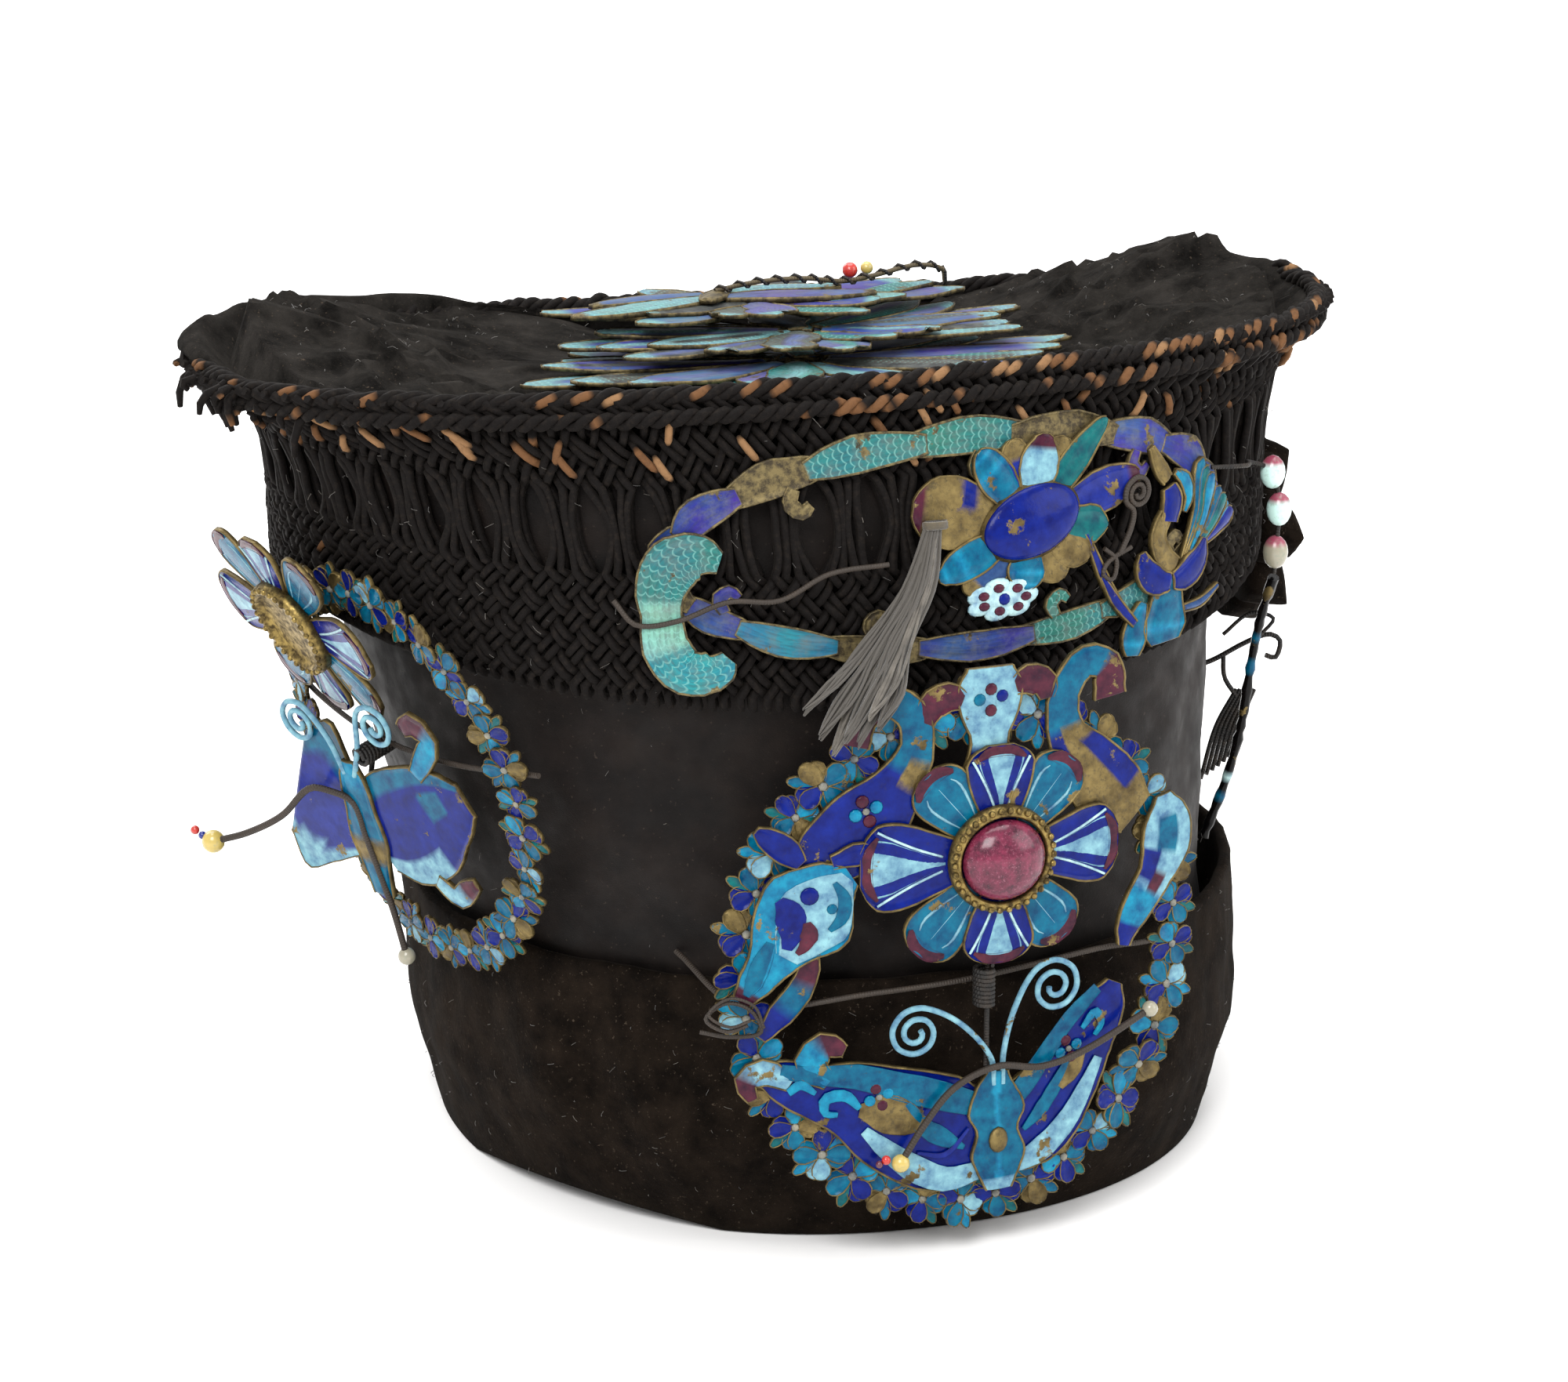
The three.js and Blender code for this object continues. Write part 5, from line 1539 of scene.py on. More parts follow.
@dataclass
class RimRope:
    """Twisted rope round the rim with a finer one below it, worn to the rattan in slips."""

    strands: int = 4
    strand_radius: float = 1.0
    slips: int = 34
    frayed: int = 34
    lay: float = 13.0
    step: float = 1.0
    lower_strands: int = 2
    lower_level: float = 0.965
    # bearings in degrees between which most of the silk is gone
    worn: tuple = (262, 335)
    seed: int = 11

    def is_worn(self, angle: float) -> bool:
        """Whether an angle in radians lies where most of the silk is gone."""
        return self.worn[0] < math.degrees(angle) < self.worn[1]

    def make(self, shop: Workshop, material: bpy.types.Material) -> None:
        """Builds and delivers the rope with a second, lower row."""
        rng = random.Random(self.seed)
        lip = FORM.basket_ring(1).grown(-FORM.basket_wall / 2)
        fine = [lip.point(math.tau * k / TABLE_STEPS) for k in range(TABLE_STEPS + 1)]
        track = np.cumsum([0.0] + [(b - a).length for a, b in zip(fine, fine[1:])])
        count = int(track[-1] / self.step)
        turns = round(track[-1] / self.lay)
        table = np.linspace(0, 1, TABLE_STEPS + 1)
        angles = [math.tau * float(np.interp(k / count * track[-1], track, table))
                  for k in range(count + 1)]
        ropes = []
        for s in range(self.strands):
            route, tints = [], []
            for k, angle in enumerate(angles):
                twist = math.tau * (turns * (k / count) + s / self.strands)
                reach = 1.15 + 0.45 * noise.noise(Vector((angle * 14, 5, s)))
                ring = lip.grown(reach * math.cos(twist))
                spot = ring.point(angle)
                spot.z += 0.55 * FORM.rope_radius + reach * math.sin(twist)
                spot.z += 1.1 * noise.noise(Vector((angle * 9, 0,
                                                    s))) + 0.5 * noise.noise(Vector((angle * 31, 2,
                                                                                     s)))
                route.append(spot)
                tints.append(Tint.CORD)
            for slip in range(turns):
                middle = int((slip + 0.1 - s / self.strands) / turns * count)
                if rng.random() < (0.45 if self.is_worn(math.tau * middle / count) else 0.2):
                    tone = rng.choice((Tint.RATTAN, Tint.RATTAN, Tint.RATTAN_PALE))
                    for k in range(-1, 2):
                        tints[(middle + k) % (count + 1)] = tone
            ropes.append(Strand(route, self.strand_radius, tints))
        lower = FORM.basket_ring(self.lower_level).grown(0.5)
        for s in range(self.lower_strands):
            route, tints = [], []
            for k, angle in enumerate(angles):
                share = k / count
                twist = math.tau * (2 * turns * share + s / self.lower_strands)
                spot = lower.grown(0.8 * math.cos(twist)).point(angle)
                spot.z += 0.9 * math.sin(twist) + 0.4 * noise.noise(Vector((angle * 9, 3, s)))
                route.append(spot)
                slip = noise.noise(Vector((share * 260, s * 7, 5.5))) > (0.22 if self.is_worn(angle)
                                                                         else 0.5)
                tints.append(Tint.RATTAN if slip else Tint.CORD)
            ropes.append(Strand(route, self.strand_radius, tints))
        deliver(shop.cords("rim_rope", ropes, material, sides=7), "cord", "rim_cord")
        self.make_ends(shop, material, rng)

    def make_ends(self, shop: Workshop, material: bpy.types.Material, rng: random.Random) -> None:
        """Rattan slips that lie slanted below the rope, and the frayed ends at the left corner."""
        ends = []
        for _ in range(self.slips):
            angle = math.radians(rng.choice((rng.uniform(195, 250), rng.uniform(*self.worn),
                                             rng.uniform(0, 360))))
            low = rng.uniform(0.78, 0.93)
            lean = rng.choice((-1, 1)) * rng.uniform(0.012, 0.024)
            route = [FORM.basket_ring(low + rise).grown(off).point(angle + lean * rise / 0.06)
                     for rise, off in ((-0.012, -0.6), (0.0, 0.3), (0.025, 0.55), (0.05, 0.3),
                                       (0.062, -0.6))]
            tone = rng.choice((Tint.RATTAN, Tint.RATTAN_PALE))
            ends.append(Strand(route, [0.5, 0.75, 0.8, 0.75, 0.5],
                               [Tint.CORD, tone, tone, tone, Tint.CORD]))
        for _ in range(self.frayed):
            angle = math.radians(rng.gauss(188, 9))
            start = FORM.basket_ring(rng.uniform(0.86, 1.04)).grown(-0.6).point(angle)
            outward = Vector((math.cos(angle), math.sin(angle), 0))
            drop = rng.uniform(-2, 9)
            reach = rng.uniform(1.5, 3.6)
            side = Vector((rng.uniform(-2, 2), rng.uniform(-2.5, 2.5), 0))
            route = [start, start + outward * reach * 0.8 + side * 0.3 - Vector((0, 0, drop * 0.2)),
                     start + outward * reach + side * 0.7 - Vector((0, 0, drop * 0.6)),
                     start + outward * (reach - 0.5) + side - Vector((0, 0, drop))]
            tip = Tint.RATTAN if rng.random() < 0.2 else Tint.CORD
            ends.append(Strand(route, [0.9, 0.9, 0.85, 0.6],
                               [Tint.CORD, Tint.CORD, Tint.CORD, tip]))
        deliver(shop.cords("cord_ends", ends, material, sides=6), "cord")


# Ornament helpers


def wreath_spots(ring: tuple[float, float, float], centre: Row, florets: int, panel: Panel,
                 out: float, rng: random.Random) -> list[Spot]:
    """Places and turns of the florets round an oval band.

    Args:
        ring: half width, half height and band width.
        centre: middle of the oval on its panel.
        florets: how many.
        panel: sheet that the wreath lies on.
        out: way of their backs off the panel.
        rng: source of the small differences.
    """
    wide, tall, band = ring
    spots = []
    for k in range(florets):
        a = math.tau * (k + 0.5) / florets
        u = centre[0] + (wide - band / 2) * math.cos(a)
        v = centre[1] + (tall - band / 2) * math.sin(a)
        at = panel(u, v, out)
        across = (panel(u + 1, v, out) - at).normalized()
        up = (panel(u, v + 1, out) - at).normalized()
        face = across.cross(up).normalized()
        spin = a + rng.uniform(-0.9, 0.9)
        x = (across * math.cos(spin) + up * math.sin(spin)).normalized()
        tip = Matrix.Rotation(rng.uniform(-0.22, 0.22), 3, x)
        y = tip @ face.cross(x)
        z = tip @ face
        turn = Matrix((x, y, z)).transposed().to_euler()
        spots.append(Spot(at, turn))
    return spots


def flat(u: float, v: float, w: float = 0.0) -> Vector:
    """Panel at the origin, for small pieces that are copied."""
    return Vector((u, v, w))


def round_spots(panel: Panel, centre: Row, radius: float, out: float, count: int) -> list[Vector]:
    """Spots round a circle on a panel.

    Args:
        panel: sheet that it lies on.
        centre: across and up of its middle.
        radius: of the circle.
        out: way off the panel.
        count: how many.
    """
    return [panel(centre[0] + radius * math.cos(a), centre[1] + radius * math.sin(a), out)
            for a in (math.tau * i / count for i in range(count))]


@dataclass(frozen=True)
class Setting:
    """Round gilt setting with a row of beads on its edge; a hollow one holds a stone."""

    radius: float
    # share of the radius, height
    profile: tuple
    sides: int
    hollow: bool
    # how many, share of the radius, height, radius of one
    beads: tuple

    def draw(self, panel: Panel, centre: Row, out: float) -> Draft:
        """Its mesh on a panel, some way off it."""
        draft = Draft()
        rings = [[draft.add(spot, Tint.GILT) for spot in
                  round_spots(panel, centre, self.radius * share, out + height, self.sides)]
                 for share, height in self.profile]
        draft.loft(rings, looped=self.hollow)
        count, share, height, small = self.beads
        for spot in round_spots(panel, centre, self.radius * share, out + height, count):
            bead(draft, spot, small, Tint.GILT, sides=8)
        return draft


class Bloom(Enum):
    """Colourings of the wreaths' florets: four petals, then the leaf beside them."""

    BRIGHT = (Tint.COBALT, Tint.SKY, Tint.COBALT, Tint.TURQUOISE, Tint.TEAL)
    DEEP = (Tint.COBALT, Tint.TURQUOISE, Tint.TURQUOISE, Tint.WORN, Tint.TURQUOISE)
    WORN = (Tint.TURQUOISE, Tint.WORN, Tint.SKY, Tint.COBALT, Tint.TEAL)
    PALE = (Tint.PALE, Tint.TURQUOISE, Tint.COBALT, Tint.TURQUOISE, Tint.SKY)


def floret(size: float, bloom: Bloom) -> Draft:
    """Small flower of four notched petals, a leaf and a pale boss."""
    draft = Draft()
    make = Plate(thick=0.7, dome=0.4, rim=0.24, stations=7, inner=3)
    tones = bloom.value
    for k in range(4):
        angle = 45 + 90 * k
        for side in (-1, 1):
            rows = petal_rows((0, 0), angle + 10 * side, size * (0.56 + 0.04 * side * (k % 2)),
                              size * 0.42, foot=0.12, belly=0.62)
            blade(draft, flat, rows, 0.12 * (k % 2) + 0.1 * side, plain(tones[k]), make)
    for angle in (0, 184):
        leaf = petal_rows((0, 0), angle, size * 0.7, size * 0.26, foot=0.2, belly=0.6)
        blade(draft, flat, leaf, -0.15, plain(tones[4]), make)
    knob(draft, flat, (0, 0, 0.75), size * 0.1, 0.7, Tint.PEARL, sides=6, levels=3)
    return draft


def make_wreath(shop: Workshop, looks: "Finishes", node: str, size: float,
                spots: list[Spot]) -> None:
    """Builds and delivers a wreath of mixed florets.

    Args:
        shop: maker of copies.
        looks: finishes.
        node: solid that it stands for.
        size: of a floret.
        spots: places of the florets.
    """
    blooms = tuple(Bloom)
    for index, bloom in enumerate(blooms):
        piece = shop.scattered(f"{node}_{bloom.name.lower()}", spots[index::len(blooms)],
                               floret(size, bloom), looks.enamel, 0.1, index + 2)
        deliver(piece, "enamel", *((node,) if index == 0 else ()))


def spiral_route(panel: Panel, centre: Row, radius: float, turns: float, start: float, hand: int,
                 out: float, stem: Sequence[Row]) -> list[Vector]:
    """Route of a flat spiral that unrolls into a stem."""
    count = round(turns * 22)
    route = []
    for k in range(count + 1):
        share = k / count
        angle = math.radians(start) + hand * math.tau * turns * (share - 1)
        reach = radius * (0.2 + 0.8 * share)
        route.append(panel(centre[0] + reach * math.cos(angle), centre[1] + reach * math.sin(angle),
                           out))
    return smooth_route([*route[:-1:3], route[-1], *[panel(*point) for point in stem]], 0.8)


def smooth_route(points: Sequence[Vector], step: float) -> list[Vector]:
    """Curve through points, resampled about a step apart."""
    length = sum((b - a).length for a, b in zip(points, points[1:]))
    count = max(3, int(length / step))
    return [Vector(row) for row in catmull([tuple(p) for p in points], count)]


def coil_route(panel: Panel, start: Row, axis_up: float, radius: float, turns: int) -> list[Vector]:
    """Helix about the panel's up direction."""
    route = []
    for k in range(turns * 10 + 1):
        a = math.tau * k / 10
        route.append(panel(start[0] + radius * math.cos(a), start[1] + axis_up * k / (turns * 10),
                           start[2] + radius * math.sin(a)))
    return route


LAYER = FORM.plate + FORM.gap
# share of a setting that its stone fills
STONE_SHARE = 0.82
SMALL = Plate(rim=0.34, stations=12, inner=5, dome=0.3)


def dress_lotus(draft: Draft, panel: Panel, heart: Row, axial: Sequence[Row],
                diagonal: Sequence[Row], out: float) -> None:
    """Eight broad petals: four of cobalt with a pale wedge, four of turquoise with pale veins.

    Args:
        draft: mesh to add to.
        panel: sheet that it lies on.
        heart: middle of the flower.
        axial: bearing, reach and width of the cobalt petals.
        diagonal: bearing, reach and width of the turquoise petals.
        out: way of the lower petals off the panel.
    """
    top = out + Plate().thick
    for angle, reach, width in diagonal:
        blade(draft, panel, fan_rows(heart, angle, reach, width), out - 0.4, plain(Tint.TURQUOISE),
              Plate(stations=20, inner=9))
        for aside in (-0.27, 0.0, 0.27):
            vein = [(*petal_spot(heart, angle, reach * along, aside * width * spread), wide)
                    for along, spread, wide in ((0.42, 0.5, 0.25), (0.6, 0.9, 0.6),
                                                (0.76, 1.1, 0.55), (0.84, 0.9, 0.2))]
            inlay(draft, panel, vein, top - 0.38, Tint.PALE, 10)
        tip_inlay(draft, panel, heart, (angle, reach, width), top - 0.36, 3.0)
    for angle, reach, width in axial:
        blade(draft, panel, fan_rows(heart, angle, reach, width), out + 0.1, plain(Tint.COBALT),
              Plate(stations=20, inner=9))
        wedge = [(*petal_spot(heart, angle, reach * along, 0), width * wide)
                 for along, wide in ((0.4, 0.1), (0.55, 0.26), (0.72, 0.5), (0.86, 0.66),
                                     (0.93, 0.6), (0.97, 0.4))]
        inlay(draft, panel, wedge, top + 0.12, Tint.PALE)
        for aside in (-1, 1):
            line = [(*petal_spot(heart, angle, reach * along, aside * width * way), 0.5)
                    for along, way in ((0.42, 0.08), (0.6, 0.19), (0.78, 0.33), (0.88, 0.42))]
            inlay(draft, panel, line, top + 0.2, Tint.MINT, 9)
        tip_inlay(draft, panel, heart, (angle, reach, width), top + 0.2, 2.2)


def tip_inlay(draft: Draft, panel: Panel, heart: Row, petal: Row, out: float, wide: float) -> None:
    """Aubergine crescent across a petal's tip.

    Args:
        draft: mesh to add to.
        panel: sheet that it lies on.
        heart: middle of the flower.
        petal: bearing, reach and width.
        out: way off the panel.
        wide: breadth of the crescent.
    """
    angle, reach, width = petal
    rows = [(*petal_spot(heart, angle, reach * along, aside * width), wide * share)
            for along, aside, share in ((0.88, -0.36, 0.3), (0.94, -0.2, 0.9), (0.955, 0.0, 1.0),
                                        (0.94, 0.2, 0.9), (0.88, 0.36, 0.3))]
    inlay(draft, panel, rows, out, Tint.AUBERGINE, 14)


@dataclass
class FrontMedallion:
    """Enamelled lotus with a jewel, scrolls, peaches, a vase and a butterfly in a wreath."""

    heart: tuple = (4.6, 22)
    stone: float = 9.2
    # half width, half height and band width; middle; florets and their size
    wreath: tuple = ((52, 57, 9.4), (0, 0), 37, 9.8)
    seed: int = 3
    # angle, reach, width
    axial: tuple = ((0, 26.5, 16.5), (90, 23.5, 14.5), (180, 29, 18.5), (270, 22.5, 15))
    diagonal: tuple = ((50, 24.5, 13), (130, 24, 13), (228, 25.5, 13), (308, 24, 13))

    def __post_init__(self) -> None:
        """Sheet that it lies on."""
        self.panel = BentPanel(FORM.off_foot(-90, (8, -7, -55)), -90, bend=200)

    def make(self, shop: Workshop, looks: Finishes) -> None:
        """Builds and delivers all its pieces."""
        band, centre, florets, size = self.wreath
        spots = wreath_spots(band, centre, florets, self.panel, 0.0, random.Random(self.seed))
        make_wreath(shop, looks, "front_wreath", size, spots)
        self.make_lotus(looks)
        self.make_leaves(looks)
        self.make_butterfly(looks)
        self.make_jewel(looks)
        self.make_wires(shop, looks)

    def make_lotus(self, looks: Finishes) -> None:
        """Eight-petalled lotus."""
        draft = Draft()
        dress_lotus(draft, self.panel, self.heart, self.axial, self.diagonal, 2 * LAYER)
        knob(draft, self.panel, (*self.heart, 2 * LAYER), 9.5, 0.9, Tint.WORN)
        deliver(draft.build("lotus_petals", looks.enamel), "enamel", "front_lotus")

    def make_leaves(self, looks: Finishes) -> None:
        """Vase, scrolls, peaches and the small leaf."""
        panel = self.panel
        vase = Draft()
        blade(vase, panel, [(2.7, 38, 15), (2.7, 42, 10), (2.7, 47, 8.5), (2.7, 52, 12.5),
                            (2.7, 57.5, 14), (2.7, 61.5, 10)],
              LAYER, Glaze((Zone(Tint.PALE), Zone(Tint.COBALT, (0, 0.3)))), Plate(inner=9))
        for rows in ([(-3, 55, 4), (-6, 56, 6.5), (-9.5, 54.5, 6.5), (-11, 51, 4)],
                     [(8, 57, 4), (11.5, 58, 6.5), (14.5, 56.5, 6), (15, 53.5, 3.5)]):
            blade(vase, panel, rows, LAYER, plain(Tint.AUBERGINE), SMALL)
        for du, dv, tone in ((0, 2, Tint.AUBERGINE), (-2.4, 0, Tint.TURQUOISE),
                             (2.4, 0.4, Tint.COBALT), (0, -2.4, Tint.AUBERGINE)):
            knob(vase, panel, (2.7 + du, 55 + dv, 2 * LAYER), 1.3, 0.35, tone, sides=10, levels=3)
        deliver(vase.build("vase_plate", looks.enamel), "enamel", "front_vase")

        left = Draft()
        blade(left, panel, [(-37, 21, 7), (-31, 25, 14), (-23, 31, 17), (-16, 39, 11),
                            (-12.6, 46, 7.5), (-13.5, 53, 7), (-19, 56.5, 7), (-24, 53, 7),
                            (-25.5, 47.5, 7)], LAYER,
              Glaze((Zone(Tint.COBALT), Zone(Tint.TURQUOISE, (0.52, 0.86)),
                     Zone(Tint.AUBERGINE, (0.86, 1)), Zone(Tint.WORN, (0.44, 0.53), (-1, 0.2)))),
              Plate(stations=40, inner=17))
        self.blossom(left, (-23, 34), 1.0)
        deliver(left.build("scroll_left_plate", looks.enamel), "enamel", "front_scroll_left")
        right = Draft()
        blade(right, panel, [(36, 26, 10), (31, 31, 15), (25, 38, 14), (19.5, 46, 8.5), (19, 54, 7),
                             (23.5, 60, 7), (28.6, 58.5, 7), (29.5, 52, 7.5)], LAYER,
              Glaze((Zone(Tint.WORN), Zone(Tint.COBALT, (0.12, 0.4), (-1, -0.3)),
                     Zone(Tint.COBALT, (0.3, 0.5), (0.3, 1)), Zone(Tint.TURQUOISE, (0.52, 0.87)),
                     Zone(Tint.AUBERGINE, (0.87, 1)))), Plate(stations=40, inner=17))
        deliver(right.build("scroll_right_plate", looks.enamel), "enamel", "front_scroll_right")

        peach = Draft()
        blade(peach, panel, [(-26, 21, 5), (-30, 18.5, 14), (-34.5, 14, 21), (-38.5, 9.5, 17),
                             (-42, 4, 10), (-45.5, -1, 7), (-48, -4.5, 4)], 2 * LAYER,
              plain(Tint.SKY, Tint.AUBERGINE, 0.92), Plate(stations=36, inner=17))
        for tint, rows, lift in (
                (Tint.PALE, [(-27, 21, 3), (-30, 17.5, 11), (-33.5, 13, 16), (-36.5, 8.5, 11),
                             (-39, 4.5, 5)], 0.15),
                (Tint.TURQUOISE, [(-42, 8, 2), (-44, 3.5, 4), (-45.5, -0.5, 3.4), (-47, -3, 1.6)],
                 0.15),
                (Tint.COBALT, [(-40.5, 17, 2), (-38.5, 14, 6), (-38, 10, 5), (-39, 6.5, 2)], 0.34),
                (Tint.TURQUOISE, [(-29.5, 20, 1), (-27.5, 16.5, 2.6), (-28, 12.5, 2.6),
                                  (-30.5, 10, 1)], 0.34),
                (Tint.AUBERGINE, [(-35, 12, 1.5), (-34.5, 9.5, 3.6), (-35.5, 7, 2.4),
                                  (-37, 5.5, 1)], 0.4)):
            inlay(peach, panel, rows, 3 * LAYER + lift - 0.35, tint)
        knob(peach, panel, (-34.5, 17.5, 3 * LAYER + 0.1), 1.9, 0.4, Tint.COBALT, sides=12,
             levels=3)
        knob(peach, panel, (-30, 14.5, 3 * LAYER + 0.1), 1.1, 0.35, Tint.TURQUOISE, sides=10,
             levels=3)
        blade(peach, panel, [(-36, 24, 3), (-39, 27, 6), (-43, 30, 4.5), (-45, 31.5, 2)], 2 * LAYER,
              plain(Tint.COBALT), SMALL)
        blade(peach, panel, [(-30, 24, 3), (-24, 25.5, 5), (-19, 24.5, 2)], 2 * LAYER,
              plain(Tint.COBALT), SMALL)
        deliver(peach.build("peach_left_plate", looks.enamel), "enamel", "front_peach_left")
        small = Draft()
        blade(small, panel, [(43, 29, 4), (44, 24, 11), (44, 18, 12.5), (41.5, 12, 9), (38, 7, 8),
                             (35, 2, 6), (34, -2, 3)],
              LAYER, Glaze((Zone(Tint.PALE), Zone(Tint.TURQUOISE, (0.15, 0.35), (-0.4, 0.4)),
                            Zone(Tint.COBALT, (0.35, 0.6), (-1, -0.2)),
                            Zone(Tint.AUBERGINE, (0.5, 0.62), (-0.2, 0.5)),
                            Zone(Tint.SKY, (0.62, 0.85)), Zone(Tint.COBALT, (0.85, 1)))),
              Plate(stations=36, inner=17))
        deliver(small.build("peach_right_plate", looks.enamel), "enamel", "front_peach_right")
        leaf = Draft()
        blade(leaf, panel, [(-44, -13, 2.5), (-40, -8, 5.5), (-36, -3, 5.5), (-34, 2, 4.5),
                            (-33, 5.5, 1.5)], LAYER,
              Glaze((Zone(Tint.TURQUOISE), Zone(Tint.AUBERGINE, (0.7, 1)),
                     Zone(Tint.COBALT, (0, 0.35)))), SMALL)
        deliver(leaf.build("leaf_plate", looks.enamel), "enamel", "front_leaf")

    def blossom(self, draft: Draft, at: Row, size: float, out: float = 2 * LAYER + 0.1) -> None:
        """Tiny four-petalled flower laid on a plate."""
        for k, tone in enumerate((Tint.SKY, Tint.AUBERGINE, Tint.SKY, Tint.AUBERGINE)):
            a = math.radians(20 + 90 * k)
            knob(draft, self.panel, (at[0] + 2.2 * size * math.cos(a),
                                     at[1] + 2.2 * size * math.sin(a), out),
                 1.4 * size, 0.4, tone, sides=10, levels=3)
        knob(draft, self.panel, (at[0], at[1], out), 0.8 * size, 0.6, Tint.PEARL, sides=8, levels=3)

    def make_butterfly(self, looks: Finishes) -> None:
        """Spread wings round a gourd-shaped body."""
        panel = self.panel
        draft = Draft()
        wide = Plate(stations=40, inner=21)
        blade(draft, panel, [(3, -39, 19), (-6, -37, 25), (-16, -32.5, 23), (-25, -27.5, 17),
                             (-33, -25, 12), (-40, -22, 9), (-44, -21, 4)], LAYER - 0.1,
              plain(Tint.COBALT), wide)
        blade(draft, panel, [(-30, -23, 4), (-34, -19, 7), (-31, -15, 6), (-27, -16.5, 3)],
              LAYER + 0.4, plain(Tint.SKY, Tint.AUBERGINE, 0.6), SMALL)
        blade(draft, panel, [(-38, -23, 3), (-43, -20, 6), (-47, -22, 5), (-45.5, -26, 2.5)],
              LAYER + 0.4, plain(Tint.PALE, Tint.AUBERGINE, 0.7), SMALL)
        blade(draft, panel, [(7, -40, 17), (14, -36, 21), (20.5, -29, 17), (25.5, -21, 13.5),
                             (30, -13.5, 10), (32, -9.5, 4)],
              LAYER - 0.1, plain(Tint.COBALT), wide)
        top = 2 * LAYER - 0.05
        patches = (
            (Tint.TURQUOISE, [(3, -32, 4), (-6, -28.5, 6), (-16, -25, 6), (-25, -22, 5),
                              (-33, -21.3, 4), (-40, -19.8, 3)]),
            (Tint.PALE, [(1, -45.5, 4), (-6, -46.5, 5.5), (-13, -43, 5.5), (-19, -38, 4),
                         (-23, -34, 2)]),
            (Tint.WORN, [(-10, -34, 2), (-14, -32.5, 7), (-19, -30.5, 8), (-24, -29.5, 3)]),
            (Tint.TURQUOISE, [(-2, -40, 1), (-7, -37, 4), (-11, -34, 3.5), (-14, -29, 2)]),
            (Tint.SKY, [(-24, -29, 1.2), (-27, -26, 2.4), (-31, -26.5, 2.4), (-31, -29.5, 1.6),
                        (-28.5, -30, 1)]),
            (Tint.SKY, [(-33, -25, 1), (-36, -23, 2), (-38.5, -24.5, 1.6)]),
            (Tint.VIOLET, [(-1, -36, 0.6), (-6, -41, 1.2), (-12, -40, 0.6)]),
            (Tint.TURQUOISE, [(5, -34, 3.5), (10, -29.5, 4.5), (15.5, -22.5, 4), (21, -15.5, 3.6),
                              (27.5, -9.8, 2.5)]),
            (Tint.PALE, [(9, -45.5, 3.5), (15, -43, 5.5), (21, -37.5, 5), (25, -31, 3.6),
                         (28, -25, 2)]),
            (Tint.TURQUOISE, [(11, -38, 1), (15, -34, 3), (19, -28, 2.6), (21, -24, 1)]),
            (Tint.WORN, [(19, -30, 2), (22, -26.5, 4), (24, -23, 2)]),
            (Tint.SKY, [(24, -18, 1), (27, -15, 2), (28.5, -17.5, 1.6), (27, -20, 1)]))
        for tint, rows in patches:
            inlay(draft, panel, rows, top + (0.22 if tint in (Tint.SKY, Tint.VIOLET) else 0.12),
                  tint)
        body = LAYER + 1.1
        blade(draft, panel, [(5, -24, 4.5), (4.6, -28, 9), (4.8, -33, 12.5), (5, -37, 9),
                             (5.3, -42, 12), (5.4, -46, 9.5), (5.5, -50, 6)],
              body, Glaze((Zone(Tint.TURQUOISE), Zone(Tint.SKY, (0, 1), (-0.15, 0.15)),
                           Zone(Tint.PALE, (0.9, 1)))), Plate(stations=34, inner=13))
        knob(draft, panel, (5, -39, body + 1.3), 2.6, 1.2, Tint.WORN, oval=(0.8, 1.1))
        for at in ((-20, -27), (21, -22)):
            self.blossom(draft, at, 0.9, 2 * LAYER + 0.1)
        deliver(draft.build("butterfly_plates", looks.enamel), "enamel", "front_butterfly")

    def make_jewel(self, looks: Finishes) -> None:
        """Beaded setting and its cabochon."""
        panel = self.panel
        setting = Setting(
            self.stone / STONE_SHARE,
            ((1.0, 0), (1.0, 1.0), (0.97, 1.7), (0.9, 2.4), (0.84, 2.6), (0.8, 2.0), (0.8, 1.0)),
            48, True, (34, 0.93, 2.3, 0.72))
        draft = setting.draw(panel, self.heart, 3 * LAYER)
        deliver(draft.build("jewel_setting", looks.gilt), "gilt", "front_bezel")
        jewel = Draft()
        knob(jewel, panel, (*self.heart, 3 * LAYER + FORM.plate + FORM.gap), self.stone - 0.5,
             0.6 * self.stone, Tint.ROSE, oval=(1.0, 0.97), sides=40, levels=12)
        deliver(jewel.build("jewel_cabochon", looks.stone), "stone", "front_cabochon")

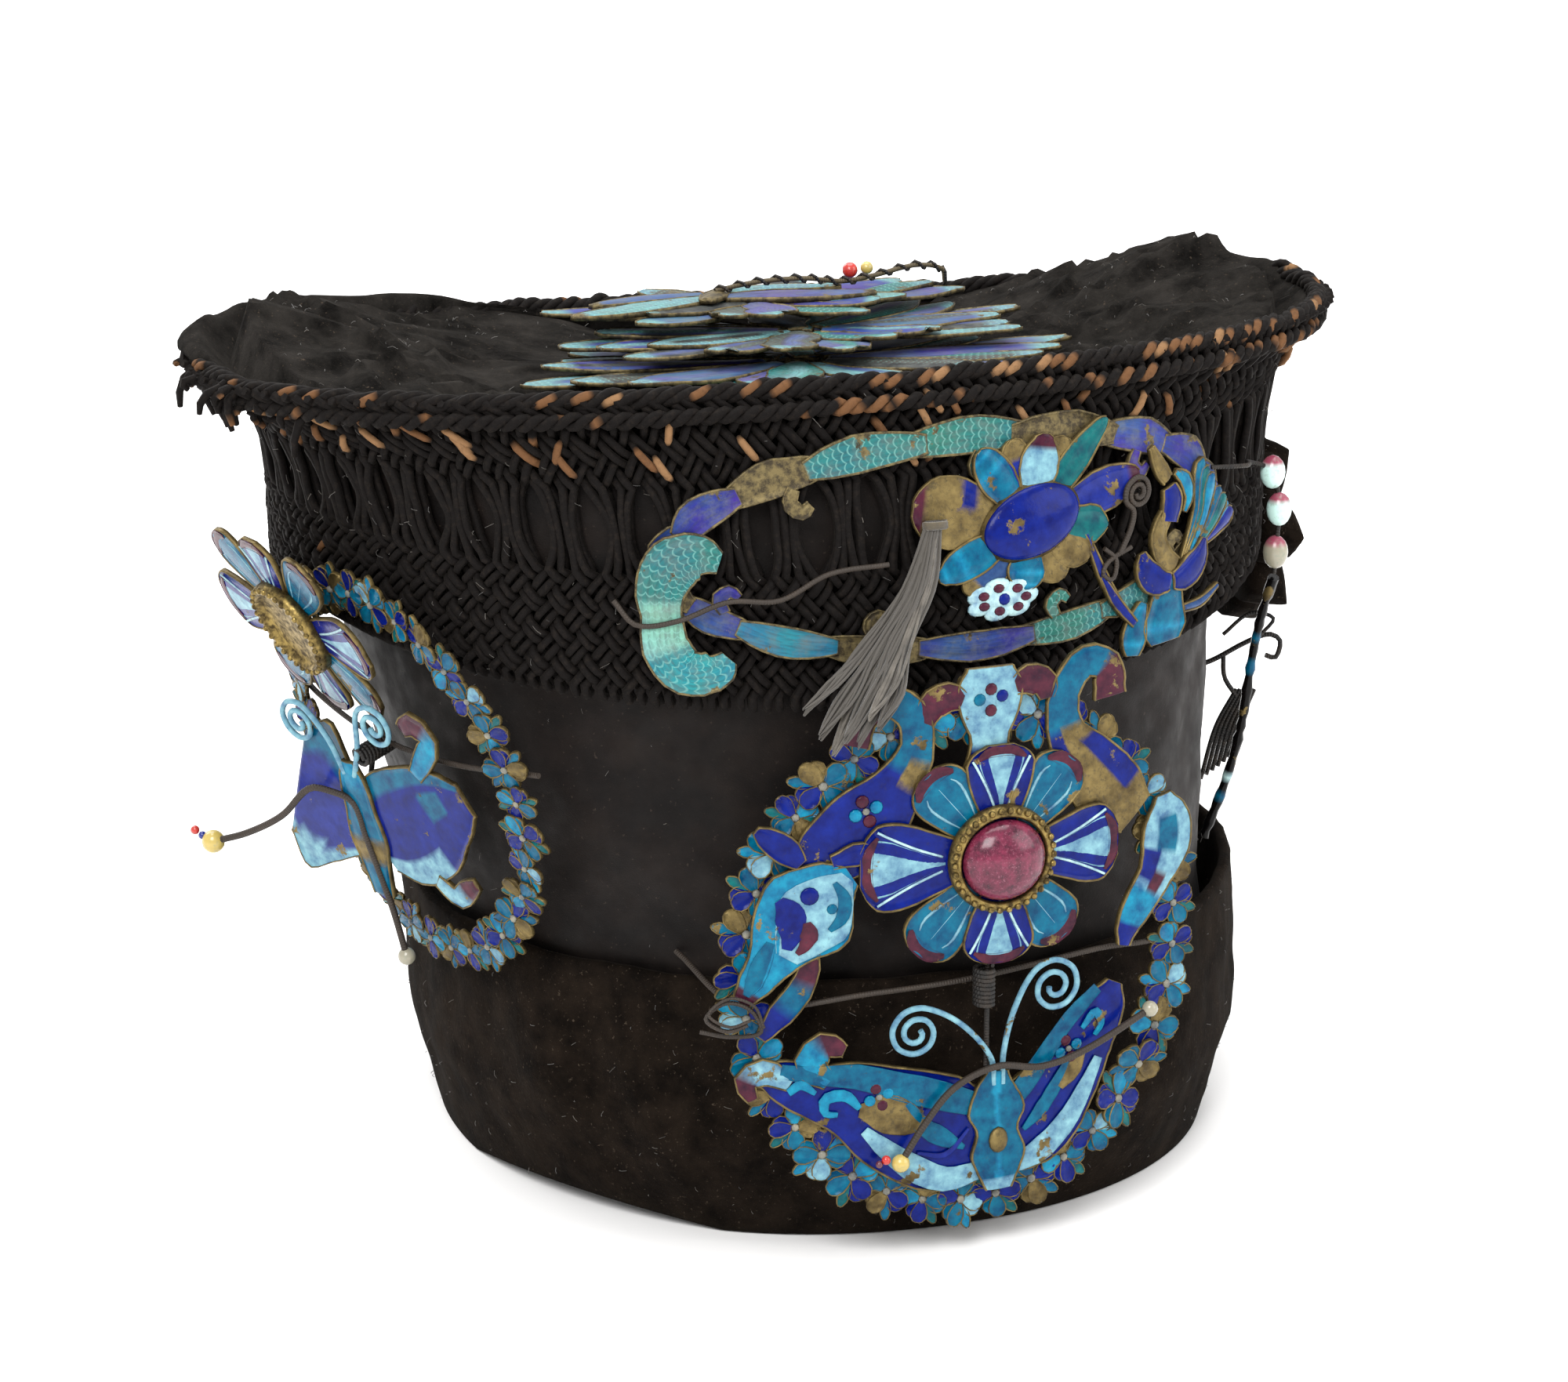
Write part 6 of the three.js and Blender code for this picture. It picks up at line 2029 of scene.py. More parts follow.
    def make_wires(self, shop: Workshop, looks: Finishes) -> None:
        """Cross wire, spring, feeler, antennae and the bent-wire bird."""
        panel = self.panel
        wire = FORM.wire
        behind = -wire - 2 * FORM.gap
        brown = Tint.BROWN
        route = smooth_route([FORM.satin_point(0.5, -127, wire + FORM.gap), panel(-47, -7, behind),
                              panel(-20, -6, behind), panel(2, -5, behind), panel(30, -3, behind),
                              panel(47, -3, behind), FORM.satin_point(0.52, -53, wire + FORM.gap)],
                             3)
        deliver(shop.cords("front_cross_wire_wrapped", [Strand(route, wire, brown)], looks.wire, 8),
                "wire", "front_cross_wire")
        post = 2 * LAYER - FORM.gap - wire
        spring = coil_route(panel, (2, -9.5, 2.4), 8, 1.9, 9)
        rod = smooth_route([panel(3, 12, post), panel(3, 0, post), panel(3, -12, post),
                            panel(3, -23.2, post)], 3)
        deliver(shop.cords("front_spring_coil", [Strand(spring, 0.5, Tint.DARK),
                                                 Strand(rod, wire, Tint.DARK)], looks.wire, 8),
                "wire", "front_spring_post")
        out = 2 * LAYER + wire
        feeler_out = out + 2 * wire + FORM.gap
        feeler = [panel(u, v, feeler_out) for u, v in ((-16, -41), (-11, -33), (-5, -26),
                                                       (4, -22.5), (14, -24), (24, -22), (39, -16))]
        deliver(shop.cords("front_feeler_wrapped", [Strand(smooth_route(feeler, 1.5), 0.75, brown)],
                           looks.wire, 8),
                "wire", "front_feeler")
        beads = Draft()
        bead(beads, feeler[0], 1.9, Tint.AMBER)
        bead(beads, panel(-19, -40, feeler_out), 1.0, Tint.CORAL, sides=8)
        bead(beads, panel(-20.4, -40.8, feeler_out), 0.8, Tint.AUBERGINE, sides=8)
        bead(beads, feeler[-1], 1.7, Tint.PEARL)
        deliver(beads.build("front_beads", looks.glass), "bud")
        for name, args, stem in (
                ("front_antenna_left", ((-12.6, -13.9), 5.6, 1.9, 70, -1),
                 [(-3, -13, out), (3.4, -21, out), (4, -27, out)]),
                ("front_antenna_right", ((17.3, -7.7), 6.1, 1.9, 140, 1),
                 [(8.5, -11, out), (6.2, -20, out), (6, -27, out)])):
            centre, radius, turns, start, hand = args
            route = spiral_route(panel, centre, radius, turns, start, hand, out, stem)
            deliver(shop.cords(name + "_spiral", [Strand(route, 0.62, Tint.PALE)], looks.enamel, 7),
                    "enamel", name)
        bird = [panel(u, v, LAYER + wire + 0.7 * k) for k, (u, v) in enumerate(
            ((-56, -11), (-50, -12), (-44, -11), (-46, -6), (-51, -4), (-55, -7), (-51, -9.5),
             (-47, -8)))]
        second = [p + Vector((0.4, -0.6, 1.1)) for p in bird[2:]]
        deliver(shop.cords("wire_bird", [Strand(smooth_route(bird, 1), 0.45, brown),
                                         Strand(smooth_route(second, 1), 0.35, brown)],
                           looks.wire, 6), "wire", "front_wire_phoenix")


@dataclass
class LeftMedallion:
    """Second wreath with an oblique lotus that has lost its stone, and a butterfly."""

    stone: float = 9.2
    # half width, half height and band width; middle; florets and their size
    wreath: tuple = ((41, 46, 7.6), (-8, -5), 33, 8.7)
    seed: int = 5
    # angle, reach, width
    axial: tuple = ((0, 28, 15), (90, 22, 13), (180, 29, 15), (270, 22, 13))
    diagonal: tuple = ((45, 26, 12), (135, 26, 12), (225, 26, 12), (315, 26, 12))

    def __post_init__(self) -> None:
        """Sheets of the wreath, the lotus and the wings."""
        self.panel = BentPanel(FORM.off_foot(-158, (10, -4.9, -28.7)), -158, tilt=-16, bend=190,
                               roll=-4)
        self.lotus = BentPanel(FORM.off_foot(-158, (-8.8, 15, -2.4)), -165, tilt=-28)
        self.wings = BentPanel(FORM.off_foot(-158, (3.5, 11.7, -43.7)), -152, tilt=-17)

    def make(self, shop: Workshop, looks: Finishes) -> None:
        """Builds and delivers all its pieces."""
        band, centre, florets, size = self.wreath
        spots = wreath_spots(band, centre, florets, self.panel, 0.0, random.Random(self.seed))
        make_wreath(shop, looks, "left_wreath", size, spots)
        self.make_lotus(looks)
        self.make_butterfly(looks)
        self.make_wires(shop, looks)

    def make_lotus(self, looks: Finishes) -> None:
        """Lotus and its open cup."""
        draft = Draft()
        dress_lotus(draft, self.lotus, (0, 0), self.axial, self.diagonal, 0.4)
        knob(draft, self.lotus, (0, 0, 0.3), 9.5, 0.9, Tint.WORN)
        deliver(draft.build("left_lotus_petals", looks.enamel), "enamel", "left_lotus")
        cup = Setting(
            self.stone / STONE_SHARE,
            ((1.0, 0), (1.0, 1.6), (0.96, 2.6), (0.84, 2.6), (0.8, 1.4), (0.5, 1.1), (0.1, 1.0)),
            40, False, (32, 0.92, 2.5, 0.7))
        draft = cup.draw(self.lotus, (0, 0), LAYER)
        deliver(draft.build("left_open_cup", looks.gilt), "gilt", "left_cup")

    def make_butterfly(self, looks: Finishes) -> None:
        """Spread wings with curled tips."""
        draft = Draft()
        panel = self.wings
        wide = Plate(stations=40, inner=21)
        right = Glaze((Zone(Tint.COBALT), Zone(Tint.TURQUOISE, (0, 1), (0.6, 1)),
                       Zone(Tint.PALE, (0, 0.5), (-1, -0.5)),
                       Zone(Tint.TURQUOISE, (0.62, 0.8), (-0.1, 0.4))))
        blade(draft, panel, [(2, -6, 16), (8, -3, 26), (16, 1.5, 27), (23, 6, 22), (29, 9, 15),
                             (33, 11, 8)], 0, right, wide)
        blade(draft, panel, [(20, 14, 4), (24, 19, 5.5), (27, 24, 5), (23, 27, 6), (19.5, 25, 3.5)],
              0.3, plain(Tint.SKY, Tint.AUBERGINE, 0.6), SMALL)
        blade(draft, panel, [(18, -12, 4), (23, -15, 5), (27, -12, 5), (30, -10, 3)], 0.3,
              plain(Tint.PALE, Tint.AUBERGINE, 0.6), SMALL)
        left = Glaze((Zone(Tint.VIOLET), Zone(Tint.TURQUOISE, (0, 1), (-1, -0.6)),
                      Zone(Tint.PALE, (0, 1), (0.65, 1))))
        blade(draft, panel, [(-2, -5, 16), (-8, -2, 32), (-14, 1, 46), (-19, 3.5, 32)], 0, left,
              Plate(stations=16, inner=13))
        blade(draft, panel, [(0, 13, 4), (0, 8, 8), (0, 1, 9), (0, -6, 11), (0, -13, 8),
                             (0, -20, 6)], 0.9,
              Glaze((Zone(Tint.TURQUOISE), Zone(Tint.WORN, (0.55, 0.75)),
                     Zone(Tint.SKY, (0, 0.2)))), Plate(stations=20))
        deliver(draft.build("left_butterfly_plates", looks.enamel), "enamel", "left_butterfly")

    def make_wires(self, shop: Workshop, looks: Finishes) -> None:
        """Cross wire, spring, antennae and the long feeler with its beads."""
        wire = FORM.wire
        behind = -wire - 2 * FORM.gap
        brown = Tint.BROWN
        route = smooth_route([FORM.satin_point(0.78, 176, wire + FORM.gap),
                              self.panel(-46, 1, 1.6 * behind), self.panel(-30, 0, behind),
                              self.panel(-12, 0, behind), self.panel(10, 2, behind),
                              self.panel(35, 6, behind)], 3)
        deliver(shop.cords("left_cross_wire_wrapped", [Strand(route, wire, brown)], looks.wire, 8),
                "wire", "left_cross_wire")
        start = self.panel(-12, 0, 2.4)
        coil = BentPanel(start, -158, tilt=74)
        spring = coil_route(coil, (0, -4, 0), 8, 1.9, 9)
        stem = smooth_route([start, coil(0, 0, 6), self.lotus(12, -28, 2), self.lotus(9, -27, -1.6),
                             self.lotus(4, -16, -2), self.lotus(0, -8, -FORM.gap - wire - 0.1)], 2)
        arm = [start, self.wings(0, 2, -FORM.gap - wire)]
        strands = [Strand(spring, 0.5, Tint.DARK), Strand(stem, wire, Tint.DARK),
                   Strand(arm, wire, Tint.DARK)]
        deliver(shop.cords("left_spring_coil", strands, looks.wire, 8), "wire", "left_spring")
        out = LAYER + wire
        for name, centre, start_at, hand, stems in (
                ("left_antenna_left", (-12, 20), 60, -1, [(-4, 18, out), (-1.5, 10, out)]),
                ("left_antenna_right", (12, 24), 150, 1, [(5, 18, out), (1.5, 10, out)])):
            route = spiral_route(self.wings, centre, 5.2, 1.9, start_at, hand, out, stems)
            deliver(shop.cords(name + "_spiral", [Strand(route, 0.62, Tint.PALE)], looks.enamel, 7),
                    "enamel", name)
        rest = out + FORM.gap
        points = [(3, -34, 2.8), (2, -22, rest), (0, -5, rest), (-1, 3, rest), (-6, 5, 3),
                  (-10.5, 5.9, 5), (-18.3, -1, 8), (-27.9, -6, 11), (-36.3, -8.5, 14)]
        route = smooth_route([self.wings(*p) for p in points], 1.5)
        deliver(shop.cords("left_feeler_wrapped", [Strand(route, 0.75, brown)], looks.wire, 8),
                "wire", "left_feeler")
        beads = Draft()
        bead(beads, self.wings(*points[0]), 1.9, Tint.PEARL)
        bead(beads, self.wings(*points[-1]), 2.5, Tint.AMBER)
        bead(beads, self.wings(-38.8, -7.3, 14.5), 0.9, Tint.COBALT, sides=8)
        bead(beads, self.wings(-40.4, -6.2, 14.8), 1.0, Tint.CORAL, sides=8)
        deliver(beads.build("left_beads", looks.glass), "bud")


@dataclass
class BrowOrnament:
    """Cloud frame with a many-petalled flower, a bird, a tassel and hanging buds."""

    heart: tuple = (7.2, 2.1)
    cloud: Glaze = Glaze((Zone(Tint.TEAL), Zone(Tint.FOAM, (0.42, 0.64)),
                          Zone(Tint.SEA, (0.64, 1))))
    tassel_seed: int = 21
    # fibres in a lock of the tassel, and their radius
    fibres: int = 15
    fibre_radius: float = 0.36
    strip_seed: int = 4

    def __post_init__(self) -> None:
        """Sheets of the brow and of what hangs past the right edge."""
        self.panel = BasketPanel(-82, 0.52, 0.6)
        self.edge = BentPanel(FORM.off_foot(-20, (-12, 2.1, -26.7)), -110)

    def make(self, shop: Workshop, looks: Finishes) -> None:
        """Builds and delivers all its pieces."""
        self.make_frame(looks)
        self.make_flower(looks)
        self.make_bird(looks)
        self.make_wires(shop, looks)
        self.make_tassel(shop, looks)
        self.make_drops(shop, looks)

    def make_frame(self, looks: Finishes) -> None:
        """Scalloped cloud band round the flower and its left end."""
        draft = Draft()
        tones = (Tint.VIOLET, Tint.COBALT, Tint.VIOLET, Tint.WORN, Tint.TEAL, Tint.TEAL, Tint.WORN,
                 Tint.COBALT, Tint.COBALT, Tint.WORN, Tint.COBALT, Tint.TURQUOISE, Tint.WORN,
                 Tint.COBALT, Tint.TEAL, Tint.TEAL, Tint.WORN, Tint.COBALT)
        count = len(tones)
        for k, tone in enumerate(tones):
            rows = []
            for step, swell in ((-0.1, 3.6), (0.15, 5.6), (0.5, 6.8), (0.85, 5.6), (1.1, 3.6)):
                a = math.tau * (k + step) / count
                push = 0.6 * math.sin(math.pi * min(max(step, 0), 1))
                tall = 22.0 if math.sin(a) > 0 else 19.0
                rows.append((-5 + (62.7 + push) * math.cos(a), -3 + (tall + push) * math.sin(a),
                             swell))
            blade(draft, self.panel, rows, 0.25 * (k % 2), plain(tone),
                  Plate(stations=12, inner=5, dome=0.25))
            if k % 2 == 0:
                a = math.tau * (k + 0.4) / count
                u, v = -5 + 58.5 * math.cos(a), -3 + (18 if math.sin(a) > 0 else 15) * math.sin(a)
                s = -1 if math.sin(a) > 0 else 1
                blade(draft, self.panel, [(u, v - s * 1.5, 2.5), (u - 1, v + s * 1.2, 3.2),
                                          (u + 1.2, v + s * 3, 3), (u + 3, v + s * 1.6, 2)],
                      0.35, plain(tone), SMALL)
        deliver(draft.build("brow_cloud_band", looks.feather), "feather", "brow_frame")
        cloud = Draft()
        blade(cloud, self.panel, [(-57, -1, 5), (-61, 0.5, 9), (-66, -1.5, 11), (-69, -7, 10),
                                  (-69, -13, 8.5), (-68.5, -19, 10), (-65, -24, 10),
                                  (-59, -23.5, 8), (-56.5, -21, 4)], LAYER, self.cloud,
              Plate(stations=40, inner=9, dome=0.6))
        deliver(cloud.build("brow_left_cloud", looks.feather), "feather", "brow_cloud")

    def make_flower(self, looks: Finishes) -> None:
        """Petals of many colours round an oval plaque, and the dotted plaque below."""
        # angle, reach, width, belly, out, glaze
        petals = (
            (12, 27, 9, 0.6, 0.0, plain(Tint.VIOLET, Tint.AUBERGINE, 0.9)),
            (46, 24, 6.5, 0.5, 0.5, plain(Tint.TEAL)), (62, 17, 9, 0.75, 0.0, plain(Tint.WORN)),
            (80, 16.5, 9, 0.6, 0.6, plain(Tint.PALE, Tint.AUBERGINE, 0.8)),
            (105, 16.5, 8, 0.6, 0.1, plain(Tint.VIOLET, Tint.WORN, 0.7)),
            (128, 18.5, 8, 0.6, 0.5, RIBBED),
            (168, 26, 14.5, 0.66, 0.0,
             Glaze((Zone(Tint.WORN), Zone(Tint.COBALT, (0.3, 0.5), (-1, -0.2)),
                    Zone(Tint.AUBERGINE, (0.9, 1))))), (204, 23, 8, 0.6, 0.5, RIBBED),
            (222, 20, 9.5, 0.7, 0.0, plain(Tint.PLUME, Tint.WORN, 0.8)),
            (262, 14, 9, 0.7, 0.4, RIBBED), (296, 14.5, 8.5, 0.7, 0.1, plain(Tint.WORN)),
            (324, 16, 8, 0.7, 0.4, plain(Tint.WORN)), (350, 18, 8.5, 0.75, 0.5, plain(Tint.TEAL)))
        draft = Draft()
        for angle, reach, width, belly, out, glaze in petals:
            rows = petal_rows(self.heart, angle, reach, width, foot=0.25, belly=belly, lift=0.8)
            blade(draft, self.panel, rows, LAYER - 0.3 + out, glaze,
                  Plate(stations=16, inner=7, dome=0.4))
        knob(draft, self.panel, (*self.heart, LAYER), 8, 1.0, Tint.WORN)
        deliver(draft.build("brow_flower_petals", looks.enamel), "feather", "brow_flower")
        oval = Draft()
        knob(oval, self.panel, (*self.heart, 2 * LAYER), 11.6, 1.6, Tint.GILT, oval=(1, 0.66),
             sides=40, levels=3, turn=14)
        knob(oval, self.panel, (*self.heart, 2 * LAYER + 0.3), 11, 2.2, Tint.COBALT, oval=(1, 0.64),
             sides=40, levels=9, turn=14)
        deliver(oval.build("brow_oval", looks.enamel), "feather", "brow_plaque")
        dotted = Draft()
        for k in range(7):
            a = math.tau * k / 7
            knob(dotted, self.panel, (5.2 * math.cos(a), -13 + 2.7 * math.sin(a), 2 * LAYER), 3.1,
                 0.9, Tint.MINT, oval=(1, 0.62), sides=14, levels=4, turn=12)
            knob(dotted, self.panel, (4.9 * math.cos(a), -13 + 2.5 * math.sin(a), 2 * LAYER + 0.85),
                 1.25, 0.35, Tint.AUBERGINE, oval=(1, 0.8), sides=10, levels=3)
        knob(dotted, self.panel, (0, -13, 2 * LAYER), 4.5, 1.0, Tint.MINT, oval=(1, 0.5), sides=16,
             levels=4)
        knob(dotted, self.panel, (0, -13, 2 * LAYER + 0.95), 1.3, 0.4, Tint.COBALT, sides=10,
             levels=3)
        deliver(dotted.build("brow_dotted_bar", looks.enamel), "enamel", "brow_dotted_plaque")

    def make_bird(self, looks: Finishes) -> None:
        """Crested bird with spread wings, tail plates and plumes."""
        draft = Draft()
        panel = self.panel
        make = Plate(stations=14, inner=7, dome=0.4)
        parts = (
            ([(36.5, 12, 1.5), (39, 8, 3.2), (41.5, 5, 3)], 0.8, plain(Tint.WORN)),
            ([(42, 3.5, 4), (43, 0, 6), (42, -4, 5)], 0.9, plain(Tint.COBALT)),
            ([(44, 6, 1.5), (47, 4, 3.5), (48.5, 0, 3), (47, -3, 1.5)], 0.6, plain(Tint.SKY)),
            ([(41.5, -2, 4), (39, -6.5, 4.5), (40.5, -11, 5), (44, -14, 4)], 0.7, plain(Tint.WORN)),
            ([(34, -9, 2), (35, -13, 6), (38, -16, 6.5), (42, -17, 4)], 1.1, plain(Tint.COBALT)),
            ([(53, -10, 2), (51, -14, 6.5), (47, -16.5, 7), (43, -17, 4)], 1.1, plain(Tint.COBALT)),
            ([(43, -15, 6), (42, -19, 9), (41.5, -23, 11), (41, -27, 13), (41, -30, 9)], 0.3,
             RIBBED),
            ([(35, -20, 2.5), (33, -24, 6), (32, -28, 7), (31.5, -31, 4)], 0.2, RIBBED),
            ([(30, -22, 2), (25, -14, 2.6), (22, -7, 2), (20, -2, 1)], 0.5, plain(Tint.VIOLET)),
            ([(32, -24, 2), (27, -18, 2.6), (23.5, -12, 1.2)], 0.7, plain(Tint.COBALT)),
            ([(47, -24, 2), (53, -24, 2.4), (59, -22, 1.4)], 0.3, plain(Tint.PLUME)))
        for rows, out, glaze in parts:
            blade(draft, panel, rows, LAYER + out, glaze, make)
        for k in range(8):
            share = k / 7
            foot = (47 + 2 * share, -14 + 1.5 * share)
            tip = (54 + 11 * share, 6 - 13 * share)
            middle = ((foot[0] + tip[0]) / 2 + 1.5, (foot[1] + tip[1]) / 2)
            tone = (Tint.TURQUOISE, Tint.TEAL, Tint.SKY, Tint.VIOLET)[k % 4]
            blade(draft, panel, [(*foot, 1.5), (*middle, 3.2), (tip[0] - 1, tip[1] - 0.5, 4.4),
                                 (*tip, 2)], LAYER + 0.2 * (k % 3),
                  plain(tone), make)
        deliver(draft.build("brow_bird_plates", looks.enamel), "feather", "brow_phoenix")

    def make_wires(self, shop: Workshop, looks: Finishes) -> None:
        """Spiral and long wire in front of the flower."""
        out = 2 * LAYER + FORM.wire
        route = spiral_route(self.panel, (33, 4), 3.7, 2.2, 250, 1, out,
                             [(31, -3, out), (28, -8, out)])
        more = [self.panel(u, v, out) for u,
                v in ((24, -6), (27, -9), (26, -13), (23.5, -11.5), (25, -9), (31, -7))]
        deliver(shop.cords("brow_spiral_wire", [Strand(route, 0.6, Tint.BROWN),
                                                Strand(smooth_route(more, 1), 0.5, Tint.BROWN)],
                           looks.wire, 7), "wire", "brow_spiral")
        long = [self.panel(u, v, out) for u, v in ((-78, -9), (-74, -14), (-66, -13), (-56, -9),
                                                   (-46, -9), (-36, -4), (-24, -3))]
        deliver(shop.cords("brow_long_wire", [Strand(smooth_route(long, 1.5), 0.55, Tint.BROWN)],
                           looks.wire, 7), "wire", "brow_wire")

    def make_tassel(self, shop: Workshop, looks: Finishes) -> None:
        """Tassel of floss in seven locks, bound at the top."""
        rng = random.Random(self.tassel_seed)
        strands = []
        locks = ((-2.6, -31, 0), (-1.8, -36, 0.5), (-1.1, -40, 0.2), (-0.4, -37, 0.8),
                 (0.4, -38.5, 0.1), (1.1, -33, 0.7), (1.6, -35.5, 0.2))
        for number, (swing, foot, lift) in enumerate(locks):
            sway = rng.uniform(-1.2, 1.2)
            for _ in range(self.fibres):
                a, b = rng.uniform(-1, 1), rng.uniform(-1, 1)
                points = [(-14 + 0.5 * swing + 0.4 * a, 5, 0.5 + 0.4 * b),
                          (-18 + swing + 0.7 * a, -8, lift + 1.2 + 0.5 * b),
                          (-25 + 2.2 * swing + 0.7 * a + sway, -20, lift + 4.7 + 0.6 * b),
                          (-31 + 2.9 * swing + 1.2 * a, -20 + 0.6 * (foot + 20),
                           lift + 8 + 0.6 * b), (-36 + 3.2 * swing + 0.25 * a, foot
                                                 + rng.uniform(-1.5, 0.5), lift + 11 + 0.3 * b)]
                points = [(u + (0.9 * rng.uniform(-1, 1) if 0 < k < 4 else 0), v, w) for k,
                          (u, v, w) in enumerate(points)]
                route = smooth_route([self.panel(u, v, 2 * LAYER + w) for u, v, w in points], 2.6)
                strands.append(Strand(route, [self.fibre_radius] * (len(route) - 1) + [0.15],
                                      (Tint.FLOSS, Tint.FLOSS, Tint.LINT)[number % 3]))
        bind = [self.panel(-14 + 2.4 * math.cos(a), 3.5 + 0.05 * a,
                           2 * LAYER + 0.6 + 1.4 * math.sin(a))
                for a in (math.tau * k / 10 for k in range(41))]
        strands.append(Strand(bind, 0.4, Tint.WORN))
        deliver(shop.cords("silk_tassel", strands, looks.floss, 4), "silk", "brow_tassel")

    def make_drops(self, shop: Workshop, looks: Finishes) -> None:
        """Buds, the wrapped strip below them and the wire spray with its dark leaf."""
        edge = self.edge
        places = ((11.7, 45.5, 20), (13.3, 37.4, 20), (12.8, 28, 20))
        foot = (12.7, 23, 19)
        buds = Draft()
        for k, spot in enumerate(places):
            tone = (Tint.MINT, Tint.MINT, Tint.PEARL)[k]
            bead(buds, edge(*spot), 2.7, tone, 1.35, Tint.ROSE, sides=16)
        deliver(buds.build("hanging_buds", looks.glass), "bud", "brow_buds")
        link = smooth_route([self.panel(57, 4, LAYER + 0.6), self.panel(64, 3, 6), edge(6, 49, 25),
                             *[edge(*p) for p in places], edge(*foot)], 2)
        deliver(shop.cords("bud_thread", [Strand(link, 0.5, Tint.DARK)], looks.wire, 6), "wire")
        strip = smooth_route([edge(12.7, 22.1, 19), edge(10.8, 12, 14), edge(9.4, 0.6, 10),
                              edge(7.8, -14.4, 8), edge(5.1, -28.4, 4),
                              FORM.satin_point(0.48, -22, 1.6)], 1.6)
        rng = random.Random(self.strip_seed)
        tones = [rng.choice((Tint.DARK,) * 8 + (Tint.TURQUOISE, Tint.MINT)) for _ in strip]
        deliver(shop.cords("bead_strip",
                           [Strand(strip, [rng.uniform(0.8, 1.3) for _ in strip], tones)],
                           looks.enamel, 8),
                "enamel", "brow_strip")
        curls = smooth_route([FORM.satin_point(0.72, -6, 0.9), edge(3.9, -8.2, -21),
                              edge(11, -4.2, -21), edge(16.2, -2.2, -21), edge(18.8, -3.6, -21),
                              edge(17.9, -7.6, -21), edge(15.6, -7, -21)], 1.2)
        second = smooth_route([edge(6.3, -6.8, -21), edge(6.7, -12.2, -21), edge(9.4, -16.5, -21)],
                              1.2)
        third = smooth_route([edge(6, -2, -20), edge(12, 3, -20), edge(17, 2, -19),
                              edge(14, -2, -19)], 1.2)
        leaf = [Strand(smooth_route([edge(4.5 + 1.25 * k, -34 + k, -21), edge(7 + k, -24, -21.3),
                                     edge(11 + 0.8 * k, -15, -21)], 1.5), 0.5, Tint.DARK)
                for k in range(-2, 4)]
        deliver(shop.cords("side_wires", [Strand(curls, 0.6, Tint.DARK),
                                          Strand(second, 0.6, Tint.DARK),
                                          Strand(third, 0.45, Tint.DARK), *leaf], looks.wire, 6),
                "wire", "side_spray")


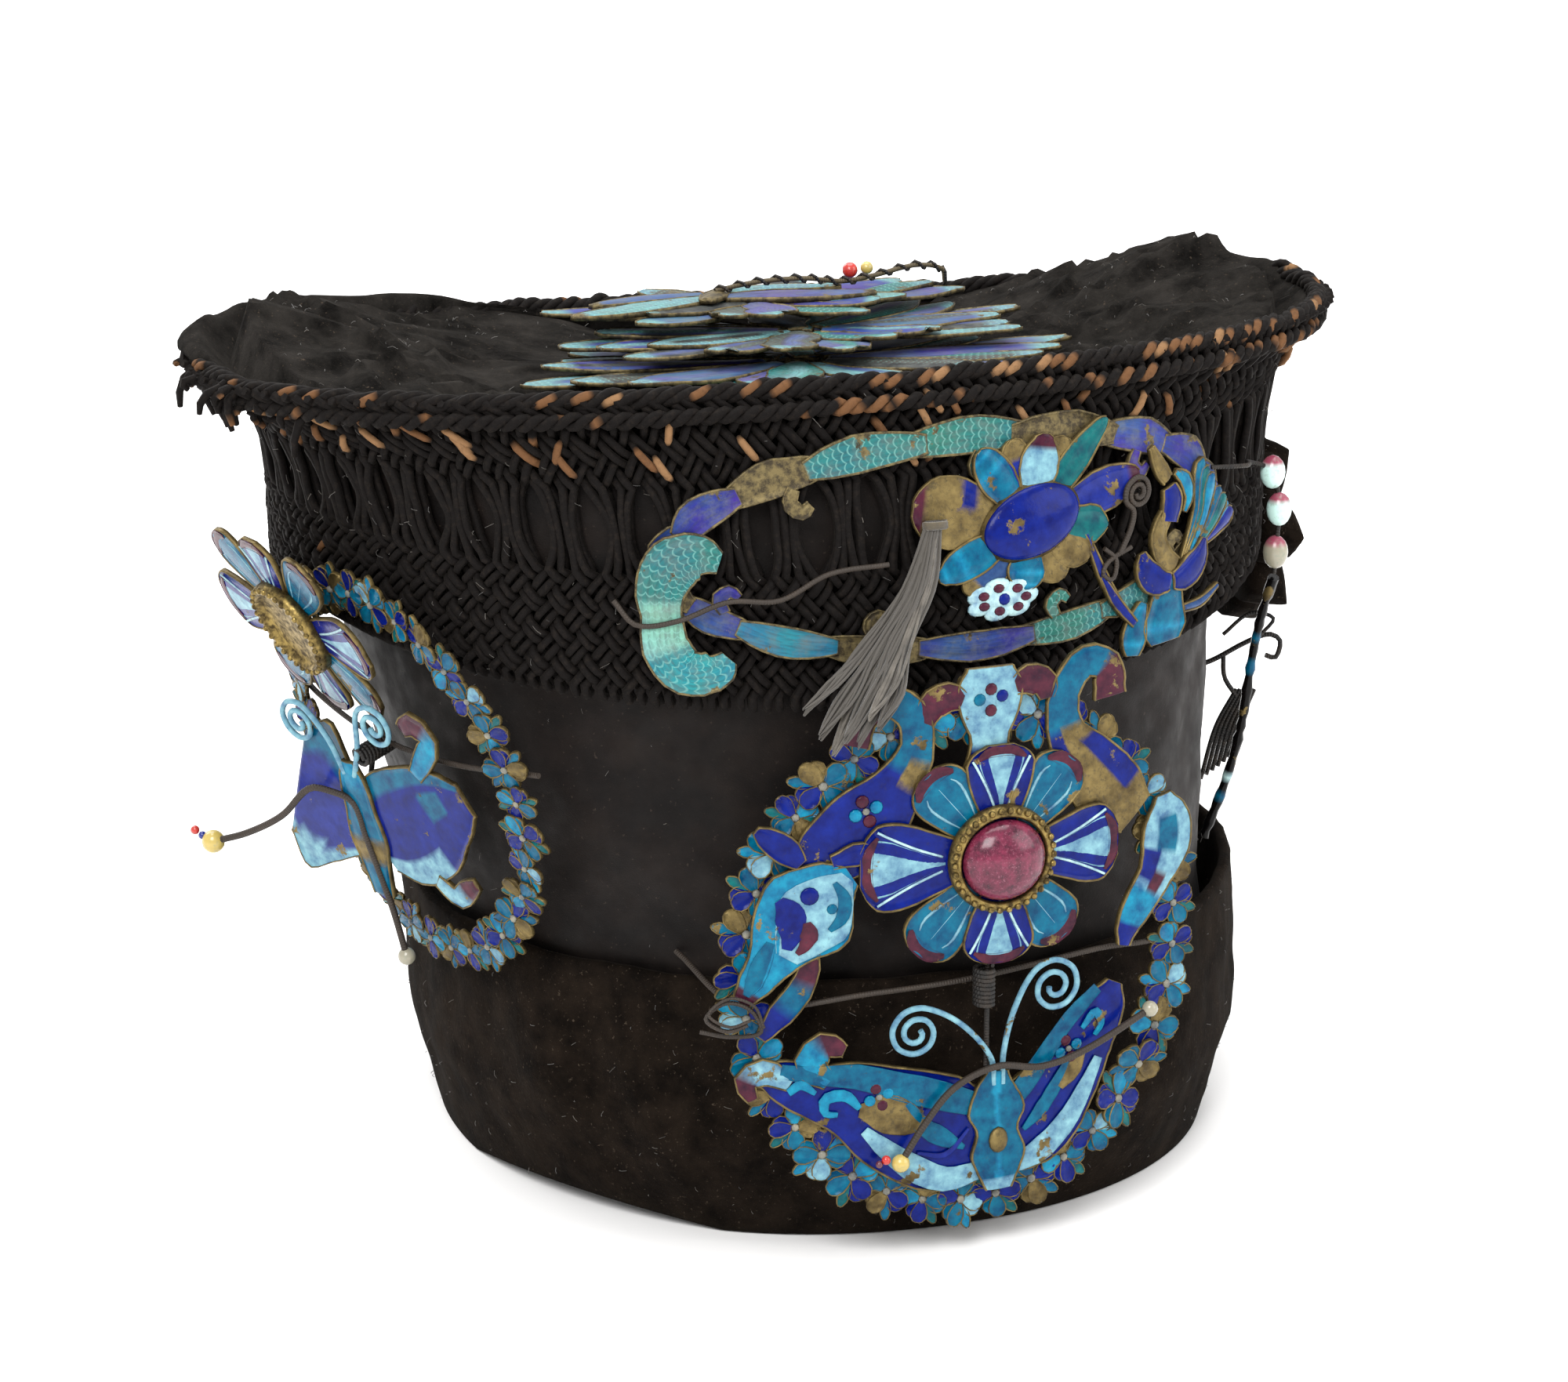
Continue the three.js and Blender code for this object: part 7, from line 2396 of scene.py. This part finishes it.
@dataclass
class TopOrnament:
    """Feathered leaves stacked on the crown, with a butterfly and wrapped coils."""

    step: float = 4.2
    plumes_each: int = 3
    seed: int = 8
    # node, centre, petals, reach, squash, turn in degrees
    leaves: tuple = (("top_leaf_low", (-6, -22), 8, 61, 0.66, 0),
                     ("top_leaf_middle", (-1, -11), 7, 54, 0.5, 12),
                     ("top_leaf_high", (-6, 4), 6, 47, 0.48, -10))

    def __post_init__(self) -> None:
        """Sheet over the crown."""
        self.panel = BentPanel(Vector((-6, 2, FORM.crown_height(-6, 2) + 3 * FORM.gap)), -90,
                               tilt=93)

    def make(self, shop: Workshop, looks: Finishes) -> None:
        """Builds and delivers all its pieces."""
        rng = random.Random(self.seed)
        tones = (Tint.PLUME, Tint.FLOSS, Tint.LILAC, Tint.TEAL, Tint.VIOLET, Tint.ICE, Tint.DARK)
        for index, (node, centre, petals, reach, squash, turn) in enumerate(self.leaves):
            draft = Draft()
            deck = (index + 1) * self.step - FORM.plate
            count = petals * self.plumes_each
            for k in range(count):
                angle = turn + 360 * k / count + rng.uniform(-4, 4)
                long = reach * (1.0 if k % self.plumes_each == 0 else rng.uniform(0.72, 0.92))
                wide = math.tau * reach * 0.62 / count * 1.15
                rows = petal_rows(centre, angle, long, wide, foot=0.12, squash=squash, belly=0.6,
                                  lift=rng.uniform(0.2, 1.6))
                tone = tones[(k + index) % len(tones)]
                glaze = Glaze((Zone(tone), Zone(tones[(k + 2) % len(tones)], (0.2, 0.9),
                                                (-0.25, 0.5)), Zone(Tint.ICE, (0.88, 1))))
                rows = [(u + rng.uniform(-1, 1), v + rng.uniform(-0.6, 0.6),
                         max(1.0, w * rng.uniform(0.8, 1.25)), *rest)
                        for u, v, w, *rest in rows]
                blade(draft, self.panel, rows, deck - 0.5 + 0.45 * (k % 3), glaze,
                      Plate(thick=0.7, dome=0.35, rim=0.35, stations=16, inner=7))
            for side in (-10, 12):
                at = (centre[0] + side, centre[1])
                spot = self.panel(*at)
                low = deck - self.step + 1.3 if index else FORM.crown_height(spot.x,
                                                                             spot.y) + 0.6 - spot.z
                knob(draft, self.panel, (*at, low), 1.5, deck - low, Tint.WORN, sides=10, levels=4)
            deliver(draft.build(node + "_plumes", looks.feather), "feather", node)
        deck = len(self.leaves) * self.step + FORM.gap
        wings = Draft()
        make = Plate(thick=0.9, dome=0.5, rim=0.4, stations=16, inner=7)
        for rows, tone, out in (
                ([(-19, 0, 3), (-15, 6, 6), (-11, 12, 3)], Tint.WORN, 0.6),
                ([(-17, 6, 6), (-27, 3.5, 11), (-38, -1, 10), (-47, -3.5, 6), (-50, -4, 2)],
                 Tint.ICE, 0),
                ([(-17, 8, 4), (-27, 9, 7), (-37, 7, 6), (-43, 5, 2)], Tint.PLUME, 0.4),
                ([(-13, 6, 6), (-3, 5, 11), (7, 1, 10), (15, -1, 6), (19, -2, 2)], Tint.LILAC, 0),
                ([(-12, 9, 4), (-2, 11, 7), (8, 8, 6), (14, 6, 2)], Tint.ICE, 0.4)):
            blade(wings, self.panel, rows, deck + out, plain(tone, Tint.WORN, 0.94), make)
        deliver(wings.build("top_butterfly_wings", looks.feather), "feather", "top_butterfly")
        points = ((-14, 8, 1.9), (-6, 5, 3.6), (4, 3, 4), (14, 5, 2.4), (20, 3, 3.4), (30, 3, 5),
                  (37, 5, 3.4), (38, 6, 0.6))
        base = smooth_route([self.panel(u, v, deck + w) for u, v, w in points], 0.8)
        coil = []
        for k, spot in enumerate(base):
            a = math.tau * k / 5
            coil.append(spot + Vector((0, 0.9 * math.cos(a), 0.9 * math.sin(a))))
        deliver(shop.cords("top_wrapped_coil", [Strand(base, 0.55, Tint.WORN),
                                                Strand(coil, 0.35, Tint.DARK)], looks.wire, 6),
                "wire", "top_coil")
        beads = Draft()
        bead(beads, self.panel(16, 6, deck + 4.5), 1.7, Tint.CORAL)
        bead(beads, self.panel(19.5, 5, deck + 4.9), 1.4, Tint.AMBER)
        deliver(beads.build("top_beads", looks.glass), "bud")


@dataclass
class Lint:
    """Grey lint on the velvet and short fibres off the cords."""

    hairs: int = 1300
    seed: int = 17

    def make(self, shop: Workshop, looks: Finishes) -> None:
        """Builds and delivers the hairs as curved threads."""
        rng = random.Random(self.seed)
        strands = []
        cuff = VelvetCuff()
        for _ in range(self.hairs):
            angle = rng.uniform(0, math.tau)
            kind = rng.random()
            if kind < 0.3:
                rise = rng.uniform(0.03, 0.98)
                ring, base = cuff.ring(rise)
                start = ring.grown(FORM.gap + FORM.velvet + base + cuff.shift(angle, rise)
                                   + 0.1).point(angle)
            elif kind < 0.45:
                start = FORM.satin_point(rng.uniform(0.5, 0.98), math.degrees(angle), 0.9)
            elif kind < 0.8:
                start = FORM.basket_ring(rng.uniform(0, 1)).grown(0.3).point(angle)
            else:
                seat = FORM.basket_ring(FORM.crown_seat).grown(-6)
                share = rng.uniform(0.4, 1) ** 0.5
                spot = seat.point(angle)
                x, y = seat.x + (spot.x - seat.x) * share, spot.y * share
                start = Vector((x, y, CrownVelvet().height(x, y, share) + 0.3))
            out = Vector((math.cos(angle), math.sin(angle), 0.1)) if kind < 0.8 else Vector((0, 0,
                                                                                             1))
            drift = Vector((rng.uniform(-1, 1), rng.uniform(-1, 1), rng.uniform(-1, 1)))
            drift -= out * drift.dot(out)
            long = rng.uniform(0.5, 2.2)
            route = [start, start + drift * long * 0.5 + out * 0.4,
                     start + drift * long + out * rng.uniform(-0.2, 0.7)]
            if min(p.z for p in route) < 0.2:
                continue
            strands.append(Strand(route, rng.uniform(0.04, 0.08),
                                  rng.choice((Tint.LINT, Tint.FLOSS, Tint.FLOSS, Tint.CORD))))
        deliver(shop.cords("lint_fibres", strands, looks.floss, 3), "silk")


# Studio


@dataclass
class Studio:
    """Pale floor, soft light and the camera of the photograph."""

    target: tuple = (6.03, 12.28, 91)
    azimuth: float = -20
    elevation: float = 17
    distance: float = 1050
    lens: float = 109.9
    # name, place in metres, size, power in watts
    lamps: tuple = (("key", (-0.9, -1.3, 1.5), 1.0, 34), ("fill", (1.4, -1.0, 0.9), 1.3, 15),
                    ("top", (0.1, 0.3, 1.7), 1.4, 26), ("rim", (-0.6, 1.5, 1.2), 0.9, 12))
    air: float = 0.95
    floor_half: float = 8
    floor_drop: float = -0.0004

    def make(self) -> None:
        """Builds the floor, the lights and the camera."""
        scene = bpy.context.scene
        scene.view_settings.view_transform = "Standard"
        mesh = bpy.data.meshes.new("floor")
        half = self.floor_half
        mesh.from_pydata([(-half, -half, 0), (half, -half, 0), (half, half, 0), (-half, half, 0)],
                         [], [(0, 1, 2, 3)])
        floor = bpy.data.objects.new("floor", mesh)
        floor.location = (0, 0, self.floor_drop)
        mesh.materials.append(StudioPaper().make())
        scene.collection.objects.link(floor)
        world = bpy.data.worlds.new("studio_air")
        scene.world = world
        world.use_nodes = True
        air = world.node_tree.nodes["Background"].inputs
        air["Color"].default_value = srgb("#ffffff")
        air["Strength"].default_value = self.air
        for name, spot, size, power in self.lamps:
            lamp = bpy.data.lights.new(name, "AREA")
            lamp.size = size
            lamp.energy = power
            light = bpy.data.objects.new(name, lamp)
            light.location = spot
            light.rotation_euler = (Vector((0, 0, 0.09))
                                    - Vector(spot)).to_track_quat("-Z", "Y").to_euler()
            scene.collection.objects.link(light)
        self.make_camera(scene)

    def make_camera(self, scene: bpy.types.Scene) -> None:
        """Camera at the photograph's angle."""
        turn, lift = math.radians(self.azimuth), math.radians(self.elevation)
        way = Vector((math.sin(turn) * math.cos(lift), -math.cos(turn) * math.cos(lift),
                      math.sin(lift)))
        data = bpy.data.cameras.new("camera")
        data.lens, data.sensor_width = self.lens, 36
        data.clip_start, data.clip_end = 0.05, 50
        camera = bpy.data.objects.new("camera", data)
        target = Vector(self.target) * MM
        camera.location = target + way * self.distance * MM
        camera.rotation_euler = (-way).to_track_quat("-Z", "Y").to_euler()
        scene.collection.objects.link(camera)
        scene.camera = camera


def main() -> None:
    """Builds the hat piece by piece."""
    global SHIFT
    logging.basicConfig(level=logging.INFO, format="%(message)s")
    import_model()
    SHIFT = find_shift()
    LOG.info("shift %s", tuple(round(c, 3) for c in SHIFT))
    Studio().make()
    shop = Workshop()
    looks = Finishes.all()
    SatinDrum().make(looks.satin)
    VelvetCuff().make(looks.velvet)
    CrownVelvet().make(looks.dusty_velvet)
    Rosette().make(looks.velvet)
    PlaitedBasket().make(shop, looks.cord)
    RimRope().make(shop, looks.cord)
    FrontMedallion().make(shop, looks)
    LeftMedallion().make(shop, looks)
    BrowOrnament().make(shop, looks)
    TopOrnament().make(shop, looks)
    Lint().make(shop, looks)


if __name__ == "__main__":
    main()
